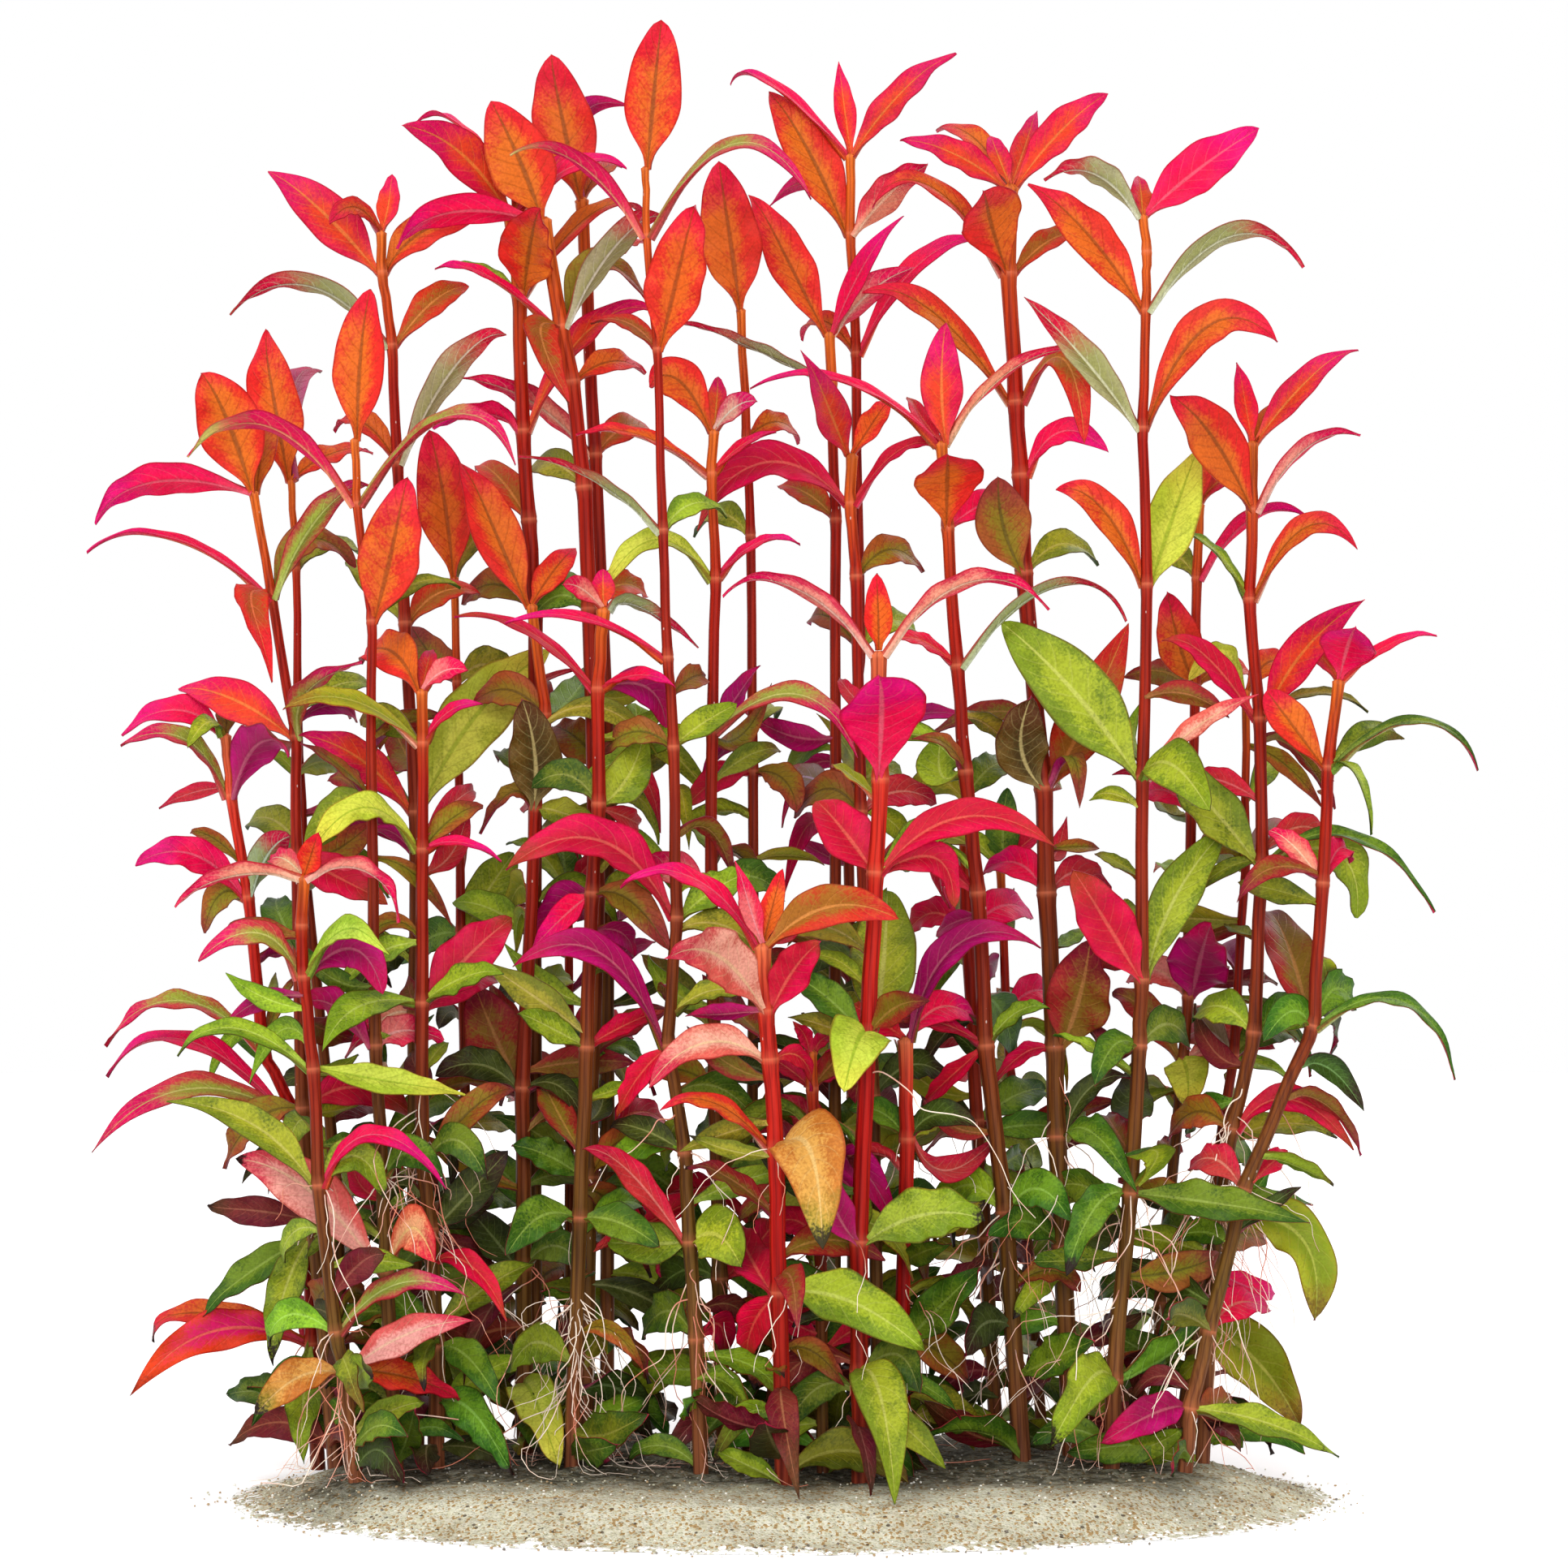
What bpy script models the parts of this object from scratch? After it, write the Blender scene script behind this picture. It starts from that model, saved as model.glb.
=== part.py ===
# Alternanthera: a dense stand of red leafy stems planted in a low patch of pale sand.
# Each stem with the leaves that grew from it is one solid, because it grew as one piece.
import math

import bmesh
import bpy
from mathutils import Matrix, Vector
from mathutils.bvhtree import BVHTree

MM = 0.001

# Driving dimensions of the sand patch, in metres
SAND_WIDTH = 0.266
SAND_FRONT = 0.088
SAND_BACK = 0.055
SAND_TOP = 0.008
SAND_RIM = 0.0015
SAND_SEGMENTS = 24
SAND_RINGS = ((1.0, 0.0), (0.93, 0.60), (0.80, 1.0))

# Driving dimensions of the stems, in metres
STEM_SIDES = 5
NODE_SWELL = 1.18
NODE_HALF = 1.6 * MM
BURIED = 0.005
SOCKET_GAP = 0.00035

# Driving dimensions of the leaves, in metres and degrees
LEAF_THICK = 1.1 * MM
LEAF_FOLD = 20.0
LONGEST_LEAF = 0.060
MIDDLE_FORWARD = 0.42  # share of the tip's forward reach that the middle of the midrib has
THINNING = 0.35        # share of its thickness that a leaf has lost at its tip

# Shares of the midrib's length at which a leaf has sections. It has one more where it arches by ARCH degrees
SECTIONS = (0.34, 0.68)
ARCHED_SECTIONS = (0.24, 0.50, 0.76)
ARCH = 62.0

# How far a leaf keeps from other shoots, and from its own stem and the other leaves on it
CLEARANCE = 0.45 * MM
OWN_CLEARANCE = 0.2 * MM
STEM_CLEARANCE = 0.2 * MM
FOOT_SHRINK = 0.97

# The stand is drawn as it is seen from the front, from this far away and this far above its foot
EYE_DISTANCE = 1.0
EYE_HEIGHT = 0.1732
FOOT_LEVEL = 0.0064

# Each stem: depth of its foot and top, radius at its foot and top, its nodes from the foot up (mm, as seen).
# Each leaf: the node it grows from, the middle of its midrib, its tip (mm, as seen), how far its tip comes
# forward (-) or goes back (+), its width, how far its face turns to the front (degrees) and its colour.
STEMS = [
    ("stem_01", (8, 12), (1.9, 1.3),
     [(-114.8, 0), (-116.3, 29), (-116.6, 55), (-120.2, 84), (-128.2, 102), (-132, 139), (-136.2, 164),
      (-137.6, 179)],
     [(7, -150, 185, -164, 179.4, 6, 9, 60, "magenta"),
      (6, -148.2, 178, -163.6, 176.5, -8, 8, 35, "silver"),
      (6, -129.5, 177, -120.4, 176, -8, 12, -62, "purple"),
      (5, -146, 149.5, -160, 147, -6, 9.5, 62, "magenta"),
      (4, -149, 113.4, -168.6, 103.4, -6, 7.5, 35, "greenmag"),
      (3, -147.2, 103.5, -168.8, 96.2, 8, 8, 32, "magenta"),
      (3, -146.5, 91.6, -170.8, 77.8, -10, 9.5, 42, "greenmag"),
      (2, -131.5, 46.5, -144, 36.6, -8, 9, 62, "green"),
      (2, -123.0, 42, -127, 25, -14, 10, 78, "lime"),
      (1, -141.2, 31.8, -160.8, 16.2, -14, 10.5, 68, "magorange"),
      (1, -142, 36.4, -159.6, 32.2, 12, 7.5, 60, "orange"),
      (1, -118.6, 14, -119, 2.5, 12, 9, 80, "lime")]),
    ("stem_02", (-6, 0), (2.0, 1.1),
     [(-110.2, 0), (-118.6, 87), (-120, 149), (-120.4, 178.6), (-126.2, 213), (-130.8, 239)],
     [(5, -137, 256, -143.2, 268, -6, 17, 84, "flame"),
      (5, -155.2, 241.5, -170.6, 232.4, 6, 9.5, -58, "magenta"),
      (5, -128.6, 250, -127, 258, 14, 10, 80, "orange"),
      (4, -149, 227, -172.8, 227.6, -8, 5, 25, "magenta"),
      (4, -117.6, 227, -105.2, 220.4, 8, 9.5, 62, "olive"),
      (4, -114, 234, -99.4, 243.2, -10, 8.5, -50, "silver"),
      (3, -135.6, 187.6, -150, 191, 8, 11, 74, "scarlet"),
      (3, -117.6, 190, -104, 197.4, -8, 8, -48, "silver"),
      (2, -111.2, 150, -101.4, 157.6, 10, 11, 72, "olive"),
      (2, -110.4, 144, -98, 138, 16, 11, 66, "crimson"),
      (1, -104.8, 92, -90.6, 84.4, 14, 10, 65, "crimson"),
      (1, -130, 84, -139, 72, 16, 10, 60, "olive")]),
    ("stem_03", (16, 16), (1.8, 0.9),
     [(-107, 0), (-110.6, 70), (-118.4, 150), (-119.8, 186), (-120.2, 220), (-121.4, 242)],
     [(5, -125.6, 261, -128.8, 280.2, -5, 15, 86, "flame"),
      (5, -121, 264, -114.2, 268, 14, 8, -52, "purple"),
      (5, -112, 248, -101, 250, 16, 8, 50, "orange"),
      (1, -119, 80, -131.6, 76, 22, 11, 62, "lime")]),
    ("stem_04", (-24, -20), (1.9, 1.0),
     [(-95.2, 0), (-98, 46.6), (-98.9, 69.6), (-100.6, 102.4), (-101.6, 163.4), (-101.6, 207),
      (-105.2, 236), (-105.8, 252)],
     [(7, -104.4, 271, -102.2, 288.8, -3, 14, 88, "flame"),
      (6, -127.6, 255.6, -147.8, 248, -6, 8.5, -38, "silver"),
      (6, -83, 257.4, -65.2, 247.6, -6, 7.5, 30, "greenmag"),
      (5, -96.6, 224.5, -93.2, 242.2, -6, 16, 85, "orange"),
      (4, -110.4, 160, -118.4, 149, 10, 10, 60, "lime"),
      (3, -110, 112, -118, 113.5, 10, 9, -62, "purple"),
      (1, -117.4, 67, -135.2, 74.4, 3, 14, 74, "salmon")]),
    ("stem_05", (26, 28), (1.6, 1.0),
     [(-76.4, 0), (-77.6, 60), (-79.6, 130), (-80.6, 192), (-81.2, 218)],
     [(4, -83.6, 236, -87.2, 254, -4, 16, 86, "orange"),
      (2, -72.6, 141, -66.4, 150, 12, 12, 80, "lime")]),
    ("stem_06", (6, 2), (2.1, 1.2),
     [(-90.6, 0), (-91, 60), (-91, 110), (-90.8, 160), (-93.4, 206.6), (-95.2, 246), (-96.6, 275),
      (-99, 293), (-99.2, 303)],
     [(7, -113.6, 307.6, -127.2, 318.6, -4, 12.5, 75, "scarlet"),
      (7, -88, 303.5, -70.8, 308.4, 8, 11, 72, "orange"),
      (6, -117.2, 290, -137.8, 283.6, -8, 8, -34, "silver"),
      (6, -86, 286, -77.6, 289.4, 12, 9, 68, "ember"),
      (5, -81.2, 270, -67.4, 279.6, -6, 8.5, -54, "silver"),
      (4, -84.6, 214, -74.6, 214, 12, 9, 60, "ember"),
      (4, -100, 217, -108.6, 222.6, 16, 10, 70, "lime"),
      (3, -104.6, 173, -119.4, 179, -10, 10, 62, "scarlet"),
      (3, -75.6, 184, -57.4, 200, -14, 17, 82, "lime"),
      (2, -79.4, 119, -70.4, 118, 12, 12, 74, "crimson"),
      (2, -98.6, 109, -108.4, 99.4, 16, 9, 60, "pink"),
      (1, -101, 68.6, -110, 64, 14, 10, 66, "lime"),
      (1, -81, 62, -71.4, 66, 12, 11, 74, "dark")]),
    ("stem_07", (-18, -22), (2.2, 1.3),
     [(-85.6, 0), (-85.6, 28.4), (-87.2, 57.2), (-89, 73.6), (-89.2, 113), (-89.1, 150.8), (-89, 177),
      (-89.2, 190)],
     [(7, -97, 199.6, -105.2, 197.6, -6, 12, 70, "flame"),
      (6, -106.6, 187.4, -123.2, 186.4, -8, 7.5, 36, "orange"),
      (5, -103.4, 161, -117.2, 149, -6, 9.5, 45, "yellow"),
      (4, -104.6, 112, -113.2, 102.4, -8, 9.5, 55, "lime"),
      (4, -77.6, 124.6, -67, 134, 8, 13, 82, "crimson"),
      (3, -76.4, 87, -65.6, 92.6, 10, 9, 66, "olive"),
      (2, -77.6, 66, -68, 76.6, -6, 10, 72, "dark"),
      (1, -94, 38, -101.6, 45, 8, 9, 70, "green"),
      (1, -77.4, 25, -70, 14, -18, 9, 70, "green")]),
    ("stem_08", (4, 0), (2.3, 1.3),
     [(-63.6, 0), (-63.8, 19), (-64.2, 48), (-64.4, 92), (-61.2, 161), (-58.8, 184), (-62.2, 211)],
     [(6, -71.2, 229, -79.2, 247.6, -5, 13.5, 80, "flame"),
      (5, -51.6, 189, -46, 198, 18, 10, 70, "green"),
      (4, -61.4, 174, -64.4, 187.4, -10, 14, 88, "darkolive"),
      (3, -75, 97.6, -86, 95.4, -6, 9.5, 62, "dark"),
      (3, -70.4, 103, -76, 116.4, 10, 17, 84, "olivered"),
      (2, -71.6, 55, -78.4, 63, 12, 10, 76, "dark"),
      (1, -61.6, 15.6, -55.4, -1.4, -30, 13, 76, "lime")]),
    ("stem_09", (18, 9), (1.9, 1.8),
     [(-61, 0), (-61.5, 60), (-61.5, 130), (-61.2, 210), (-62.8, 232), (-64.2, 254), (-65.2, 287.6),
      (-67.2, 307)],
     [(7, -79.4, 322, -92.6, 329, -6, 12, 76, "scarlet"),
      (7, -53.2, 318.4, -39.2, 321.4, -6, 8, 42, "magenta"),
      (7, -57, 318, -49.2, 322, 12, 7, 55, "scarlet"),
      (7, -78.2, 327.6, -90.8, 332.4, 14, 5, 26, "magenta"),
      (6, -62.4, 300, -60.6, 308, -18, 17, 80, "flame"),
      (6, -46.2, 308, -31.6, 307, -10, 8.5, 38, "orange"),
      (5, -48, 278.6, -28.8, 285, -14, 9, 50, "scarlet"),
      (4, -70, 242, -77, 247, 16, 9, 70, "ember"),
      (2, -72.4, 136, -82, 138, 16, 10, 62, "lime"),
      (1, -68, 70, -76, 76, 20, 10, 72, "green")]),
    ("stem_10", (0, 4), (2.4, 1.8),
     [(-49.4, 0), (-48, 70), (-46.2, 140), (-47.8, 210), (-49.2, 240), (-52.2, 266), (-54.8, 279.6),
      (-59.2, 306)],
     [(7, -65.2, 320.6, -72.2, 335, -5, 17, 85, "flame"),
      (7, -82.8, 307.8, -96.6, 299, 10, 9, -55, "magenta"),
      (6, -73.6, 292.4, -86, 294, -8, 4.5, 28, "magenta"),
      (6, -46.4, 295, -33.2, 286.6, 8, 9.5, 62, "olive"),
      (6, -41.4, 300, -27.2, 310, -10, 8.5, -50, "silver"),
      (2, -54.6, 137, -61.6, 128.4, 12, 11, 70, "purple"),
      (1, -57.8, 75, -67, 78, -8, 9, 66, "green")]),
    ("stem_11", (14, 24), (1.9, 1.6),
     [(-43.6, 0), (-43.4, 80), (-43.2, 170), (-46.5, 248), (-48.6, 292), (-49.8, 311)],
     [(5, -54.2, 328.6, -57.8, 346.8, -5, 16, 86, "flame"),
      (5, -50, 331, -39.2, 333.6, 14, 7.5, -50, "purple"),
      (3, -62.2, 261.4, -80.2, 267.4, -12, 7.5, -50, "pink"),
      (2, -37.2, 178, -36.6, 187, 14, 13, 86, "lime"),
      (2, -51, 178, -57, 181, 16, 11, 76, "olive")]),
    ("stem_12", (-20, -18), (1.9, 1.6),
     [(-52.4, 0), (-50.2, 60), (-48.6, 102), (-47.2, 140), (-45.6, 162), (-45.8, 190.4), (-44.4, 210)],
     [(5, -63.2, 204.6, -81.2, 209, -8, 5, 36, "crimson"),
      (5, -33.6, 190.4, -29, 180.6, 8, 9.5, 62, "purple"),
      (4, -38.6, 168.4, -34.4, 178.6, 8, 11, 84, "lime"),
      (3, -37.4, 137.6, -28.4, 126, -8, 10, 66, "olive"),
      (1, -60.4, 60, -68, 51, -14, 11, 66, "green"),
      (1, -40.4, 58.6, -31, 53, -12, 10, 58, "green")]),
    ("stem_13", (-26, -24), (1.9, 0.9),
     [(-20.2, 0), (-21.6, 30), (-23.2, 54), (-24.4, 76), (-28.4, 102.4), (-26.4, 134), (-27.2, 176),
      (-28.6, 198),
      (-29.8, 229.4), (-31.2, 274), (-33.8, 302), (-34.2, 319)],
     [(11, -32, 337.6, -30.2, 355.2, -3, 14.5, 88, "flame"),
      (10, -51, 320.6, -68.2, 323.6, -6, 8.5, -36, "silver"),
      (10, -12, 324.6, 6.8, 311, -6, 7.5, 30, "greenmag"),
      (9, -26.2, 292, -22.2, 309.2, -6, 16.5, 86, "orange"),
      (8, -46.4, 242, -65.2, 249, -10, 4.5, -28, "silver"),
      (7, -49.2, 207.6, -68.8, 207, -10, 4.5, 30, "magenta"),
      (5, -45.6, 152.8, -68.8, 146.4, -10, 10, 54, "crimson"),
      (5, -16.8, 141, -8.4, 145, 10, 9, 60, "lime"),
      (4, -46, 125.4, -66.8, 122, -10, 10, 50, "purple"),
      (2, -38, 71, -48.8, 77.4, -10, 7.5, 60, "pinkred"),
      (2, -33.2, 53.4, -43.6, 54, 6, 12, 72, "lime")]),
    ("stem_14", (-6, -8), (2.1, 1.2),
     [(-14.6, 0), (-15.8, 45), (-16.9, 92), (-17.8, 140), (-17.6, 180), (-16.8, 217.4), (-17.8, 243.4),
      (-17.2, 254)],
     [(7, -26.2, 266.4, -33.8, 265, -6, 12, 70, "flame"),
      (6, -35.2, 252.6, -51.2, 254, -8, 6, 32, "orange"),
      (5, -32.4, 226.8, -46.2, 212, -6, 8, 45, "yellow"),
      (4, -34, 176, -53.2, 165.4, -8, 9, 50, "lime"),
      (4, 3.4, 188.8, 18.8, 174, -8, 8, 44, "greenmag"),
      (3, -27.6, 146, -36.6, 145, 12, 10, 62, "pink"),
      (1, -7.6, 52, -1.6, 60, 10, 12, 76, "crimson")]),
    ("stem_15", (12, 14), (1.6, 1.1),
     [(-7.6, 0), (-7.8, 80), (-7.6, 170), (-8.2, 228), (-9.2, 252), (-10.6, 284)],
     [(5, -13.4, 302, -16.2, 320.2, -5, 17, 86, "orange")]),
    ("stem_16", (4, 18), (1.7, 1.3),
     [(12.4, 0), (12.6, 80), (12.8, 164), (12.8, 232), (11.8, 266), (11.2, 278)],
     [(5, 0.8, 296, -8.2, 314, -5, 13, 80, "flame"),
      (5, 18.8, 293, 27.4, 306.4, -5, 6.5, 62, "magenta"),
      (5, 20.8, 288, 30.8, 294, 8, 8.5, -58, "pink"),
      (4, -8.2, 275, -27.2, 282.6, -12, 4.5, -26, "silver"),
      (1, 19, 86, 26.6, 92.6, 16, 10, 66, "green")]),
    ("stem_17", (24, 30), (1.6, 1.2),
     [(17, 0), (17, 90), (15.8, 164), (18.8, 200), (17.8, 273), (16.4, 302.4), (16.4, 322)],
     [(6, 27.8, 336, 41.4, 348, -6, 8.5, 60, "scarlet"),
      (6, -1.6, 338.4, -14.2, 343, 12, 5, 34, "magenta"),
      (5, 6.2, 322.4, -4.2, 339, -6, 14, 80, "flame"),
      (5, 26.4, 313, 35.4, 320, -8, 9.5, -60, "pink"),
      (4, 33, 294.6, 49.8, 302, -8, 8, 48, "magenta")]),
    ("stem_18", (-6, 6), (1.8, 1.4),
     [(23.4, 0), (22, 90), (19, 160), (17.8, 218), (16.4, 236), (16.8, 248)],
     [(5, 11, 259.4, 6.4, 271.4, -5, 10, 80, "scarlet"),
      (4, 28.4, 249, 38.8, 250, -8, 5.5, 36, "crimson"),
      (4, -4.2, 246, -22.6, 231, -12, 12.5, 58, "crimson")]),
    ("stem_19", (-8, -4), (2.4, 1.4),
     [(59, 0), (54.6, 61.4), (49.8, 102.4), (47.8, 140), (44.8, 170), (42.8, 196), (40.4, 230),
      (38.8, 251)],
     [(7, 38.8, 266, 39.8, 280.4, -5, 10.5, 86, "scarlet"),
      (7, 16.6, 265.6, -8.2, 267.6, -8, 4.5, 30, "magenta"),
      (7, 55.4, 269, 73.8, 275, -8, 4.5, -34, "pink"),
      (6, 40.2, 242, 40.4, 247, -20, 19, 80, "flame"),
      (5, 66.4, 216, 86.8, 209, -8, 4.5, -30, "silver")]),
    ("stem_20", (14, 12), (1.9, 1.5),
     [(53, 0), (49.6, 55), (47.6, 84), (45.2, 130), (44.6, 163)],
     [(2, 57, 90, 65, 92, 20, 10, 62, "green")]),
    ("stem_21", (-2, 4), (2.5, 1.9),
     [(71.4, 0), (68.6, 53), (67.4, 80), (66.8, 102), (64.8, 140), (64, 166), (59.2, 219), (58.4, 243),
      (57.2, 261),
      (55.4, 292.6), (55.8, 314)],
     [(10, 42.8, 321.6, 29.2, 326.4, -4, 9, 70, "scarlet"),
      (10, 46.8, 326, 36.8, 329, 10, 7, 64, "orange"),
      (10, 68, 327.4, 79.8, 337.4, -6, 10.5, 66, "scarlet"),
      (9, 51, 305, 49.8, 312, -20, 17.5, 80, "flame"),
      (9, 36.8, 313.6, 20.8, 312, -10, 8, 45, "orange"),
      (9, 66, 301, 75.6, 303, 14, 8, 55, "ember"),
      (8, 36.8, 283, 19.8, 289, -8, 9, 55, "orange"),
      (8, 68.6, 271.6, 74.2, 251, -10, 9.5, 62, "ember"),
      (7, 68.4, 253.6, 79.8, 249, -8, 8, 50, "magenta"),
      (6, 54, 230.4, 52.8, 242.4, -8, 15, 86, "olive"),
      (5, 58.4, 176, 61, 187.6, -12, 14, 87, "darkolive"),
      (5, 74.4, 183, 85, 206.6, 10, 14.5, 80, "ember"),
      (3, 73, 115, 75.4, 128.4, -8, 18, 86, "olivered"),
      (2, 75.6, 92, 86, 95, -10, 7, 56, "dark"),
      (2, 76.4, 80.6, 86.6, 67, -14, 9.5, 68, "green"),
      (1, 77.4, 56, 86.4, 62, -10, 10, 70, "dark")]),
    ("stem_22", (-20, -14), (2.1, 1.1),
     [(80.6, 0), (81.4, 20), (85.4, 66), (87.6, 102.4), (88.2, 118.6), (88.4, 168.6), (89.4, 216),
      (88.4, 254.6),
      (89.2, 283.6), (89.4, 298), (88.4, 307)],
     [(10, 101.8, 318, 117.2, 328.6, -5, 12.5, 76, "scarlet"),
      (10, 76, 317.8, 63.8, 316, -6, 8.5, -40, "silver"),
      (8, 75.4, 301.6, 60.4, 315.6, -5, 12, 76, "orange"),
      (8, 110.6, 302.4, 128.8, 294.6, -8, 7.5, -40, "silver"),
      (7, 104.6, 279.6, 121.8, 276, -6, 12, 66, "orange"),
      (7, 73.6, 272.4, 59.2, 287, -8, 8.5, -58, "silver"),
      (6, 78.4, 234.6, 66.8, 240, -8, 10, 68, "orange"),
      (6, 96, 233, 101.8, 249, 8, 14, 82, "lime"),
      (5, 71, 190, 53.2, 207, -8, 18, 82, "lime"),
      (5, 101.4, 180.6, 116.8, 189, -8, 6.5, 44, "salmon"),
      (5, 95.4, 171.6, 104.6, 160.6, -14, 14, 70, "lime"),
      (4, 79.8, 132, 71.8, 145, -12, 13.5, 86, "crimson"),
      (4, 97, 140, 110.4, 157, 8, 13, 82, "lime"),
      (2, 106.8, 63.4, 128, 60, -16, 10.5, 62, "green"),
      (2, 76.4, 62, 69.4, 46, -12, 9.5, 70, "green"),
      (1, 75.4, 20, 66, 3.4, -28, 13, 80, "lime")]),
    ("stem_23", (20, 22), (1.6, 1.2),
     [(92, 0), (92.8, 39), (98.4, 99), (99.6, 114.6), (100.4, 160), (101.4, 191), (101.8, 217.6),
      (102.4, 236)],
     [(6, 116.4, 233.4, 131.8, 232, -8, 5.5, -40, "magenta"),
      (5, 97, 202.6, 94.6, 214, -8, 12.5, 86, "orange"),
      (3, 102.6, 124, 104.8, 131.4, -16, 16.5, 80, "purple"),
      (2, 88.8, 111, 80.8, 115.4, -18, 9.5, 70, "olivered"),
      (2, 109.8, 104, 120.4, 101.8, -16, 9.5, 60, "salmon"),
      (2, 113.6, 98.6, 127.6, 94, -10, 6.5, 42, "lime"),
      (2, 100.6, 91.4, 100.4, 77.6, -20, 11.5, 80, "yellow"),
      (1, 114.4, 26.6, 126.8, 8.6, -18, 16.5, 76, "olivelime")]),
    ("stem_24", (-10, -4), (1.9, 1.4),
     [(102.8, 0), (105.6, 47), (106.9, 60), (110.4, 81.8), (115.8, 105.6), (117.8, 147.4), (117.2, 183),
      (114.8, 212.4),
      (115.4, 234.4), (115.4, 251)],
     [(9, 127.8, 265, 140.4, 275.6, -4, 8.5, 64, "scarlet"),
      (8, 106, 251.6, 97, 261.4, -6, 14.5, 76, "flame"),
      (8, 129, 250.4, 142.2, 253, -8, 5.5, -38, "pink"),
      (7, 128.6, 230, 141.4, 225.4, -8, 8, 50, "orange"),
      (6, 128.8, 200.4, 142.8, 212, -6, 11, 72, "scarlet"),
      (6, 104.8, 197.4, 94.8, 203.4, -8, 8, 62, "crimson"),
      (5, 139.4, 154, 162.2, 136.8, -10, 5.5, 34, "green"),
      (5, 104.4, 162, 91.8, 174, -8, 13, 76, "lime"),
      (5, 136.4, 149.6, 141.6, 133.6, 10, 12, 72, "lime"),
      (3, 124.6, 89, 140.8, 77, -8, 9, 50, "crimson"),
      (2, 127, 55.4, 131, 34.6, -8, 14.5, 76, "olivelime"),
      (2, 117.6, 63.6, 131, 64, 12, 8, 60, "green")]),
    ("stem_25", (6, 10), (1.5, 1.0),
     [(96.2, 0), (103.4, 50), (110.8, 100), (113.8, 148), (113.8, 190)],
     [(4, 108, 198.6, 99.8, 192.4, -6, 7.5, 52, "yellow"),
      (4, 120, 197, 127, 194, 14, 8, 60, "orange")]),
    ("stem_26", (-24, -18), (1.9, 1.4),
     [(98.2, 0), (100.2, 13), (104.6, 32), (113.4, 67), (130.2, 107.2), (132.8, 142.4), (134.2, 171),
      (136.8, 192.4)],
     [(6, 155.4, 182.4, 173.2, 172, -8, 4.5, 28, "green"),
      (6, 124.4, 182.4, 118.8, 190, 6, 10.5, 76, "orange"),
      (4, 152, 113.4, 167.2, 94.6, -8, 5.5, 34, "green"),
      (4, 124.4, 126.4, 118.2, 138.4, 6, 12.5, 82, "olivered"),
      (1, 118.2, 9.6, 137, 1.6, -8, 7.5, 52, "lime"),
      (1, 91, 11.6, 78.4, 4.6, -14, 10.5, 66, "purple")]),
    ("stem_27", (-38, -36), (2.2, 1.9),
     [(19, 0), (18.7, 22), (18.6, 54), (20.8, 105.6), (22.6, 145), (23.8, 168), (23.4, 199)],
     [(6, 4.2, 215, -16.2, 217.6, -4, 6.5, -36, "pink"),
      (6, 45.4, 217, 66.8, 211, -4, 6.5, -36, "pink"),
      (5, 24, 183, 23.8, 192, -18, 22, 80, "magenta"),
      (4, 44, 158.6, 67.6, 152, -4, 10, 56, "crimson"),
      (4, 15.6, 154, 7.8, 163.4, 6, 14, 76, "crimson"),
      (4, 37.4, 148.4, 41.8, 136.6, 12, 9, 70, "crimson"),
      (3, 24.6, 124, 25.4, 141.4, 10, 17, 87, "lime"),
      (3, 10.8, 114, 2.8, 119.4, 6, 9.5, 70, "green"),
      (3, 18, 103, 14.8, 91.4, -16, 16, 82, "yellow"),
      (2, 34.4, 60.6, 49.4, 59.8, -5, 13.5, 70, "lime"),
      (2, 12.2, 63.0, 9.2, 76, 10, 9, 76, "purple"),
      (1, 23.4, 17, 27.6, -10.2, -34, 14, 78, "lime"),
      (1, 30, 20.6, 45.6, 11.6, 8, 7, 56, "green")]),
    ("stem_28", (-42, -44), (2.1, 1.9),
     [(0, 0), (-1.2, 41.6), (-2, 77), (-3.4, 99), (-4.4, 111), (-5.2, 127)],
     [(5, -21.2, 143, -40.6, 145, -8, 6.5, 42, "magenta"),
      (5, 11.6, 136.6, 28, 133.6, -6, 12, 70, "ember"),
      (4, -16.6, 124.6, -28.2, 123.8, -12, 14.5, 74, "salmon"),
      (4, 2.4, 121, 8.2, 127.4, -12, 10, 76, "crimson"),
      (3, -19.2, 103, -34, 92.8, -6, 10, 60, "salmon"),
      (2, -16.8, 88, -30.6, 88, -6, 5.5, 40, "orange"),
      (2, 6.6, 76, 9.4, 52.4, -16, 20.5, 80, "gold"),
      (1, 17, 39, 34.6, 27.2, -8, 14, 70, "lime"),
      (1, -8.4, 50.4, -12.2, 60.4, 10, 10, 72, "crimson")]),
    ("stem_29", (-32, -34), (1.8, 1.4),
     [(-105, 0), (-108.4, 22), (-110.4, 31.8), (-114.6, 68), (-116, 96.6), (-118.4, 119.4),
      (-118.8, 132), (-118.2, 144)],
     [(7, -136, 144.6, -151, 137.4, -5, 6.5, -36, "pink"),
      (7, -103.4, 146, -92.2, 133.6, -5, 6.5, -36, "pink"),
      (5, -129.6, 130, -144.8, 123.8, -6, 8, 42, "orange"),
      (5, -106, 126, -98.8, 115, 14, 11, 74, "purple"),
      (4, -135.6, 106.6, -150.2, 100.4, -6, 6.5, 42, "lime"),
      (4, -96.6, 93.4, -78.2, 91, 6, 7.5, 62, "yellow"),
      (3, -131.2, 83, -152.2, 88.8, 6, 10, 62, "lime"),
      (3, -101, 80.4, -82.4, 68.2, -5, 6, 42, "magenta"),
      (2, -95, 43.6, -78.2, 41, -8, 7, 44, "greenmag"),
      (1, -93.4, 31, -77.4, 35, -8, 9, 60, "salmon"),
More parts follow.
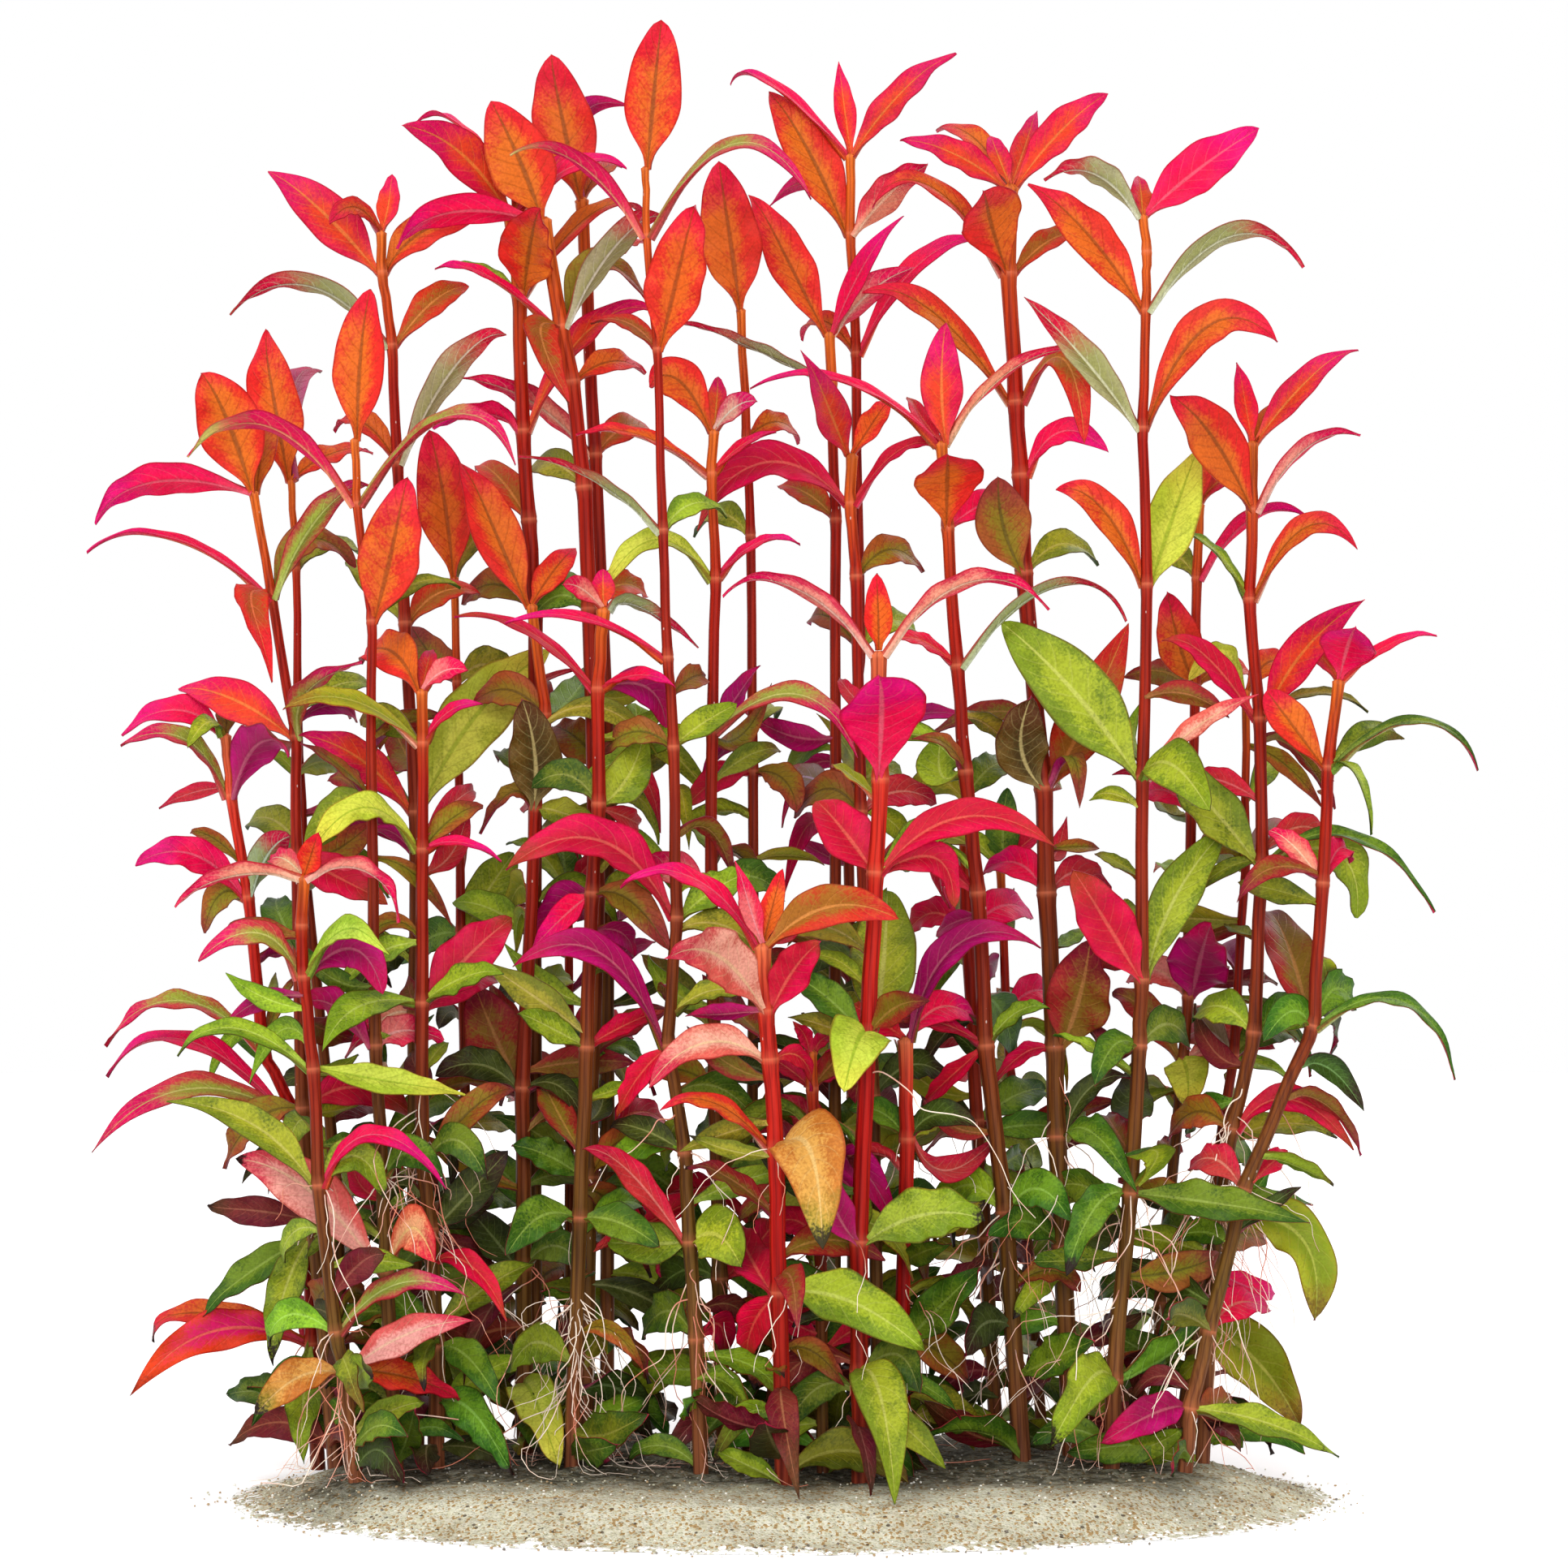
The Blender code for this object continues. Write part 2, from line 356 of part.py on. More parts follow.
      (1, -120, 20.4, -130, 11.6, -10, 10, 66, "gold"),
      (1, -93, 20.6, -79.4, 15.6, -14, 9, 52, "orange")]),
    ("stem_30", (-28, -26), (1.6, 1.4),
     [(9.8, 0), (9, 52.4), (7, 91.8), (6.6, 101)],
     [(3, 5, 105, 2.6, 107.6, -4, 4, 70, "crimson"),
      (3, 9.6, 104, 13, 105, -4, 4, 60, "crimson")]),
    ("stem_31", (30, 30), (1.5, 1.1),
     [(-53.2, 0), (-52.8, 50), (-52.6, 102), (-53.2, 141)],
     [(3, -60, 149.6, -68.8, 154, 8, 6, 50, "lime"),
      (3, -46.6, 148.6, -40.2, 152.4, 8, 6, 50, "crimson")]),
    ("stem_32", (30, 30), (1.5, 1.1),
     [(64, 0), (60.4, 50), (56.6, 90), (54.8, 110), (53.4, 146)],
     [(4, 54, 156, 55, 166, 12, 9, 78, "green")]),
    ("stem_33", (-14, -16), (1.9, 1.8),
     [(30, 0), (29.2, 30), (30.4, 79.4), (30, 104)],
     [(3, 42.6, 127, 63.6, 128.4, -6, 10, 50, "purple"),
      (2, 40.6, 71.6, 54, 82, 12, 7.5, 60, "pinkred"),
      (1, 38.4, 38, 47.6, 47, -8, 12, 76, "green"),
      (1, 38, 27, 46.4, 19, 10, 10, 70, "olive")]),
]

# Colour of each kind of leaf, as the solids show it
LEAF_COLOURS = {
    "flame": (0.80, 0.10, 0.03), "scarlet": (0.72, 0.04, 0.06), "magenta": (0.72, 0.02, 0.28),
    "purple": (0.42, 0.01, 0.25), "silver": (0.55, 0.55, 0.28), "pink": (0.80, 0.38, 0.34),
    "pinkred": (0.60, 0.10, 0.14), "crimson": (0.48, 0.01, 0.05), "orange": (0.62, 0.24, 0.05),
    "ember": (0.50, 0.20, 0.04), "olive": (0.30, 0.22, 0.05), "olivered": (0.34, 0.11, 0.04),
    "olivelime": (0.38, 0.38, 0.04), "darkolive": (0.12, 0.11, 0.03), "yellow": (0.72, 0.72, 0.12),
    "gold": (0.74, 0.44, 0.10), "lime": (0.45, 0.58, 0.06), "green": (0.20, 0.38, 0.05),
    "dark": (0.06, 0.13, 0.03), "greenmag": (0.30, 0.36, 0.08), "salmon": (0.76, 0.32, 0.18),
    "magorange": (0.76, 0.16, 0.12),
}
STEM_COLOUR = (0.27, 0.06, 0.035)
SAND_COLOUR = (0.72, 0.64, 0.50)


def seen(x, z, depth):
    """The point at this depth that covers the place (x, z), in mm, of the stand's front view."""
    spread = 1.0 + depth / EYE_DISTANCE
    height = z * MM + FOOT_LEVEL - EYE_HEIGHT
    return Vector((x * MM * spread, depth, EYE_HEIGHT + height * spread))


def plain_material(name, colour, roughness):
    """A material of one colour."""
    material = bpy.data.materials.new(name)
    material.use_nodes = True
    shader = material.node_tree.nodes["Principled BSDF"]
    shader.inputs["Base Color"].default_value = (*colour, 1.0)
    shader.inputs["Roughness"].default_value = roughness
    shader.inputs["Metallic"].default_value = 0.0
    return material


def sand_height(x, y):
    """Height of the sand's surface at a place on the ground."""
    middle = (SAND_BACK - SAND_FRONT) / 2
    reach = math.hypot(x / (SAND_WIDTH / 2), (y - middle) / ((SAND_BACK + SAND_FRONT) / 2))
    for (outer_reach, outer_rise), (inner_reach, inner_rise) in zip(SAND_RINGS, SAND_RINGS[1:]):
        if reach >= inner_reach:
            share = max(0.0, (outer_reach - reach) / (outer_reach - inner_reach))
            rise = outer_rise + (inner_rise - outer_rise) * share
            return SAND_RIM + (SAND_TOP - SAND_RIM) * rise
    return SAND_TOP


def stem_stations(stem):
    """Places, directions and radii of a stem's nodes, from the foot up."""
    _, (foot_depth, top_depth), (foot_radius, top_radius), path, _ = stem
    top = path[-1][1]
    places = []
    radii = []
    for x, z in path:
        share = z / top
        depth = (foot_depth + (top_depth - foot_depth) * share) * MM
        places.append(seen(x, z, depth))
        radii.append((foot_radius + (top_radius - foot_radius) * share) * MM)
    places[0].z = SAND_TOP - BURIED
    directions = []
    for index in range(len(places)):
        below = places[max(index - 1, 0)]
        above = places[min(index + 1, len(places) - 1)]
        directions.append((above - below).normalized())
    directions[0] = Vector((0.0, 0.0, 1.0))
    return places, directions, radii


def outward(direction, number):
    """Direction out of a stem at this corner. Half a number more is the middle of the side after it."""
    side = Vector((0.0, 1.0, 0.0)).cross(direction).normalized()
    front = direction.cross(side)
    angle = 2 * math.pi * number / STEM_SIDES
    return side * math.cos(angle) + front * math.sin(angle)


def stem_levels(stem):
    """Rings of a stem from its foot up: centre, direction, radius, and the node that ends at this ring."""
    places, directions, radii = stem_stations(stem)
    leafy = {leaf[0] for leaf in stem[4]}
    levels = [(places[0], directions[0], radii[0], None)]
    for index in range(1, len(places)):
        half = directions[index] * (NODE_HALF if index in leafy else 0.0)
        levels.append((places[index] - half, directions[index], radii[index] * NODE_SWELL, None))
        if index in leafy:
            levels.append((places[index] + half, directions[index], radii[index], index))
    return levels


def place_ring(verts, centre, direction, radius):
    """Moves the verts of one ring onto a circle across the stem."""
    for index, vert in enumerate(verts):
        vert.co = centre + outward(direction, index) * radius


def grow_stem(bm, stem):
    """A stem swollen at its nodes. Gives back the faces round each node, from which its leaves grow."""
    levels = stem_levels(stem)
    start = bmesh.ops.create_circle(bm, cap_ends=True, segments=STEM_SIDES, radius=levels[0][2])
    ring = list(start["verts"])
    place_ring(ring, *levels[0][:3])
    bm.faces.ensure_lookup_table()
    top_edges = list(bm.faces[0].edges)
    node_faces = {}
    for centre, direction, radius, node in levels[1:]:
        grown = bmesh.ops.extrude_edge_only(bm, edges=top_edges)["geom"]
        new_verts = {item for item in grown if isinstance(item, bmesh.types.BMVert)}
        ring = [edge.other_vert(vert) for vert in ring for edge in vert.link_edges
                if edge.other_vert(vert) in new_verts]
        place_ring(ring, centre, direction, radius)
        top_edges = [item for item in grown if isinstance(item, bmesh.types.BMEdge)
                     and new_verts.issuperset(item.verts)]
        if node is not None:
            node_faces[node] = [item for item in grown if isinstance(item, bmesh.types.BMFace)]
    bmesh.ops.contextual_create(bm, geom=top_edges)
    bmesh.ops.recalc_face_normals(bm, faces=bm.faces[:])
    return node_faces


def midrib(base, leaf, depth_shift, shrink, node_depth):
    """The three points that shape a leaf's midrib: its foot, its pull and its tip."""
    _, mid_x, mid_z, tip_x, tip_z, forward, _, _, _ = leaf
    tip_depth = node_depth + (forward + depth_shift) * MM
    mid_depth = node_depth + MIDDLE_FORWARD * (forward + depth_shift) * MM
    tip = base + (seen(tip_x, tip_z, tip_depth) - base) * shrink
    middle = base + (seen(mid_x, mid_z, mid_depth) - base) * shrink
    return base, middle * 2 - (base + tip) / 2, tip


def on_midrib(curve, t):
    """A point of the midrib and its direction there."""
    foot, pull, tip = curve
    point = foot * ((1 - t) ** 2) + pull * (2 * t * (1 - t)) + tip * (t * t)
    direction = (pull - foot) * (1 - t) + (tip - pull) * t
    return point, direction.normalized()


def blade_faces(curve, turn, stations):
    """Directions of the midrib and of the leaf's upper face at each station, turned evenly along it."""
    lateral = 1.0 if curve[2].x >= curve[0].x else -1.0
    _, middle = on_midrib(curve, 0.5)
    viewer = Vector((0.0, -1.0, 0.0))
    front = viewer - middle * viewer.dot(middle)
    front = front.normalized() if front.length > 0.05 else Vector((0.0, 0.0, 1.0))
    upward = front.cross(middle) * lateral
    face = upward * math.cos(math.radians(turn)) + front * math.sin(math.radians(turn))
    frames = []
    for t in stations:
        point, direction = on_midrib(curve, t)
        turned = middle.rotation_difference(direction) @ face
        turned = (turned - direction * turned.dot(direction)).normalized()
        frames.append((point, direction, turned))
    return frames


def stations_of(curve):
    """Where along its midrib a leaf has sections: an arching leaf has one more."""
    _, first = on_midrib(curve, 0.0)
    _, last = on_midrib(curve, 1.0)
    return ARCHED_SECTIONS if first.angle(last) > math.radians(ARCH) else SECTIONS


def blade_width(t):
    """Share of a leaf's full width at t: narrow foot, widest before the middle, drawn-out tip."""
    return math.sin(math.pi * min(1.0, t) ** 0.86) ** 0.85


def leaf_sections(curve, leaf, extra=0.0):
    """Sections of a leaf, each its one edge, middle, other edge and underside, and its tip."""
    width = leaf[6] * MM
    stations = stations_of(curve)
    fold = math.radians(LEAF_FOLD)
    sections = []
    for t, (point, direction, face) in zip(stations, blade_faces(curve, leaf[7], stations)):
        side = face.cross(direction)
        half = width / 2 * blade_width(t) + extra
        across = side * (half * math.cos(fold))
        rise = face * (half * math.sin(fold))
        thick = (LEAF_THICK / 2 + extra) * (1.0 - THINNING * t)
        left, right = point + across + rise, point - across + rise
        sections.append((left, point + face * thick, right, point - face * thick))
    return sections, curve[2]


def foot_corners(node, direction, radius, side):
    """Corners of the side of a node from which a leaf grows, counterclockwise seen from outside."""
    low = node - direction * NODE_HALF
    high = node + direction * NODE_HALF
    this, after = outward(direction, side), outward(direction, side + 1)
    wide = radius * NODE_SWELL
    return [low + this * wide, low + after * wide, high + after * radius, high + this * radius]


def matched(section, corners):
    """The section, started at the corner that lies nearest to the first of these, and so on round."""
    def reach(turn):
        return sum((corner - section[(k + turn) % 4]).length for k, corner in enumerate(corners))
    turn = min(range(4), key=reach)
    return [section[(k + turn) % 4] for k in range(4)]


def halves(a, b, c, d):
    """The triangles of a four-cornered face, split along either diagonal."""
    return [(a, b, c), (a, c, d), (a, b, d), (b, c, d)]


def leaf_skin(corners, sections, tip):
    """Points and faces of a leaf's surface, from the side of its node to its tip."""
    points = list(corners)
    for section in sections:
        points.extend(matched(section, points[-4:]))
    points.append(tip)
    last = 4 * len(sections)
    faces = []
    for low in range(0, last, 4):
        for corner in range(4):
            after = (corner + 1) % 4
            faces.extend(halves(low + corner, low + after, low + 4 + after, low + 4 + corner))
    faces.extend((last + corner, last + (corner + 1) % 4, last + 4) for corner in range(4))
    return points, faces


def crosses_itself(points, faces):
    """Whether two faces that share no corner meet."""
    tree = BVHTree.FromPolygons(points, faces)
    return any(set(faces[one]).isdisjoint(faces[other]) for one, other in tree.overlap(tree))


def box_of(points):
    """Lowest and highest corner of some points."""
    low = Vector([min(point[axis] for point in points) for axis in range(3)])
    high = Vector([max(point[axis] for point in points) for axis in range(3)])
    return low, high


def stem_skin(stem, extra):
    """Points and faces of a stem without its leaves, this much thicker."""
    points = []
    for centre, direction, radius, _ in stem_levels(stem):
        points.extend(centre + outward(direction, index) * (radius + extra) for index in range(STEM_SIDES))
    faces = []
    for low in range(0, len(points) - STEM_SIDES, STEM_SIDES):
        for index in range(STEM_SIDES):
            after = (index + 1) % STEM_SIDES
            faces.append((low + index, low + after, low + STEM_SIDES + after, low + STEM_SIDES + index))
    faces.append(tuple(range(len(points) - STEM_SIDES, len(points))))
    return points, faces


class Room:
    """What already stands in the stand, so that each new leaf can keep clear of it."""

    def __init__(self):
        self.taken = []

    def add(self, owner, wide, close):
        """Takes the room of a piece: a wide skin against other shoots, a close one against its own."""
        low, high = box_of(wide[0])
        self.taken.append((owner, low, high, BVHTree.FromPolygons(*wide), BVHTree.FromPolygons(*close)))

    def clear(self, owner, wide, close):
        """Whether a piece meets neither another piece nor the sand."""
        low, high = box_of(wide[0])
        trees = {}
        for other, other_low, other_high, other_wide, other_close in self.taken:
            if any(low[axis] > other_high[axis] or other_low[axis] > high[axis] for axis in range(3)):
                continue
            own = other == owner
            if own not in trees:
                trees[own] = BVHTree.FromPolygons(*(close if own else wide))
            if trees[own].overlap(other_close if own else other_wide):
                return False
        return all(point.z > sand_height(point.x, point.y) + CLEARANCE for point in wide[0])


# A leaf that meets another first bends forward or back, which keeps its place as seen, then grows shorter
DEPTH_TRIES = (0, 5, -5, 10, -10, 15, -15, 21, -21, 28, -28, 36, -36)
SHRINK_TRIES = (1.0, 0.9, 0.8, 0.68, 0.55)


def leaning(leaf, node, direction):
    """Direction in which a leaf leaves its stem."""
    toward = seen(leaf[1], leaf[2], node.y + MIDDLE_FORWARD * leaf[5] * MM) - node
    toward = toward - direction * toward.dot(direction)
    if toward.length < NODE_HALF / 4:
        toward = Vector((0.0, leaf[5] or 1.0, 0.0))
    return toward.normalized()


def settle_leaves():
    """The side of its node and the midrib with which each leaf of each stem is clear of the rest."""
    room = Room()
    for stem in STEMS:
        room.add(stem[0], stem_skin(stem, STEM_CLEARANCE), stem_skin(stem, 0.0))
    settled = []
    for stem in STEMS:
        places, directions, radii = stem_stations(stem)
        free = {}
        midribs = []
        for leaf in stem[4]:
            index = leaf[0]
            sides = free.setdefault(index, list(range(STEM_SIDES)))
            node = (places[index], directions[index], radii[index])
            side, curve = settle_leaf(room, stem[0], leaf, *node, sides)
            if curve is not None:
                sides.remove(side)
                midribs.append((leaf, side, curve))
        settled.append(midribs)
    return settled


def settle_leaf(room, owner, leaf, node, direction, radius, sides):
    """The first try that is clear of all else, on the three free sides that suit the leaf best."""
    toward = leaning(leaf, node, direction)
    sides = sorted(sides, key=lambda side: -round(outward(direction, side + 0.5).dot(toward), 5))
    apothem = radius * (1 + NODE_SWELL) / 2 * math.cos(math.pi / STEM_SIDES)
    for shrink in SHRINK_TRIES:
        for side in sides[:3]:
            out = outward(direction, side + 0.5)
            foot = node + out * apothem
            corners = foot_corners(node, direction, radius, side)
            inner = [foot + (corner - foot) * FOOT_SHRINK + out * OWN_CLEARANCE for corner in corners]
            for shift in DEPTH_TRIES:
                curve = midrib(foot, leaf, shift, shrink, node.y)
                if (curve[2] - curve[0]).length > LONGEST_LEAF:
                    continue
                if crosses_itself(*leaf_skin(corners, *leaf_sections(curve, leaf))):
                    continue
                wide = leaf_skin(corners, *leaf_sections(curve, leaf, CLEARANCE))
                close = leaf_skin(inner, *leaf_sections(curve, leaf, OWN_CLEARANCE))
                if room.clear(owner, wide, close):
                    room.add(owner, wide, close)
                    return side, curve
    return None, None


def grow_leaf(bm, face, curve, leaf):
    """Draws a leaf out of one face of its node."""
    sections, tip = leaf_sections(curve, leaf)
    for section in sections:
        face = bmesh.ops.extrude_discrete_faces(bm, faces=[face])["faces"][0]
        verts = [loop.vert for loop in face.loops]
        for vert, place in zip(verts, matched(section, [vert.co.copy() for vert in verts])):
            vert.co = place
    peak = bmesh.ops.poke(bm, faces=[face])["verts"][0]
    peak.co = tip


def face_of_side(faces, node, direction, number):
    """The face of a node with this number round the stem."""
    out = outward(direction, number + 0.5)
    return max(faces, key=lambda face: (face.calc_center_median() - node).dot(out))


def build_stem(stem, midribs, material):
    """One stem with its leaves, as one closed solid."""
    bm = bmesh.new()
    node_faces = grow_stem(bm, stem)
    places, directions, _ = stem_stations(stem)
    for leaf, side, curve in midribs:
        index = leaf[0]
        faces = node_faces[index]
        face = face_of_side(faces, places[index], directions[index], side)
        faces.remove(face)
        grow_leaf(bm, face, curve, leaf)
    bmesh.ops.triangulate(bm, faces=bm.faces[:])
    mesh = bpy.data.meshes.new(stem[0])
    bm.to_mesh(mesh)
    bm.free()
    mesh.materials.append(material)
    piece = bpy.data.objects.new(stem[0], mesh)
    bpy.context.collection.objects.link(piece)
    return piece


def cutter(name, place, radius, depth):
    """A straight plug that cuts one stem's socket into the sand."""
    bpy.ops.mesh.primitive_cylinder_add(vertices=STEM_SIDES, radius=radius, depth=depth, location=place)
    plug = bpy.context.object
    plug.name = name
    plug.hide_render = True
    plug.display_type = "WIRE"
    return plug


def build_sand(material):
    """The low patch of sand, flat below, with a socket for each stem."""
    bm = bmesh.new()
    middle = (SAND_BACK - SAND_FRONT) / 2
    stretch = Vector((SAND_WIDTH / 2, (SAND_BACK + SAND_FRONT) / 2, 1.0))
    bmesh.ops.create_circle(bm, cap_ends=True, segments=SAND_SEGMENTS, radius=1.0)
    bmesh.ops.scale(bm, vec=stretch, verts=bm.verts[:])
    bmesh.ops.translate(bm, vec=(0.0, middle, 0.0), verts=bm.verts[:])
    bm.faces.ensure_lookup_table()
    under = bmesh.ops.extrude_face_region(bm, geom=[bm.faces[0]], use_keep_orig=True)["geom"]
    face = [item for item in under if isinstance(item, bmesh.types.BMFace)][0]
    bmesh.ops.translate(bm, vec=(0.0, 0.0, SAND_RIM), verts=face.verts[:])
    for (outer, outer_rise), (inner, inner_rise) in zip(SAND_RINGS, SAND_RINGS[1:]):
        face = bmesh.ops.extrude_discrete_faces(bm, faces=[face])["faces"][0]
        bmesh.ops.scale(bm, vec=(inner / outer, inner / outer, 1.0), verts=face.verts[:],
                        space=Matrix.Translation((0.0, -middle, 0.0)))
        lift = (SAND_TOP - SAND_RIM) * (inner_rise - outer_rise)
        bmesh.ops.translate(bm, vec=(0.0, 0.0, lift), verts=face.verts[:])
    bmesh.ops.recalc_face_normals(bm, faces=bm.faces[:])
    mesh = bpy.data.meshes.new("sand_bed")
    bm.to_mesh(mesh)
    bm.free()
    mesh.materials.append(material)
    sand = bpy.data.objects.new("sand_bed", mesh)
    bpy.context.collection.objects.link(sand)
    for stem in STEMS:
        places, directions, radii = stem_stations(stem)
        lean = places[1] - places[0]
        top = places[0] + lean * (BURIED / lean.z)
        centre = (places[0] + top) / 2
        reach = radii[0] + (top.xy - places[0].xy).length / 2 + SOCKET_GAP
        corner = reach / math.cos(math.pi / STEM_SIDES)
        place = (centre.x, centre.y, SAND_TOP)
        plug = cutter(stem[0] + "_socket_cutter", place, corner, 2 * (BURIED + SOCKET_GAP))
        cut = sand.modifiers.new(stem[0] + "_socket", "BOOLEAN")
        cut.operation = "DIFFERENCE"
        cut.solver = "EXACT"
        cut.object = plug
    return sand


def main():
    for old in list(bpy.data.objects):
        bpy.data.objects.remove(old)
    for stem, midribs in zip(STEMS, settle_leaves()):
        main_colour = LEAF_COLOURS[stem[4][0][8]]
        blend = [0.5 * (a + b) for a, b in zip(main_colour, STEM_COLOUR)]
        build_stem(stem, midribs, plain_material(stem[0] + "_tissue", blend, 0.5))
    build_sand(plain_material("pale_sand", SAND_COLOUR, 0.95))


main()
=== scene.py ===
# Looks of a dense stand of red-leaved alternanthera in a low patch of pale sand.
import math
import random

import bmesh
import bpy
from bpy.props import FloatProperty, FloatVectorProperty, IntProperty, PointerProperty
from mathutils import Matrix, Vector, noise
from mathutils.bvhtree import BVHTree
from mathutils.kdtree import KDTree


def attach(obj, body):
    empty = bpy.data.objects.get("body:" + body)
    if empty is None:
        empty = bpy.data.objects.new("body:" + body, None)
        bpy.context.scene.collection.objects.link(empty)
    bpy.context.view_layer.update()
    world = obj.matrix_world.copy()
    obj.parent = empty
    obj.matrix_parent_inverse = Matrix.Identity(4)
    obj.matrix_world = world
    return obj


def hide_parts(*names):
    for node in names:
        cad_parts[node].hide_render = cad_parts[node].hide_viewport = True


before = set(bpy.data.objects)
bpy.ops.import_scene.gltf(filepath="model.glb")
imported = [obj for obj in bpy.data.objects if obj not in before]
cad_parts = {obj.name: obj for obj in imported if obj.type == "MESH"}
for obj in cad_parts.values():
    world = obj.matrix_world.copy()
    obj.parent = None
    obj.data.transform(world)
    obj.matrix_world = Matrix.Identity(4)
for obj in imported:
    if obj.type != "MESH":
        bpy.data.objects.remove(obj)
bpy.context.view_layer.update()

bl_info = {
    "name": "Alternanthera Stand",
    "version": (1, 0, 0),
    "blender": (4, 5, 0),
    "location": "3D View > Sidebar > Alternanthera",
    "description": "Dresses the shoots, aerial roots and sand of a stand of alternanthera",
    "category": "Add Mesh",
}

MM = 0.001

# The solids' own dimensions, on which the looks are laid, in metres
SAND_WIDTH = 0.266
SAND_FRONT = 0.088
SAND_BACK = 0.055
SAND_TOP = 0.008
SAND_MIDDLE = (SAND_BACK - SAND_FRONT) / 2
STEM_SIDES = 5
NODE_SWELL = 1.18
BURIED = 0.005
LEAF_THICK = 1.1 * MM
MIDDLE_FORWARD = 0.42
THINNING = 0.35
FIRST_SECTION = 0.34
ARCHED_FIRST_SECTION = 0.24
ARCH = 62.0
DEPTH_TRIES = (0, 5, -5, 10, -10, 15, -15, 21, -21, 28, -28, 36, -36)
SHRINK_TRIES = (1.0, 0.9, 0.8, 0.68, 0.55)
FOUND = 0.01 * MM

# The stand is drawn as it is seen from the front, from this far away and this far above its foot
EYE_DISTANCE = 1.0
EYE_HEIGHT = 0.1732
FOOT_LEVEL = 0.0064
VIEW_WIDTH = 0.3864

# Rows and columns of faces on a large leaf and on a small one
LARGE_LEAF_GRID = (28, 8)
SMALL_LEAF_GRID = (16, 6)
LATERAL_VEINS = 9.0
VEIN_RISE = 1.9

# A leaf's blade: how it folds and thickens where it leaves the stem, how far across its midrib reaches, from
# where along it its tip hooks, and how unlike its kind's colours a large leaf and a small one may be
STALK_FOLD = 52
STALK_STEP = (0.02, 0.22)
STALK_THICKNESS = 0.7 * MM
STALK_IN_STEM = 0.8 * MM
RIB_REACH = 0.16
RIB_THINNING = 0.55
HOOK_START = 0.7
THINNEST_TIP = 0.04 * MM
LARGE_LEAF_STRAY = 0.35
SMALL_LEAF_STRAY = 1.0
BRIGHTEST = 0.92

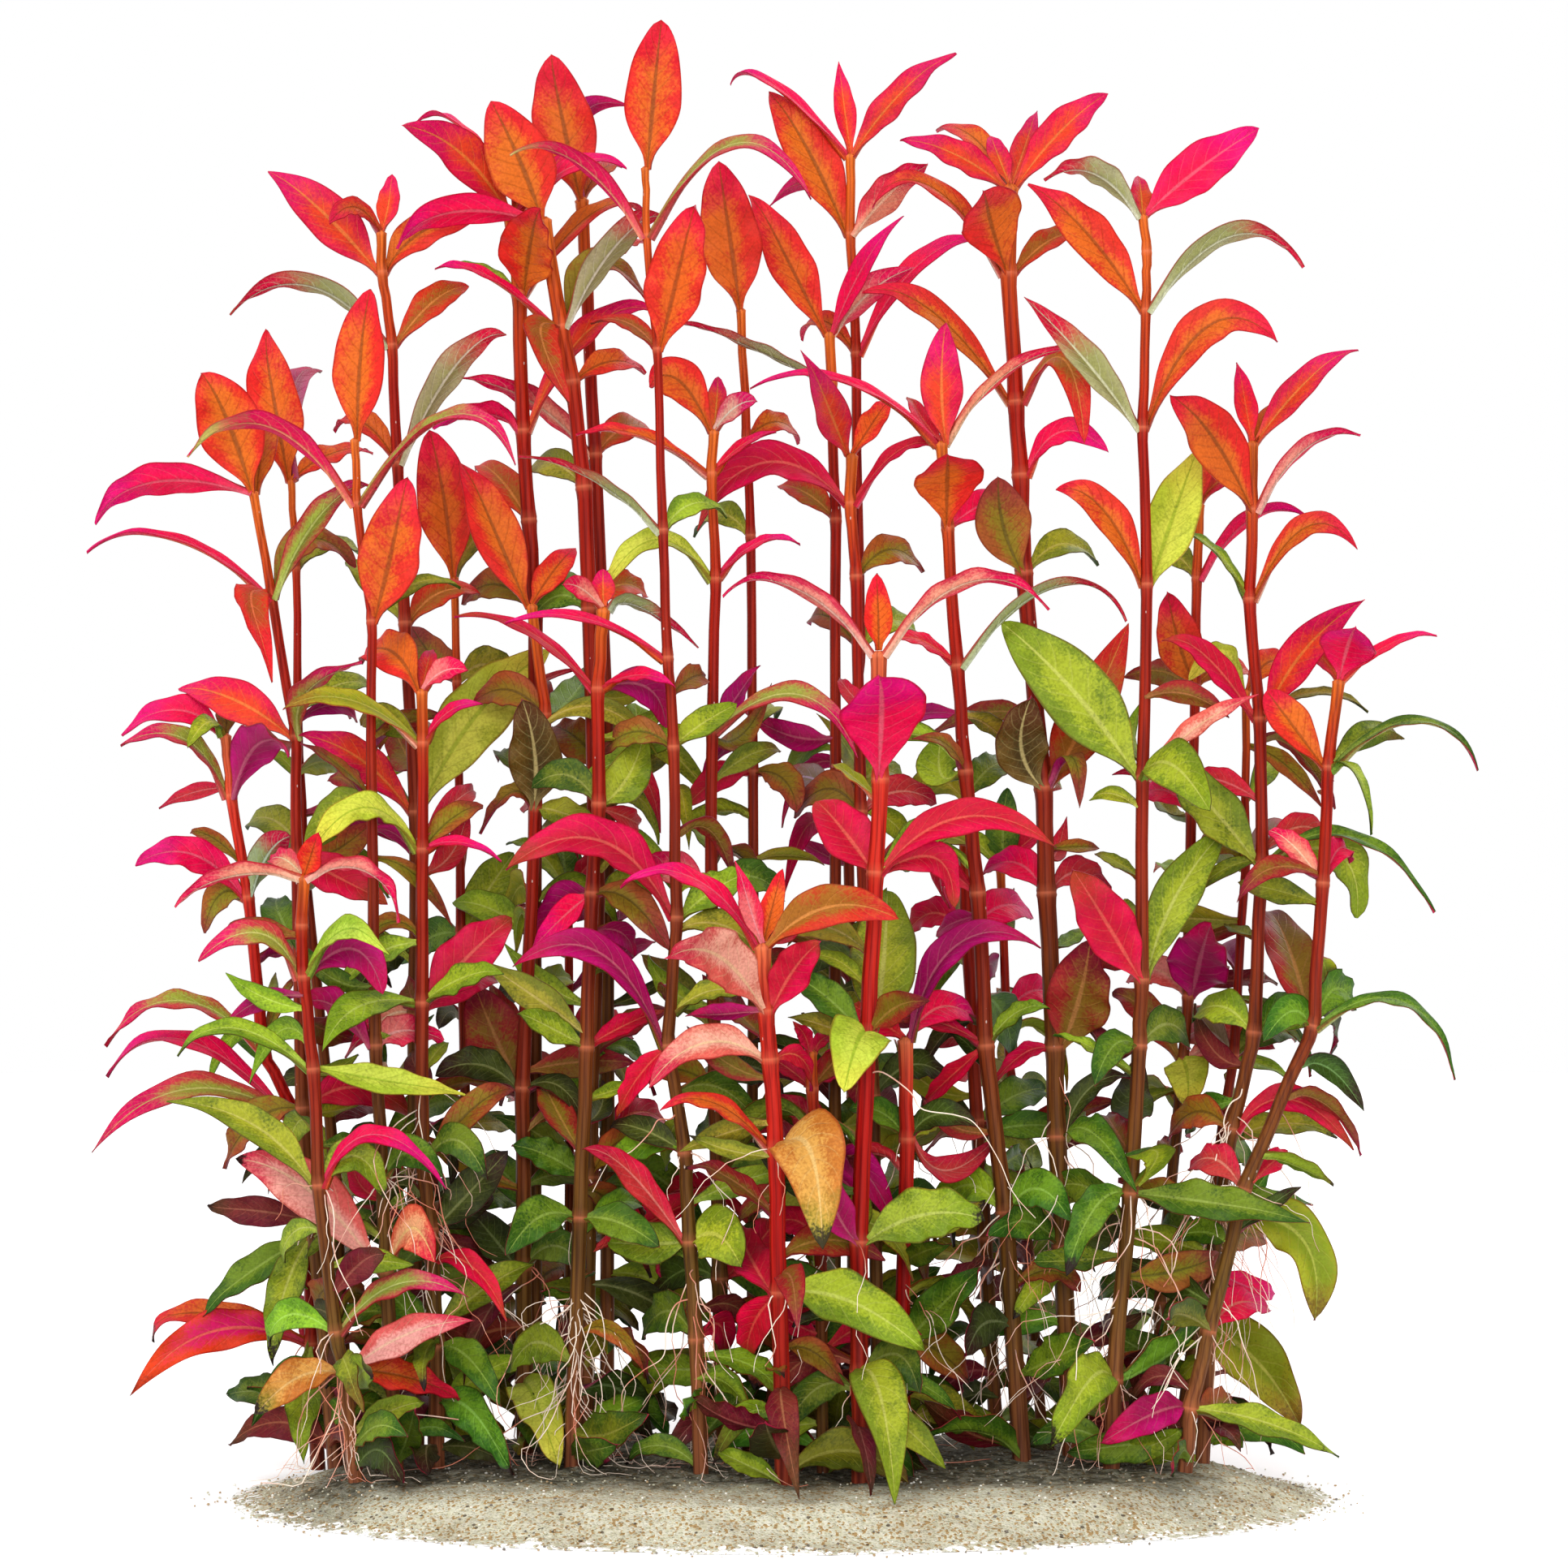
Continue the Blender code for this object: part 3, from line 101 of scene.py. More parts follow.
# Each kind of leaf: its colour by the midrib, at the margin, at the tip and in its veins (display values,
# 0 to 255), the kind that its other side looks like, how mottled it is, how far dark specks cover it and
# where along it the tip's colour starts
LEAF_KINDS = {
    "flame": ((230, 106, 30), (238, 40, 34), (232, 18, 50), (146, 72, 22), "pinkred", 0.6, 0.0, 0.6),
    "scarlet": ((234, 64, 34), (230, 10, 70), (228, 0, 98), (240, 130, 60), "pink", 0.5, 0.0, 0.5),
    "magenta": ((246, 0, 72), (248, 0, 84), (240, 0, 118), (240, 100, 120), "scarlet", 0.3, 0.0, 0.5),
    "magpale": ((212, 4, 76), (216, 0, 92), (206, 200, 110), (240, 160, 120), "scarlet", 0.4, 0.0, 0.66),
    "purple": ((168, 6, 84), (196, 0, 110), (204, 0, 84), (200, 100, 120), "olive", 0.4, 0.0, 0.6),
    "silver": ((150, 152, 92), (176, 176, 128), (212, 6, 60), (224, 226, 196), "crimson", 0.5, 0.0, 0.42),
    "pink": ((244, 150, 126), (240, 60, 88), (236, 0, 84), (250, 206, 180), "scarlet", 0.5, 0.0, 0.4),
    "pinkred": ((204, 54, 54), (216, 24, 62), (186, 8, 56), (236, 140, 124), "olive", 0.6, 0.1, 0.6),
    "crimson": ((206, 14, 50), (230, 0, 72), (176, 70, 30), (236, 100, 84), "magenta", 0.5, 0.0, 0.72),
    "orange": ((224, 104, 30), (230, 50, 36), (230, 20, 60), (150, 70, 18), "pink", 0.8, 0.0, 0.55),
    "ember": ((170, 98, 28), (224, 50, 28), (226, 34, 40), (232, 140, 70), "crimson", 0.8, 0.1, 0.6),
    "olive": ((146, 122, 30), (174, 88, 38), (150, 50, 44), (100, 80, 24), "purple", 0.8, 0.1, 0.6),
    "olivered": ((134, 100, 30), (166, 36, 38), (140, 24, 50), (186, 126, 70), "purple", 0.8, 0.2, 0.6),
    "olivelime": ((138, 154, 30), (178, 180, 40), (156, 110, 36), (196, 198, 84), "salmon", 0.8, 0.4, 0.7),
    "darkolive": ((74, 58, 18), (112, 86, 28), (96, 58, 26), (210, 200, 124), "purple", 0.7, 0.3, 0.6),
    "yellow": ((214, 218, 78), (182, 196, 52), (230, 220, 74), (160, 180, 40), "lime", 0.6, 0.25, 0.6),
    "gold": ((228, 166, 78), (208, 122, 44), (140, 150, 38), (244, 200, 124), "salmon", 0.7, 0.1, 0.66),
    "lime": ((170, 184, 44), (124, 148, 32), (134, 158, 28), (204, 210, 100), "green", 0.8, 0.4, 0.6),
    "green": ((116, 146, 34), (72, 112, 24), (52, 96, 20), (156, 184, 80), "greenmag", 0.8, 0.7, 0.6),
    "moss": ((138, 150, 30), (100, 120, 24), (120, 98, 30), (170, 180, 70), "olive", 0.9, 0.5, 0.6),
    "dark": ((74, 86, 28), (50, 58, 20), (62, 34, 24), (140, 150, 88), "purple", 0.6, 0.4, 0.6),
    "maroon": ((130, 44, 44), (116, 18, 40), (90, 50, 26), (180, 104, 84), "olive", 0.7, 0.2, 0.6),
    "greenmag": ((156, 164, 58), (204, 62, 66), (224, 0, 96), (206, 206, 116), "pinkred", 0.5, 0.0, 0.45),
    "salmon": ((252, 174, 154), (238, 98, 88), (226, 40, 80), (250, 204, 160), "pink", 0.6, 0.0, 0.6),
    "magorange": ((218, 6, 96), (234, 60, 22), (238, 70, 22), (236, 110, 80), "pinkred", 0.5, 0.0, 0.55),
}
BLADE_PARTS = ("inner", "margin", "tip", "veins")

# Fixed tints, as light: what darkens a leaf in dapples and at its margin, its specks and its burnt tip, the
# pores of a stem, the thin sand at the rim and the mottling of a grain
DAPPLE_TINT = (0.46, 0.42, 0.36, 1.0)
MARGIN_TINT = (0.5, 0.16, 0.12, 1.0)
SPECK_COLOUR = (0.02, 0.05, 0.008, 1.0)
BURNT_COLOUR = (0.018, 0.010, 0.008, 1.0)
PORE_COLOUR = (0.6, 0.5, 0.44, 1.0)
RIM_SAND_COLOUR = (0.9, 0.9, 0.88, 1.0)
GRAIN_MOTTLE = (0.6, 0.56, 0.5, 1.0)

# Kinds of the many small leaves low on the stems, from the sand upwards
LOW_KINDS = (("dark", "maroon", "green", "moss", "green", "olive", "lime"),
             ("green", "dark", "moss", "crimson", "lime", "green", "olive", "maroon"),
             ("moss", "green", "maroon", "olivelime", "dark", "lime", "olivered", "lime"),
             ("olive", "lime", "pinkred", "purple", "moss", "olivelime", "olivered", "lime"))

# Colours of a stem from its foot to its top, as shares of its height (display values)
TALL_STEM = ((0.0, (130, 74, 52)), (0.06, (150, 84, 52)), (0.20, (96, 66, 26)), (0.40, (112, 56, 24)),
             (0.56, (136, 34, 18)), (0.86, (160, 22, 12)), (1.0, (212, 100, 30)))
FRONT_STEM = ((0.0, (140, 62, 44)), (0.14, (150, 34, 20)), (0.5, (168, 12, 12)), (0.9, (196, 40, 28)),
              (1.0, (218, 106, 66)))
FRONT_STEMS = ("stem_27", "stem_28", "stem_33", "stem_01")

# What the streaks of a stem are of its skin's red, green and blue; the pale ones also paint highlight on its
#  ridges and the dark ones paint shade in its furrows
PALE_STREAK = (1.5, 1.7, 1.5)
PALE_STREAK_MORE = (0.01, 0.003, 0.0)
DARK_STREAK = (0.42, 0.34, 0.34)

# Rings of a stem between two nodes that stand far enough apart, and how far they stray and draw in
LONG_INTERNODE = 14 * MM
INTERNODE_RINGS = (0.34, 0.66)
INTERNODE_STRAY = 0.22 * MM
INTERNODE_WAIST = 0.95
FULL_NODE = 9 * MM

# Profile of a stem about a node: distance along it in mm, share of its radius, and how pale its ring is
NODE_PROFILE = ((-3.4, 1.0, 0.0), (-1.3, 1.06, 0.1), (-0.5, 1.15, 0.5), (0.1, 1.09, 1.0), (0.6, 1.13, 0.3),
                (2.6, 1.0, 0.0))

# Small leaves low on the stems: where they grow (mm above the foot), their length in mm, their width as a
# share of it, how far they face the front, and how far out, up and round they reach as shares of their
# length. Each takes the best of a few places, and is left out where it would hide more than this many
# points of the leaves in view
LOW_LEAVES_FOOT = 5.0
LOW_LEAVES_TOP = 190.0
LOW_LEAVES_BELOW_TIP = 12.0
LOW_LEAVES_FRONT = 50.0
LOW_LEAVES_CROWDING = 1.45
LOW_LEAF_LENGTH = (17, 33)
LOW_LEAF_WIDTH = (0.26, 0.42)
LOW_LEAF_TURN = (35, 100)
LOW_LEAF_NARROWING = 0.3
LOW_LEAF_REACH = (0.7, 0.95)
LOW_LEAF_RISE = (-0.75, 0.6)
LOW_LEAF_SWING = (-0.3, 0.3)
LOW_LEAF_PULL = 0.45
LOW_LEAF_BOW = (-0.12, 0.46)
LOW_LEAF_ABOVE_SAND = 1.5 * MM
LOW_LEAF_FORWARD = -0.3
LOW_LEAF_TRIES = 6
LOW_LEAF_COVER = 3
SHEET_STATIONS = (0.2, 0.4, 0.6, 0.8)

# Roots: rows and sides of faces, lengths (mm), and how a root wanders as it falls
ROOT_SIDES = 5
LONG_ROOT_ROWS = 40
NODE_ROOT_ROWS = 14
TANGLE_ROOT_ROWS = 16
NODE_ROOT_LENGTH = (12, 42)
TANGLE_ROOT_LENGTH = (18, 58)
ROOT_STEPS = 8
ROOT_STRAY = 0.42
ROOT_FALL = 0.9
ROOT_THINNING = 0.55
ROOT_ABOVE_SAND = 0.3 * MM

# Longer roots that hang clear: the stem that each one leaves, and its points from the top (mm, as seen)
LONG_ROOTS = (
    ("stem_13", ((-25, 86.4), (-31, 84), (-38, 76), (-47.2, 66.2))),
    ("stem_13", ((-25.8, 40), (-29, 33), (-35, 22), (-39.2, 9))),
    ("stem_27", ((22.6, 95), (31, 91), (42.4, 85.2), (53, 74), (62, 59.8))),
    ("stem_33", ((32.6, 45), (36, 36), (40, 24), (44.8, 10))),
    ("stem_24", ((100.6, 38.4), (91, 29), (80.8, 20), (75, 9), (71.8, 3))),
    ("stem_04", ((-79.4, 15.8), (-74, 9), (-65.2, 4))),
    ("stem_24", ((106.8, 94), (110, 88), (108.8, 80), (104, 75), (98.8, 70))),
    ("stem_07", ((-86, 57), (-88, 40), (-84, 22), (-76, 6))),
    ("stem_06", ((-91, 60), (-96, 44), (-95, 28), (-99, 10))),
    ("stem_21", ((67.4, 80), (74, 66), (73, 48), (79, 30), (77, 10))),
    ("stem_23", ((94, 50), (101, 40), (96, 24), (103, 12))),
    ("stem_26", ((104.6, 32), (98, 26), (93, 16), (94, 6))),
    ("stem_29", ((-108.4, 22), (-104, 14), (-107, 6))),
)

# Tangles of fine roots: the stem that each hangs on, its lowest and highest root (mm, as seen) and how many
ROOT_CLUMPS = (("stem_07", 44, 92, 26), ("stem_12", 12, 44, 44), ("stem_10", 8, 36, 24),
               ("stem_19", 24, 74, 24), ("stem_32", 20, 80, 16), ("stem_21", 60, 100, 12),
               ("stem_24", 44, 88, 46), ("stem_23", 30, 70, 20), ("stem_29", 8, 24, 14),
               ("stem_06", 10, 44, 18), ("stem_14", 8, 30, 20), ("stem_33", 10, 46, 14),
               ("stem_22", 14, 66, 18), ("stem_13", 16, 54, 12))

# Where painted shade under the stand, with some dark litter, darkens the sand between the stems, in metres
SHADE_AND_LITTER_FRONT = 0.060
SHADE_AND_LITTER_BACK = 0.036
SHADE_AND_LITTER_SIDE = 0.098
SHADE_AND_LITTER_END = 0.118
SHADE_AND_LITTER_SHIFT = 0.008

# Sand: its columns and rows of faces, how far and how finely its rim strays, how fine its hollows are, and
# where along the way out to the rim it slopes and fades. Loose grains: how many are made at once, how far
# out they lie, how common each colour is, how they are stretched and how dark the ones in the painted
# shade between the stems are, as shade with some dirt
SAND_GRID = (210, 120)
SAND_RAGGED = (0.035, 60)
SAND_HOLLOWS = (90, 260)
SAND_SLOPE = (1.02, 0.72)
SAND_FADE = (0.91, 1.06)
THINNEST_SAND = 0.12 * MM
GRAINS_AT_ONCE = 80
FARTHEST_GRAIN = 1.08
GRAIN_SHARES = (5, 4, 1.4, 2)
GRAIN_STRETCH = ((0.7, 1.3), (0.7, 1.2), (0.6, 0.9))
SHADED_DIRTY_GRAIN = 0.3
WHOLE_TURN = 6.28

# Floor and lights: each light's name, its place, the setting that holds its power, and its size
FLOOR_RADIUS = 1.5
FLOOR_SIDES = 128
FLOOR_BELOW = 0.1 * MM
LIGHTS = (("key_light", (-0.9, -1.3, 1.5), "key", 1.2), ("fill_light", (0.2, -1.7, 0.5), "fill", 0.9),
          ("back_light", (0.9, 1.2, 1.4), "back", 1.0))

# Camera: the width of its sensor in mm, and the nearest and farthest that it sees, in metres
SENSOR_WIDTH = 36.0
NEAREST = 0.05
FARTHEST = 20.0

# Each stem: depth of its foot and top, radius at its foot and top, its nodes from the foot up (mm, as seen).
# Each leaf: the node it grows from, the middle of its midrib, its tip (mm, as seen), how far its tip comes
# forward (-) or goes back (+), its width, how far its face turns to the front (degrees) and its kind.
# Its far side shows where that turn is negative
STEMS = [
    ("stem_01", (8, 12), (1.9, 1.3),
     [(-114.8, 0), (-116.3, 29), (-116.6, 55), (-120.2, 84), (-128.2, 102), (-132, 139), (-136.2, 164),
      (-137.6, 179)],
     [(7, -150, 185, -164, 179.4, 6, 9, 60, "magenta"),
      (6, -148.2, 178, -163.6, 176.5, -8, 8, 35, "greenmag"),
      (6, -129.5, 177, -120.4, 176, -8, 12, -62, "purple"),
      (5, -146, 149.5, -160, 147, -6, 9.5, 62, "magenta"),
      (4, -149, 113.4, -168.6, 103.4, -6, 7.5, 35, "greenmag"),
      (3, -147.2, 103.5, -168.8, 96.2, 8, 8, 32, "magenta"),
      (3, -146.5, 91.6, -170.8, 77.8, -10, 9.5, 42, "greenmag"),
      (2, -131.5, 46.5, -144, 36.6, -8, 9, 62, "green"), (2, -123.0, 42, -127, 25, -14, 10, 78, "lime"),
      (1, -141.2, 31.8, -160.8, 16.2, -14, 10.5, 68, "magorange"),
      (1, -142, 36.4, -159.6, 32.2, 12, 7.5, 60, "orange"),
      (1, -118.6, 14, -119, 2.5, 12, 9, 80, "lime"), (7, -142, 182, -147, 176, -6, 6, 50, "lime"),
      (7, -137.4, 184, -137.8, 190, 6, 6, 80, "olive"), (5, -127, 150, -121.6, 154, 8, 9, -66, "silver"),
      (5, -139, 139.5, -143.2, 130, -10, 9.5, 62, "olive"),
      (4, -124.4, 113, -119.8, 120, 8, 4, 50, "olive")]),
    ("stem_02", (-6, 0), (2.0, 1.1),
     [(-110.2, 0), (-118.6, 87), (-120, 149), (-120.4, 178.6), (-126.2, 213), (-130.8, 239)],
     [(5, -137, 256, -143.2, 268, -6, 17, 84, "flame"),
      (5, -155.2, 241.5, -170.6, 232.4, 6, 9.5, -58, "magenta"),
      (5, -128.6, 250, -127, 258, 14, 10, 80, "orange"),
      (4, -149, 227, -172.8, 227.6, -8, 5, 25, "magenta"),
      (4, -117.6, 227, -105.2, 220.4, 8, 9.5, 62, "olive"),
      (4, -114, 234, -99.4, 243.2, -10, 7, -50, "greenmag"),
      (3, -135.6, 187.6, -150, 191, 8, 11, 74, "scarlet"),
      (3, -117.6, 190, -104, 197.4, -8, 7, -48, "greenmag"),
      (2, -111.2, 150, -101.4, 157.6, 10, 11, 72, "olive"),
      (2, -110.4, 144, -98, 138, 16, 11, 66, "crimson"),
      (1, -104.8, 92, -90.6, 84.4, 14, 10, 65, "crimson"), (1, -130, 84, -139, 72, 16, 10, 60, "olive"),
      (4, -131.4, 212, -124.8, 194, -14, 9.5, 68, "ember")]),
    ("stem_03", (16, 16), (1.8, 0.9),
     [(-107, 0), (-110.6, 70), (-118.4, 150), (-119.8, 186), (-120.2, 220), (-121.4, 242)],
     [(5, -125.6, 261, -128.8, 280.2, -5, 15, 86, "flame"),
      (5, -121, 264, -114.2, 268, 14, 8, -52, "purple"), (5, -112, 248, -101, 250, 16, 8, 50, "orange"),
      (1, -119, 80, -131.6, 76, 22, 11, 62, "lime"), (4, -112, 226, -101.6, 223, 18, 8, 45, "lime"),
      (3, -112.6, 190, -106, 183, 20, 9, 60, "olive"), (2, -126, 158, -134, 157, 20, 9, 65, "lime"),
      (1, -103, 79, -96, 72.6, 22, 10, 62, "green")]),
    ("stem_04", (-24, -20), (1.9, 1.0),
     [(-95.2, 0), (-98, 46.6), (-98.9, 69.6), (-100.6, 102.4), (-101.6, 163.4), (-101.6, 207),
      (-105.2, 236), (-105.8, 252)],
     [(7, -104.4, 271, -102.2, 288.8, -3, 14, 88, "flame"),
      (6, -127.6, 255.6, -147.8, 248, -6, 7.5, -38, "magpale"),
      (6, -83, 257.4, -65.2, 247.6, -6, 7.5, 30, "greenmag"),
      (5, -96.6, 224.5, -93.2, 242.2, -6, 16, 85, "orange"),
      (4, -110.4, 160, -118.4, 149, 10, 10, 60, "lime"),
      (3, -110, 112, -118, 113.5, 10, 9, -62, "purple"),
      (1, -117.4, 67, -135.2, 74.4, 3, 14, 74, "salmon"),
      (5, -91.4, 216, -79.2, 216.6, 6, 6, 50, "lime"),
      (4, -109.8, 171.4, -118.6, 177.2, -6, 4.5, 30, "olive"),
      (3, -93.6, 106, -83.4, 104, 12, 9, 60, "pink"), (2, -92, 76, -84, 70, -12, 9, 66, "green"),
      (1, -91.6, 57.4, -86.6, 49, -16, 12.5, 66, "salmon")]),
    ("stem_05", (26, 28), (1.6, 1.0),
     [(-76.4, 0), (-77.6, 60), (-79.6, 130), (-80.6, 192), (-81.2, 218)],
     [(4, -83.6, 236, -87.2, 254, -4, 16, 86, "orange"), (2, -72.6, 141, -66.4, 150, 12, 12, 80, "lime"),
      (4, -75.4, 228, -68.4, 230, 12, 8, 60, "lime"), (3, -72.6, 196, -64.4, 188, 14, 11, 72, "lime"),
      (3, -86.6, 198, -92, 206, 16, 10, 74, "olive"), (2, -87, 129, -96, 122.4, 18, 10, 60, "green"),
      (1, -70.4, 66, -62, 62, 20, 10, 66, "green"), (1, -84, 65, -92.4, 60, 22, 10, 66, "dark")]),
    ("stem_06", (6, 2), (2.1, 1.2),
     [(-90.6, 0), (-91, 60), (-91, 110), (-90.8, 160), (-93.4, 206.6), (-95.2, 246), (-96.6, 275),
      (-99, 293), (-99.2, 303)],
     [(7, -113.6, 307.6, -127.2, 318.6, -4, 12.5, 75, "scarlet"),
      (7, -88, 303.5, -70.8, 308.4, 8, 11, 72, "orange"),
      (6, -117.2, 290, -137.8, 283.6, -8, 8, -34, "silver"),
      (6, -86, 286, -77.6, 289.4, 12, 9, 68, "ember"),
      (5, -81.2, 270, -67.4, 279.6, -6, 8.5, -54, "silver"),
      (4, -84.6, 214, -74.6, 214, 12, 9, 60, "ember"), (4, -100, 217, -108.6, 222.6, 16, 10, 70, "lime"),
      (3, -104.6, 173, -119.4, 179, -10, 10, 62, "scarlet"),
      # This leaf takes the paler yellow kind to make up for the shade its neighbours cast on it: painted
      # light
      (3, -75.6, 184, -57.4, 200, -14, 17, 82, "yellow"),
      (2, -79.4, 119, -70.4, 118, 12, 12, 74, "crimson"),
      (2, -98.6, 109, -108.4, 99.4, 16, 9, 60, "pink"), (1, -101, 68.6, -110, 64, 14, 10, 66, "lime"),
      (1, -81, 62, -71.4, 66, 12, 11, 74, "dark"), (8, -97.4, 310, -96.8, 317.4, 5, 6, 80, "scarlet"),
      (8, -106, 309, -112, 305, -8, 6, 60, "orange"), (5, -104, 256, -112, 255, 14, 8, 50, "orange")]),
    ("stem_07", (-18, -22), (2.2, 1.3),
     [(-85.6, 0), (-85.6, 28.4), (-87.2, 57.2), (-89, 73.6), (-89.2, 113), (-89.1, 150.8), (-89, 177),
      (-89.2, 190)],
     [(7, -97, 199.6, -105.2, 197.6, -6, 12, 70, "flame"),
      (6, -106.6, 187.4, -123.2, 186.4, -8, 7, 36, "olivelime"),
      (5, -103.4, 161, -117.2, 149, -6, 9.5, 45, "yellow"),
      (4, -104.6, 112, -113.2, 102.4, -8, 9.5, 55, "lime"),
      (4, -77.6, 124.6, -67, 134, 8, 13, 82, "crimson"), (3, -76.4, 87, -65.6, 92.6, 10, 9, 66, "olive"),
      (2, -77.6, 66, -68, 76.6, -6, 10, 72, "dark"), (1, -94, 38, -101.6, 45, 8, 9, 70, "green"),
      (1, -77.4, 25, -70, 14, -18, 9, 70, "green"), (7, -83.8, 194.6, -78.2, 195, -6, 7.5, 60, "pink"),
      (7, -88, 195.6, -86.8, 201, 5, 6, 84, "scarlet"),
      (6, -82.6, 184.6, -74.8, 187.2, -6, 4.5, 40, "magenta"),
      (5, -80, 152.4, -69.4, 148.8, -8, 4.5, 36, "magenta"),
      (5, -81.4, 158.6, -74, 162, 8, 8, 55, "olive"), (4, -79.2, 119, -70.2, 121, -8, 8, 48, "lime"),
      (3, -80.4, 79, -73.4, 69.4, -12, 9, 70, "green")]),
    ("stem_08", (4, 0), (2.3, 1.3),
     [(-63.6, 0), (-63.8, 19), (-64.2, 48), (-64.4, 92), (-61.2, 161), (-58.8, 184), (-62.2, 211)],
     [(6, -71.2, 229, -79.2, 247.6, -5, 13.5, 80, "flame"),
      (5, -51.6, 189, -46, 198, 18, 10, 70, "green"),
      (4, -61.4, 174, -64.4, 187.4, -10, 14, 88, "darkolive"),
      (3, -75, 97.6, -86, 95.4, -6, 9.5, 62, "dark"),
      (3, -70.4, 103, -76, 116.4, 10, 17, 84, "olivered"), (2, -71.6, 55, -78.4, 63, 12, 10, 76, "dark"),
      # The first leaf on the next line takes the paler yellow kind to make up for the shade it lies in:
      # painted light
      (1, -61.6, 15.6, -55.4, -1.4, -30, 13, 76, "yellow"), (6, -57, 219, -51, 226, 14, 8, 70, "orange"),
      (5, -68, 190, -76.4, 187, 16, 10, 66, "olive"),
      (4, -67.6, 164.6, -75.2, 154.6, -14, 6, 42, "olive"),
      (4, -54.6, 159.6, -45.6, 156, -8, 9, 52, "lime"), (3, -55, 92, -48.2, 81.6, -10, 7, 50, "dark"),
      (2, -56.4, 53, -49.2, 47.6, -12, 10, 66, "green")]),
    ("stem_09", (18, 9), (1.9, 1.8),
     [(-61, 0), (-61.5, 60), (-61.5, 130), (-61.2, 210), (-62.8, 232), (-64.2, 254), (-65.2, 287.6),
      (-67.2, 307)],
     [(7, -79.4, 322, -92.6, 329, -6, 12, 76, "scarlet"),
      (7, -53.2, 318.4, -39.2, 321.4, -6, 8, 42, "magenta"),
      (7, -57, 318, -49.2, 322, 12, 7, 55, "scarlet"),
      (7, -78.2, 327.6, -90.8, 332.4, 14, 5, 26, "magenta"),
      (6, -62.4, 300, -60.6, 308, -18, 17, 80, "flame"),
      (6, -46.2, 308, -31.6, 307, -10, 8.5, 38, "orange"),
      (5, -48, 278.6, -28.8, 285, -14, 9, 50, "scarlet"), (4, -70, 242, -77, 247, 16, 9, 70, "ember"),
      (2, -72.4, 136, -82, 138, 16, 10, 62, "lime"), (1, -68, 70, -76, 76, 20, 10, 72, "green"),
      (7, -64, 314, -62.2, 320, 6, 6, 80, "scarlet"), (6, -73.2, 293.4, -81.2, 296, 8, 4, 30, "lime"),
      (5, -74, 258.4, -87.2, 255, -10, 7, -34, "magenta"),
      (3, -71.4, 216, -79.6, 211, 18, 10, 62, "olive"), (3, -54, 216, -47.6, 212, 20, 9, 62, "lime"),
      (2, -52.4, 137, -44.6, 130, 18, 11, 66, "purple")]),
    ("stem_10", (0, 4), (2.4, 1.8),
     [(-49.4, 0), (-48, 70), (-46.2, 140), (-47.8, 210), (-49.2, 240), (-52.2, 266), (-54.8, 279.6),
      (-59.2, 306)],
     [(7, -65.2, 320.6, -72.2, 335, -5, 17, 85, "flame"),
      (7, -82.8, 307.8, -96.6, 299, 10, 9, -55, "magenta"),
      (6, -73.6, 292.4, -86, 294, -8, 4.5, 28, "magenta"),
      (6, -46.4, 295, -33.2, 286.6, 8, 9.5, 62, "olive"),
      (6, -41.4, 300, -27.2, 310, -10, 8.5, -50, "silver"),
      (2, -54.6, 137, -61.6, 128.4, 12, 11, 70, "purple"), (1, -57.8, 75, -67, 78, -8, 9, 66, "green"),
      (6, -60, 277.6, -52.8, 260.6, -14, 9.5, 68, "ember"), (5, -42, 271, -34, 268, 14, 8, 60, "orange"),
      (4, -57.4, 246, -64.6, 243, 16, 9, 60, "lime"), (3, -40, 216, -33, 213, 16, 9, 60, "ember"),
      (3, -56, 213, -63.4, 206, 14, 9, 64, "green"), (2, -38.8, 140.6, -30.8, 133, 12, 10, 66, "lime"),
      (1, -40.2, 79, -30.4, 81, -8, 8, 60, "olive")]),
    ("stem_11", (14, 24), (1.9, 1.6),
     [(-43.6, 0), (-43.4, 80), (-43.2, 170), (-46.5, 248), (-48.6, 292), (-49.8, 311)],
     [(5, -54.2, 328.6, -57.8, 346.8, -5, 16, 86, "flame"),
      (5, -50, 331, -39.2, 333.6, 14, 7.5, -50, "purple"),
      (3, -62.2, 261.4, -80.2, 267.4, -12, 7.5, -50, "pink"),
      (2, -37.2, 178, -36.6, 187, 14, 13, 86, "lime"), (2, -51, 178, -57, 181, 16, 11, 76, "olive"),
      (5, -45, 318, -39.6, 320, 16, 7, 60, "orange"), (4, -41, 299, -33.4, 301, 18, 8, 55, "orange"),
      (3, -38.4, 255, -31.4, 253, 18, 9, 60, "ember"), (1, -36, 86, -28.4, 83, 18, 9, 66, "crimson")]),
    ("stem_12", (-20, -18), (1.9, 1.6),
     [(-52.4, 0), (-50.2, 60), (-48.6, 102), (-47.2, 140), (-45.6, 162), (-45.8, 190.4), (-44.4, 210)],
     [(5, -63.2, 204.6, -81.2, 209, -8, 5, 36, "crimson"),
      (5, -33.6, 190.4, -29, 180.6, 8, 9.5, 62, "purple"),
      (4, -38.6, 168.4, -34.4, 178.6, 8, 11, 84, "lime"),
      (3, -37.4, 137.6, -28.4, 126, -8, 10, 66, "olive"), (1, -60.4, 60, -68, 51, -14, 11, 66, "green"),
      (1, -40.4, 58.6, -31, 53, -12, 10, 58, "green"),
      (6, -44.6, 214.6, -44.6, 220, 4, 6, 84, "scarlet"),
      (6, -35.4, 211, -20.8, 200.6, -6, 5.5, -32, "silver"), (6, -50, 215, -54, 216, -6, 6, 60, "pink"),
      (5, -36.2, 193.6, -27.6, 192, -8, 5.5, 34, "magenta"),
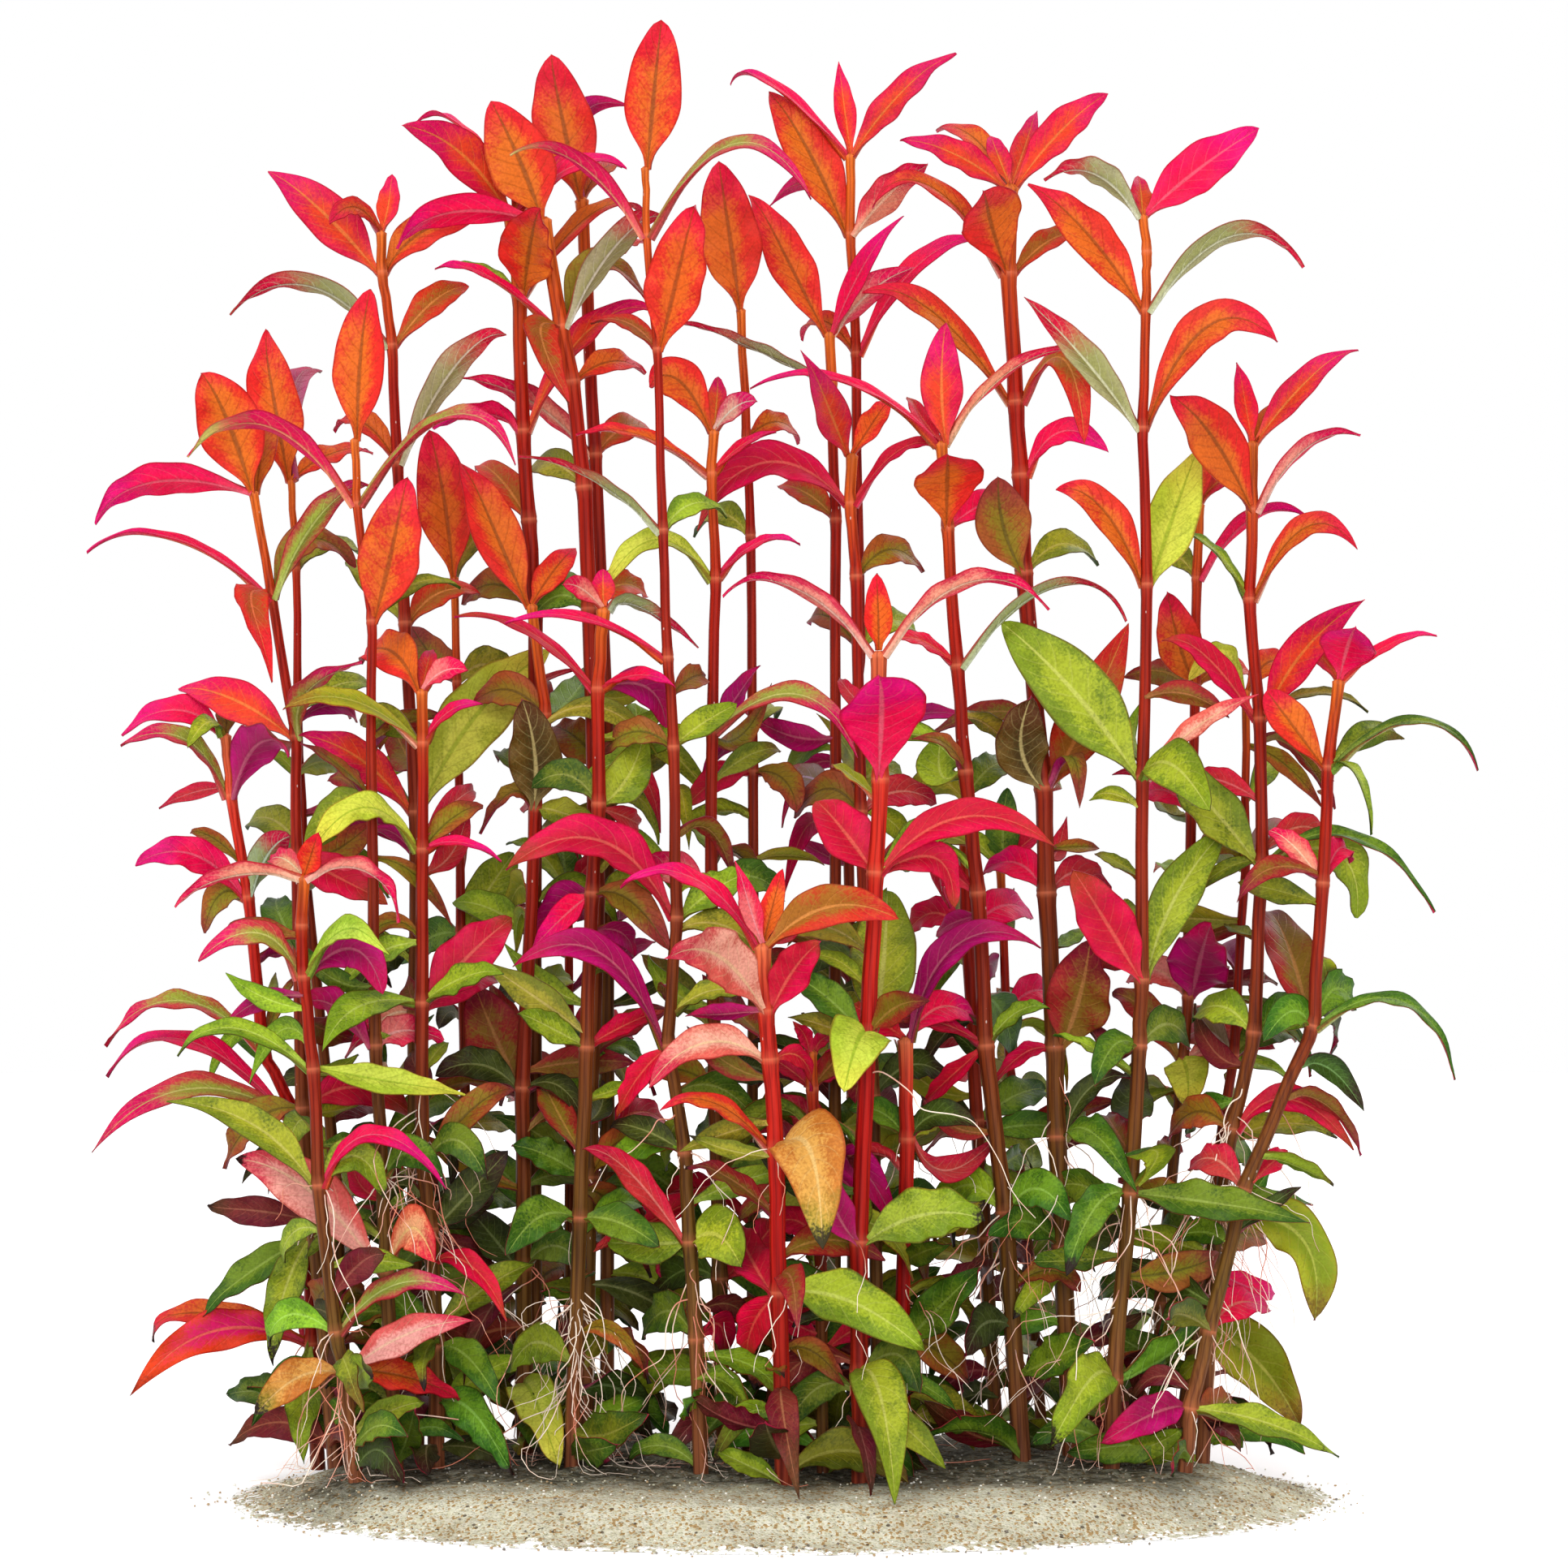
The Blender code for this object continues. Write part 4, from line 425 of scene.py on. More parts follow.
      (4, -53.6, 169, -62.6, 166, 8, 9, 66, "green"), (3, -54.4, 134, -62.4, 126, 8, 8, 60, "magenta"),
      (2, -58, 107, -65, 110.4, -8, 8, 52, "lime"), (2, -39, 107.4, -29.4, 111.6, 8, 7, 48, "crimson")]),
    ("stem_13", (-26, -24), (1.9, 0.9),
     [(-20.2, 0), (-21.6, 30), (-23.2, 54), (-24.4, 76), (-28.4, 102.4), (-26.4, 134), (-27.2, 176),
      (-28.6, 198), (-29.8, 229.4), (-31.2, 274), (-33.8, 302), (-34.2, 319)],
     [(11, -32, 337.6, -30.2, 355.2, -3, 14.5, 88, "flame"),
      (10, -51, 320.6, -68.2, 323.6, -6, 6, -36, "magpale"),
      (10, -12, 324.6, 6.8, 311, -6, 7.5, 30, "greenmag"),
      (9, -26.2, 292, -22.2, 309.2, -6, 16.5, 86, "orange"),
      (8, -46.4, 242, -65.2, 249, -10, 4.5, -28, "silver"),
      (7, -49.2, 207.6, -68.8, 207, -10, 4.5, 30, "magenta"),
      (5, -45.6, 152.8, -68.8, 146.4, -10, 14, 54, "crimson"),
      (5, -16.8, 141, -8.4, 145, 10, 9, 60, "lime"), (4, -46, 125.4, -66.8, 122, -10, 10, 50, "purple"),
      (2, -38, 71, -48.8, 77.4, -10, 7.5, 60, "pinkred"), (2, -33.2, 53.4, -43.6, 54, 6, 12, 72, "lime"),
      (9, -39, 280.6, -48, 281, 10, 6, 45, "ember"), (8, -22, 236, -13, 233.6, 12, 7, 55, "lime"),
      (6, -37.4, 179.6, -46.6, 172.6, 12, 8, 56, "olive"),
      (6, -20.2, 181.6, -11.6, 186.6, 12, 8, 60, "lime"),
      (4, -36, 94.4, -41.8, 84.4, 10, 7, 56, "crimson"), (3, -34.4, 81.4, -44, 83.6, 10, 8, 60, "dark"),
      (2, -16, 55.4, -10.8, 48, -12, 15, 72, "lime"), (1, -28.6, 37, -36, 30, 14, 11, 78, "green"),
      (1, -16, 33.6, -14.4, 25, 12, 9, 76, "crimson")]),
    ("stem_14", (-6, -8), (2.1, 1.2),
     [(-14.6, 0), (-15.8, 45), (-16.9, 92), (-17.8, 140), (-17.6, 180), (-16.8, 217.4), (-17.8, 243.4),
      (-17.2, 254)],
     [(7, -26.2, 266.4, -33.8, 265, -6, 12, 70, "flame"),
      (6, -35.2, 252.6, -51.2, 254, -8, 6, 32, "orange"),
      (5, -32.4, 226.8, -46.2, 212, -6, 8, 45, "yellow"), (4, -34, 176, -53.2, 165.4, -8, 9, 50, "lime"),
      (4, 3.4, 188.8, 18.8, 174, -8, 8, 44, "greenmag"), (3, -27.6, 146, -36.6, 145, 12, 10, 62, "pink"),
      (1, -7.6, 52, -1.6, 60, 10, 12, 76, "crimson"), (7, -12, 259.6, -7.2, 261.4, -6, 7.5, 60, "pink"),
      (7, -16.6, 261, -16.2, 267.4, 5, 6, 84, "scarlet"),
      (6, -10.2, 250.4, -2.2, 254, -6, 4.5, 36, "magenta"),
      (5, -7, 226, 3.8, 228, -6, 4.5, 34, "magenta"), (4, -11.6, 189, -7, 196, 12, 6, -60, "purple"),
      (3, -8, 144, 0.6, 138, 12, 10, 66, "green"), (2, -7.4, 97, -0.4, 90, 12, 10, 66, "dark"),
      (2, -26, 96.4, -34.6, 95, 14, 9, 60, "olive"), (1, -24.6, 47, -33, 40, 16, 10, 66, "dark")]),
    ("stem_15", (12, 14), (1.6, 1.1),
     [(-7.6, 0), (-7.8, 80), (-7.6, 170), (-8.2, 228), (-9.2, 252), (-10.6, 284)],
     [(5, -13.4, 302, -16.2, 320.2, -5, 17, 86, "orange"), (4, -1.4, 256, 4.6, 251, 14, 7, 55, "orange"),
      (3, -16, 233.4, -22.8, 228, 16, 8, 55, "lime"), (2, -16.2, 168, -24, 161.4, -6, 9, 62, "crimson"),
      (2, -0.2, 168, 3.4, 160.4, -10, 9, 62, "olive"), (1, -0.6, 84, 7, 78, 16, 9, 62, "crimson"),
      (1, -15.4, 84, -22.4, 79, 18, 9, 62, "green")]),
    ("stem_16", (4, 18), (1.7, 1.3),
     [(12.4, 0), (12.6, 80), (12.8, 164), (12.8, 232), (11.8, 266), (11.2, 278)],
     [(5, 0.8, 296, -8.2, 314, -5, 13, 80, "flame"), (5, 18.8, 293, 27.4, 306.4, -5, 6.5, 62, "magenta"),
      (5, 20.8, 288, 30.8, 294, 8, 8.5, -58, "pink"),
      (4, -8.2, 275, -27.2, 282.6, -12, 4.5, -26, "silver"),
      (1, 19, 86, 26.6, 92.6, 16, 10, 66, "green"), (3, 5.6, 238.4, -2, 241, 16, 8, 60, "ember"),
      (2, 5, 168.6, -3.6, 166, 12, 8, 55, "silver"), (1, 5.4, 84.6, -1.4, 90, -8, 9, 66, "pinkred")]),
    ("stem_17", (24, 30), (1.6, 1.2),
     [(17, 0), (17, 90), (15.8, 164), (18.8, 200), (17.8, 273), (16.4, 302.4), (16.4, 322)],
     [(6, 27.8, 336, 41.4, 348, -6, 8.5, 60, "scarlet"),
      (6, -1.6, 338.4, -14.2, 343, 12, 5, 34, "magenta"),
      (5, 6.2, 322.4, -4.2, 339, -6, 14, 80, "flame"), (5, 26.4, 313, 35.4, 320, -8, 9.5, -60, "pink"),
      (4, 33, 294.6, 49.8, 302, -8, 8, 48, "magenta"), (6, 14.8, 334, 13.4, 345, 5, 6, 80, "scarlet"),
      (5, 7, 315, -3.2, 309, 8, 7, -32, "magenta"), (4, 9.4, 281, 3, 277, 14, 7, 50, "orange"),
      (3, 26, 207, 33.4, 204, 16, 9, 60, "lime"), (3, 11, 208, 4.8, 207, 18, 8, 60, "olive"),
      (2, 24, 170, 31, 166, 18, 10, 62, "lime"), (1, 25.6, 96, 33.6, 94, 18, 10, 62, "green")]),
    ("stem_18", (-6, 6), (1.8, 1.4),
     [(23.4, 0), (22, 90), (19, 160), (17.8, 218), (16.4, 236), (16.8, 248)],
     [(5, 11, 259.4, 6.4, 271.4, -5, 10, 80, "scarlet"),
      (4, 28.4, 249, 38.8, 250, -8, 5.5, 36, "crimson"),
      (4, -4.2, 246, -22.6, 231, -12, 12.5, 58, "crimson"), (5, 22, 256, 26, 262, 8, 7, 70, "orange"),
      (3, 26.6, 224.6, 34.4, 219, 12, 9, 60, "olive"), (2, 28.6, 165, 38, 162, 12, 9, 62, "pinkred"),
      (2, 10.4, 165.6, 2, 158.6, 10, 10, 62, "olive"), (1, 31.6, 97.6, 40.8, 94, 12, 9, 60, "dark"),
      (1, 13.4, 97, 5, 92, 14, 10, 62, "crimson")]),
    ("stem_19", (-8, -4), (2.4, 1.4),
     [(59, 0), (54.6, 61.4), (49.8, 102.4), (47.8, 140), (44.8, 170), (42.8, 196), (40.4, 230),
      (38.8, 251)],
     [(7, 38.8, 266, 39.8, 280.4, -5, 10.5, 86, "scarlet"),
      (7, 16.6, 265.6, -8.2, 267.6, -8, 4.5, 30, "magenta"),
      (7, 55.4, 269, 73.8, 275, -8, 4.5, -34, "pink"), (6, 40.2, 242, 40.4, 247, -20, 19, 80, "flame"),
      (5, 66.4, 216, 86.8, 209, -8, 4.5, -30, "silver"),
      (7, 34, 257, 30.8, 263.4, 6, 5.5, 60, "crimson"), (6, 49, 236, 57, 240, 12, 8, 60, "magenta"),
      (5, 33.4, 202.4, 26.8, 202, -8, 5.5, 42, "crimson"),
      (4, 38.8, 169, 38.6, 178.6, 12, 12, 86, "lime"),
      (4, 40.2, 176.4, 33.6, 179, -10, 5.5, 50, "olive"),
      (3, 38.8, 145.6, 40.6, 136, 10, 9, 66, "crimson"),
      (2, 38.8, 107.8, 28.8, 109, -8, 5.5, 40, "crimson"),
      (2, 57.2, 110.4, 64.8, 112.4, -8, 5.5, 45, "lime"),
      (2, 40, 93.6, 33.6, 87.6, 10, 6, 50, "crimson"), (1, 63, 67, 70.6, 59, -12, 11, 66, "green"),
      (1, 45.4, 68, 37.4, 62, 14, 11, 66, "lime")]),
    ("stem_20", (14, 12), (1.9, 1.5),
     [(53, 0), (49.6, 55), (47.6, 84), (45.2, 130), (44.6, 163)],
     [(2, 57, 90, 65, 92, 20, 10, 62, "green"), (4, 37, 168, 30, 163, 14, 10, 66, "lime"),
      (4, 51, 171, 57, 172, 16, 9, 66, "green"), (3, 36.6, 135, 29.6, 129, 16, 9, 62, "crimson"),
      (3, 54.4, 137, 62, 134, 18, 10, 62, "magenta"), (2, 38.6, 87, 30.6, 82, 18, 10, 62, "dark"),
      (1, 41, 59, 33, 55, 18, 10, 62, "olive")]),
    ("stem_21", (-2, 4), (2.5, 1.9),
     [(71.4, 0), (68.6, 53), (67.4, 80), (66.8, 102), (64.8, 140), (64, 166), (59.2, 219), (58.4, 243),
      (57.2, 261), (55.4, 292.6), (55.8, 314)],
     [(10, 42.8, 321.6, 29.2, 326.4, -4, 9, 70, "scarlet"),
      (10, 46.8, 326, 36.8, 329, 10, 7, 64, "orange"),
      (10, 68, 327.4, 79.8, 337.4, -6, 10.5, 66, "scarlet"),
      (9, 51, 305, 49.8, 312, -20, 17.5, 80, "flame"), (9, 36.8, 313.6, 20.8, 312, -10, 8, 45, "orange"),
      (9, 66, 301, 75.6, 303, 14, 8, 55, "ember"), (8, 36.8, 283, 19.8, 289, -8, 9, 55, "orange"),
      (8, 68.6, 271.6, 74.2, 251, -10, 9.5, 62, "ember"),
      (7, 68.4, 253.6, 79.8, 249, -8, 8, 50, "magenta"),
      (6, 54, 230.4, 52.8, 242.4, -8, 15, 86, "olive"),
      (5, 58.4, 176, 61, 187.6, -12, 14, 87, "darkolive"),
      (5, 74.4, 183, 85, 206.6, 10, 14.5, 80, "ember"),
      (3, 73, 115, 75.4, 128.4, -8, 18, 86, "olivered"), (2, 75.6, 92, 86, 95, -10, 7, 56, "dark"),
      (2, 76.4, 80.6, 86.6, 67, -14, 9.5, 68, "green"), (1, 77.4, 56, 86.4, 62, -10, 10, 70, "dark"),
      (10, 53, 321, 50.8, 327, 12, 6, 78, "scarlet"), (10, 59.4, 324, 62.2, 333.6, 4, 7, 80, "scarlet"),
      (6, 69, 226, 78, 221, 14, 9, 60, "lime"), (5, 71, 173.4, 73, 161.4, -14, 6, 42, "olive"),
      (4, 57, 147.4, 48.4, 145, 14, 10, 64, "magenta"), (4, 73, 145, 81, 139, 14, 9, 64, "pinkred"),
      (3, 58.6, 100, 50.2, 91.6, -8, 5.5, 50, "crimson"), (1, 59.4, 59, 51, 55.4, -12, 10, 66, "green")]),
    ("stem_22", (-20, -14), (2.1, 1.1),
     [(80.6, 0), (81.4, 20), (85.4, 66), (87.6, 102.4), (88.2, 118.6), (88.4, 168.6), (89.4, 216),
      (88.4, 254.6), (89.2, 283.6), (89.4, 298), (88.4, 307)],
     [(10, 101.8, 318, 117.2, 328.6, -5, 12.5, 76, "magenta"),
      (10, 76, 317.8, 63.8, 316, -6, 8.5, -40, "silver"),
      (8, 75.4, 301.6, 60.4, 315.6, -5, 12, 76, "orange"),
      (8, 110.6, 302.4, 128.8, 294.6, -8, 7.5, -40, "silver"),
      (7, 104.6, 279.6, 121.8, 276, -6, 12, 66, "orange"),
      (7, 73.6, 272.4, 59.2, 287, -8, 8.5, -58, "silver"),
      (6, 78.4, 234.6, 66.8, 240, -8, 10, 68, "orange"), (6, 96, 233, 101.8, 249, 8, 14, 82, "yellow"),
      (5, 71, 190, 53.2, 207, -8, 18, 82, "lime"), (5, 101.4, 180.6, 116.8, 189, -8, 6.5, 44, "salmon"),
      (5, 95.4, 171.6, 104.6, 160.6, -14, 14, 70, "lime"),
      (4, 79.8, 132, 71.8, 145, -12, 13.5, 86, "crimson"), (4, 97, 140, 110.4, 157, 8, 13, 82, "lime"),
      (2, 106.8, 63.4, 128, 60, -16, 10.5, 62, "green"), (2, 76.4, 62, 69.4, 46, -12, 9.5, 70, "green"),
      (1, 75.4, 20, 66, 3.4, -28, 13, 80, "lime"), (10, 88, 312, 87.4, 317, 4, 5.5, 80, "scarlet"),
      (3, 81.4, 102.4, 76.6, 93, -12, 8.5, 62, "green"), (3, 95, 107.6, 101, 101.6, 12, 10, 66, "green"),
      (2, 92, 76, 84.6, 74.8, -16, 10, 74, "lime")]),
    ("stem_23", (20, 22), (1.6, 1.2),
     [(92, 0), (92.8, 39), (98.4, 99), (99.6, 114.6), (100.4, 160), (101.4, 191), (101.8, 217.6),
      (102.4, 236)],
     [(6, 116.4, 233.4, 131.8, 232, -8, 5.5, -40, "magenta"),
      (5, 97, 202.6, 94.6, 214, -8, 12.5, 86, "orange"),
      (3, 102.6, 124, 104.8, 131.4, -16, 16.5, 80, "purple"),
      (2, 88.8, 111, 80.8, 115.4, -18, 9.5, 70, "olivered"),
      (2, 109.8, 104, 120.4, 101.8, -16, 9.5, 60, "salmon"),
      (2, 113.6, 98.6, 127.6, 94, -10, 6.5, 42, "lime"),
      (2, 100.6, 91.4, 100.4, 77.6, -20, 11.5, 80, "yellow"),
      (1, 114.4, 26.6, 126.8, 8.6, -18, 16.5, 76, "olivelime"),
      (7, 102.8, 243, 103.6, 250, 5, 6, 80, "orange"), (7, 108.6, 242, 115.4, 241, 12, 6, 55, "scarlet"),
      (6, 95, 224, 88.4, 222, 14, 8, 60, "lime"), (5, 109, 196, 116.4, 193, 16, 8, 60, "ember"),
      (4, 93, 165.4, 86, 162, 16, 9, 62, "magenta"), (3, 91.6, 121, 84, 118, 16, 9, 62, "salmon"),
      (1, 85, 44, 76.6, 40, 16, 10, 66, "green")]),
    ("stem_24", (-10, -4), (1.9, 1.4),
     [(102.8, 0), (105.6, 47), (106.9, 60), (110.4, 81.8), (115.8, 105.6), (117.8, 147.4), (117.2, 183),
      (114.8, 212.4), (115.4, 234.4), (115.4, 251)],
     [(9, 127.8, 265, 140.4, 275.6, -4, 8.5, 64, "scarlet"),
      (8, 106, 251.6, 97, 261.4, -6, 14.5, 76, "flame"),
      (8, 129, 250.4, 142.2, 253, -8, 5.5, -38, "pink"),
      (7, 128.6, 230, 141.4, 225.4, -8, 8, 50, "orange"),
      (6, 128.8, 200.4, 142.8, 212, -6, 11, 72, "scarlet"),
      (6, 104.8, 197.4, 94.8, 203.4, -8, 8, 62, "crimson"),
      (5, 139.4, 154, 162.2, 136.8, -10, 5.5, 34, "green"),
      (5, 104.4, 162, 91.8, 174, -8, 13, 76, "lime"),
      (5, 136.4, 149.6, 141.6, 133.6, 10, 12, 72, "lime"),
      (3, 124.6, 89, 140.8, 77, -8, 9, 50, "crimson"),
      (2, 127, 55.4, 131, 34.6, -8, 14.5, 76, "olivelime"),
      (2, 117.6, 63.6, 131, 64, 12, 8, 60, "green"), (9, 113.6, 261, 111.8, 271, 5, 6, 80, "scarlet"),
      (9, 121, 258, 126, 259, 14, 6, 60, "orange"), (7, 106.8, 224, 97.8, 230, -8, 4.5, 34, "lime"),
      (6, 130.8, 189.4, 144.4, 185.6, -12, 4.5, 32, "lime"),
      (4, 124, 111, 131.4, 106, 14, 10, 62, "green"), (4, 107.6, 112, 100, 109, 16, 10, 62, "lime"),
      (3, 101.4, 86, 94, 79, 16, 9, 62, "olive"), (1, 115, 42.6, 122.6, 41.2, 12, 7, 60, "magenta")]),
    ("stem_25", (6, 10), (1.5, 1.0),
     [(96.2, 0), (103.4, 50), (110.8, 100), (113.8, 148), (113.8, 190)],
     [(4, 108, 198.6, 99.8, 192.4, -6, 7.5, 52, "yellow"), (4, 120, 197, 127, 194, 14, 8, 60, "orange"),
      (3, 121.4, 155, 129.6, 154.4, 16, 8, 60, "silver"), (3, 106.4, 153, 99.8, 146, 18, 9, 62, "olive"),
      (2, 119, 106, 127, 104, 18, 10, 62, "green"), (2, 103.4, 106, 96, 101, 20, 9, 62, "silver"),
      (1, 111, 56, 119.6, 54, 20, 11, 62, "olive"), (1, 96.4, 57, 89.4, 53, 22, 10, 62, "green")]),
    ("stem_26", (-24, -18), (1.9, 1.4),
     [(98.2, 0), (100.2, 13), (104.6, 32), (113.4, 67), (130.2, 107.2), (132.8, 142.4), (134.2, 171),
      (136.8, 192.4)],
     [(6, 155.4, 182.4, 173.2, 172, -8, 4.5, 28, "green"),
      (6, 124.4, 182.4, 118.8, 190, 6, 10.5, 76, "orange"),
      (4, 152, 113.4, 167.2, 94.6, -8, 5.5, 34, "green"),
      (4, 124.4, 126.4, 118.2, 138.4, 6, 12.5, 82, "olivered"),
      (1, 118.2, 9.6, 137, 1.6, -8, 7.5, 52, "lime"), (1, 91, 11.6, 78.4, 4.6, -14, 10.5, 66, "purple"),
      (7, 139, 201, 140.6, 205, -16, 15.5, 80, "magenta"),
      (7, 148.8, 201, 160.4, 205, -6, 4.5, 32, "magenta"),
      (7, 131.6, 199, 127, 201, 8, 7, 60, "scarlet"), (6, 141, 170, 146.2, 155, -12, 4, 44, "lime"),
      (5, 125.6, 151.4, 119.4, 155.8, 8, 7, 64, "pink"), (5, 137, 151, 140, 147.6, 12, 7, 62, "magenta"),
      (4, 124.6, 110.6, 118.2, 103.4, -6, 9.5, 66, "green"),
      (4, 136, 116.4, 141.2, 111, 12, 10.5, 78, "green"), (3, 106, 74.4, 99, 72, 14, 9, 62, "pinkred"),
      (2, 112, 39, 120, 37, 14, 9, 64, "magenta")]),
    ("stem_27", (-38, -36), (2.2, 1.9),
     [(19, 0), (18.7, 22), (18.6, 54), (20.8, 105.6), (22.6, 145), (23.8, 168), (23.4, 199)],
     [(6, 4.2, 215, -16.2, 217.6, -4, 6.5, -36, "pink"), (6, 45.4, 217, 66.8, 211, -4, 6.5, -36, "pink"),
      (5, 24, 183, 23.8, 192, -18, 22, 80, "magenta"), (4, 44, 158.6, 67.6, 152, -4, 10, 56, "crimson"),
      (4, 15.6, 154, 7.8, 163.4, 6, 14, 76, "crimson"),
      (4, 37.4, 148.4, 41.8, 136.6, 12, 9, 70, "crimson"),
      (3, 24.6, 124, 25.4, 141.4, 10, 17, 87, "lime"), (3, 10.8, 114, 2.8, 119.4, 6, 9.5, 70, "green"),
      (3, 18, 103, 14.8, 91.4, -16, 16, 82, "yellow"), (2, 34.4, 60.6, 49.4, 59.8, -5, 13.5, 70, "lime"),
      (2, 12.2, 63.0, 9.2, 76, 10, 9, 76, "purple"), (1, 23.4, 17, 27.6, -10.2, -34, 14, 78, "lime"),
      (1, 30, 20.6, 45.6, 11.6, 8, 7, 56, "green"), (6, 23.2, 209, 22.8, 218.6, -4, 7.5, 86, "flame"),
      (3, 28, 112, 34, 113, 12, 9, 74, "olivered"), (1, 28.4, 26, 33, 17, -14, 10, 72, "green")]),
    ("stem_28", (-42, -44), (2.1, 1.9),
     [(0, 0), (-1.2, 41.6), (-2, 77), (-3.4, 99), (-4.4, 111), (-5.2, 127)],
     [(5, -21.2, 143, -40.6, 145, -8, 6.5, 42, "magenta"),
      (5, 11.6, 136.6, 28, 133.6, -6, 12, 70, "ember"),
      (4, -16.6, 124.6, -28.2, 123.8, -12, 14.5, 74, "salmon"),
      (4, 2.4, 121, 8.2, 127.4, -12, 10, 76, "crimson"),
      (3, -19.2, 103, -34, 92.8, -6, 10, 60, "salmon"), (2, -16.8, 88, -30.6, 88, -6, 5.5, 40, "orange"),
      (2, 6.6, 76, 9.4, 52.4, -16, 20.5, 80, "gold"), (1, 17, 39, 34.6, 27.2, -8, 14, 70, "lime"),
      (1, -8.4, 50.4, -12.2, 60.4, 10, 10, 72, "crimson"),
      (5, -8.8, 137.6, -11, 146.4, -6, 6, 76, "pink"), (5, -2.8, 136.6, -0.4, 146, -6, 6.5, 84, "flame"),
      (5, 2, 132.4, 7.8, 139.4, 6, 7.5, -60, "pink"), (3, 4, 99.4, 8, 91, 12, 5, 60, "crimson"),
      (1, -7.4, 34, -9.6, 24, 14, 9, 70, "crimson")]),
    ("stem_29", (-32, -34), (1.8, 1.4),
     [(-105, 0), (-108.4, 22), (-110.4, 31.8), (-114.6, 68), (-116, 96.6), (-118.4, 119.4),
      (-118.8, 132), (-118.2, 144)],
     [(7, -136, 144.6, -151, 137.4, -5, 6.5, -36, "pink"),
      (7, -103.4, 146, -92.2, 133.6, -5, 6.5, -36, "pink"),
      (5, -129.6, 130, -144.8, 123.8, -6, 8, 42, "greenmag"),
      (5, -106, 126, -98.8, 115, 14, 11, 74, "purple"),
      (4, -135.6, 106.6, -150.2, 100.4, -6, 6.5, 42, "lime"),
      (4, -96.6, 93.4, -78.2, 91, 6, 7.5, 62, "yellow"),
      (3, -131.2, 83, -152.2, 88.8, 6, 10, 62, "lime"),
      (3, -101, 80.4, -82.4, 68.2, -5, 6, 42, "magenta"),
      (2, -95, 43.6, -78.2, 41, -8, 7, 44, "greenmag"), (1, -93.4, 31, -77.4, 35, -8, 9, 60, "salmon"),
      (1, -120, 20.4, -130, 11.6, -10, 10, 66, "gold"),
      (1, -93, 20.6, -79.4, 15.6, -14, 9, 52, "orange"),
      (7, -116.6, 149, -115, 154.4, -4, 6.5, 80, "flame"),
      (7, -123.4, 148.4, -127, 148, 6, 6, 60, "pink"), (5, -108, 131, -99.6, 125.4, -5, 8, 46, "yellow"),
      (3, -105.2, 75, -98.2, 64.6, -14, 10, 62, "lime"), (2, -122, 36, -128, 28, 14, 9, 66, "lime")]),
    ("stem_30", (-28, -26), (1.6, 1.4),
     [(9.8, 0), (9, 52.4), (7, 91.8), (6.6, 101)],
     [(3, 5, 105, 2.6, 107.6, -4, 4, 70, "crimson"), (3, 9.6, 104, 13, 105, -4, 4, 60, "crimson"),
      (2, 0.6, 97, -3.8, 99.6, 8, 5, 60, "crimson"), (2, 13, 99, 18.6, 103.4, 8, 6, 66, "olivered"),
      (1, 3.4, 59, -4.4, 58, 12, 9, 66, "crimson"), (1, 14.4, 57, 20, 52, 12, 9, 66, "purple")]),
    ("stem_31", (30, 30), (1.5, 1.1),
     [(-53.2, 0), (-52.8, 50), (-52.6, 102), (-53.2, 141)],
     [(3, -60, 149.6, -68.8, 154, 8, 6, 50, "lime"),
      (3, -46.6, 148.6, -40.2, 152.4, 8, 6, 50, "crimson"),
      (3, -54.4, 150, -55, 160, 12, 9, 78, "green"), (2, -60, 110, -68, 108, 16, 9, 62, "crimson"),
      (2, -45.4, 109, -37, 104, 18, 10, 62, "crimson"), (1, -60.4, 57, -69, 57.6, 20, 10, 62, "green"),
      (1, -45.4, 56, -37.4, 52, 20, 10, 62, "dark")]),
    ("stem_32", (30, 30), (1.5, 1.1),
     [(64, 0), (60.4, 50), (56.6, 90), (54.8, 110), (53.4, 146)],
     [(4, 54, 156, 55, 166, 12, 9, 78, "green"), (4, 46.8, 153, 38.6, 158.4, 8, 6, 50, "lime"),
      (4, 60, 152.6, 66.4, 157.4, 8, 6, 50, "crimson"), (3, 62, 116, 70, 113, 16, 9, 62, "magenta"),
      (2, 49.6, 96, 42, 94, 18, 9, 62, "silver"), (1, 68, 57, 76.4, 56, 20, 10, 62, "green"),
      (1, 53.4, 57, 45, 55, 20, 10, 62, "dark")]),
    ("stem_33", (-14, -16), (1.9, 1.8),
     [(30, 0), (29.2, 30), (30.4, 79.4), (30, 104)],
     [(3, 42.6, 127, 63.6, 128.4, -6, 10, 50, "purple"), (2, 40.6, 71.6, 54, 82, 12, 7.5, 60, "pinkred"),
      (1, 38.4, 38, 47.6, 47, -8, 12, 76, "green"), (1, 38, 27, 46.4, 19, 10, 10, 70, "olive"),
      (3, 39.4, 112, 48.4, 107.6, 10, 9, 60, "magenta"), (3, 22.6, 109, 16, 113, 12, 9, 66, "crimson"),
      (2, 23.6, 86, 15.6, 87, 10, 8, 56, "green"), (2, 38, 85.4, 47.4, 82.6, -8, 8, 60, "dark")]),
]


def display(colour):
    """A colour's display values from 0 to 1, from values of 0 to 255."""
    return tuple(value / 255 for value in colour)


def linear(colour):
    """A colour as light, from its display values."""
    return tuple(value / 12.92 if value <= 0.04045 else ((value + 0.055) / 1.055) ** 2.4 for value in colour)


def colour_setting(name, description, colour):
    """A property that holds a colour as it shows on a display."""
    return FloatVectorProperty(name=name, description=description, default=display(colour),
                               subtype="COLOR_GAMMA", size=3, min=0.0, max=1.0)


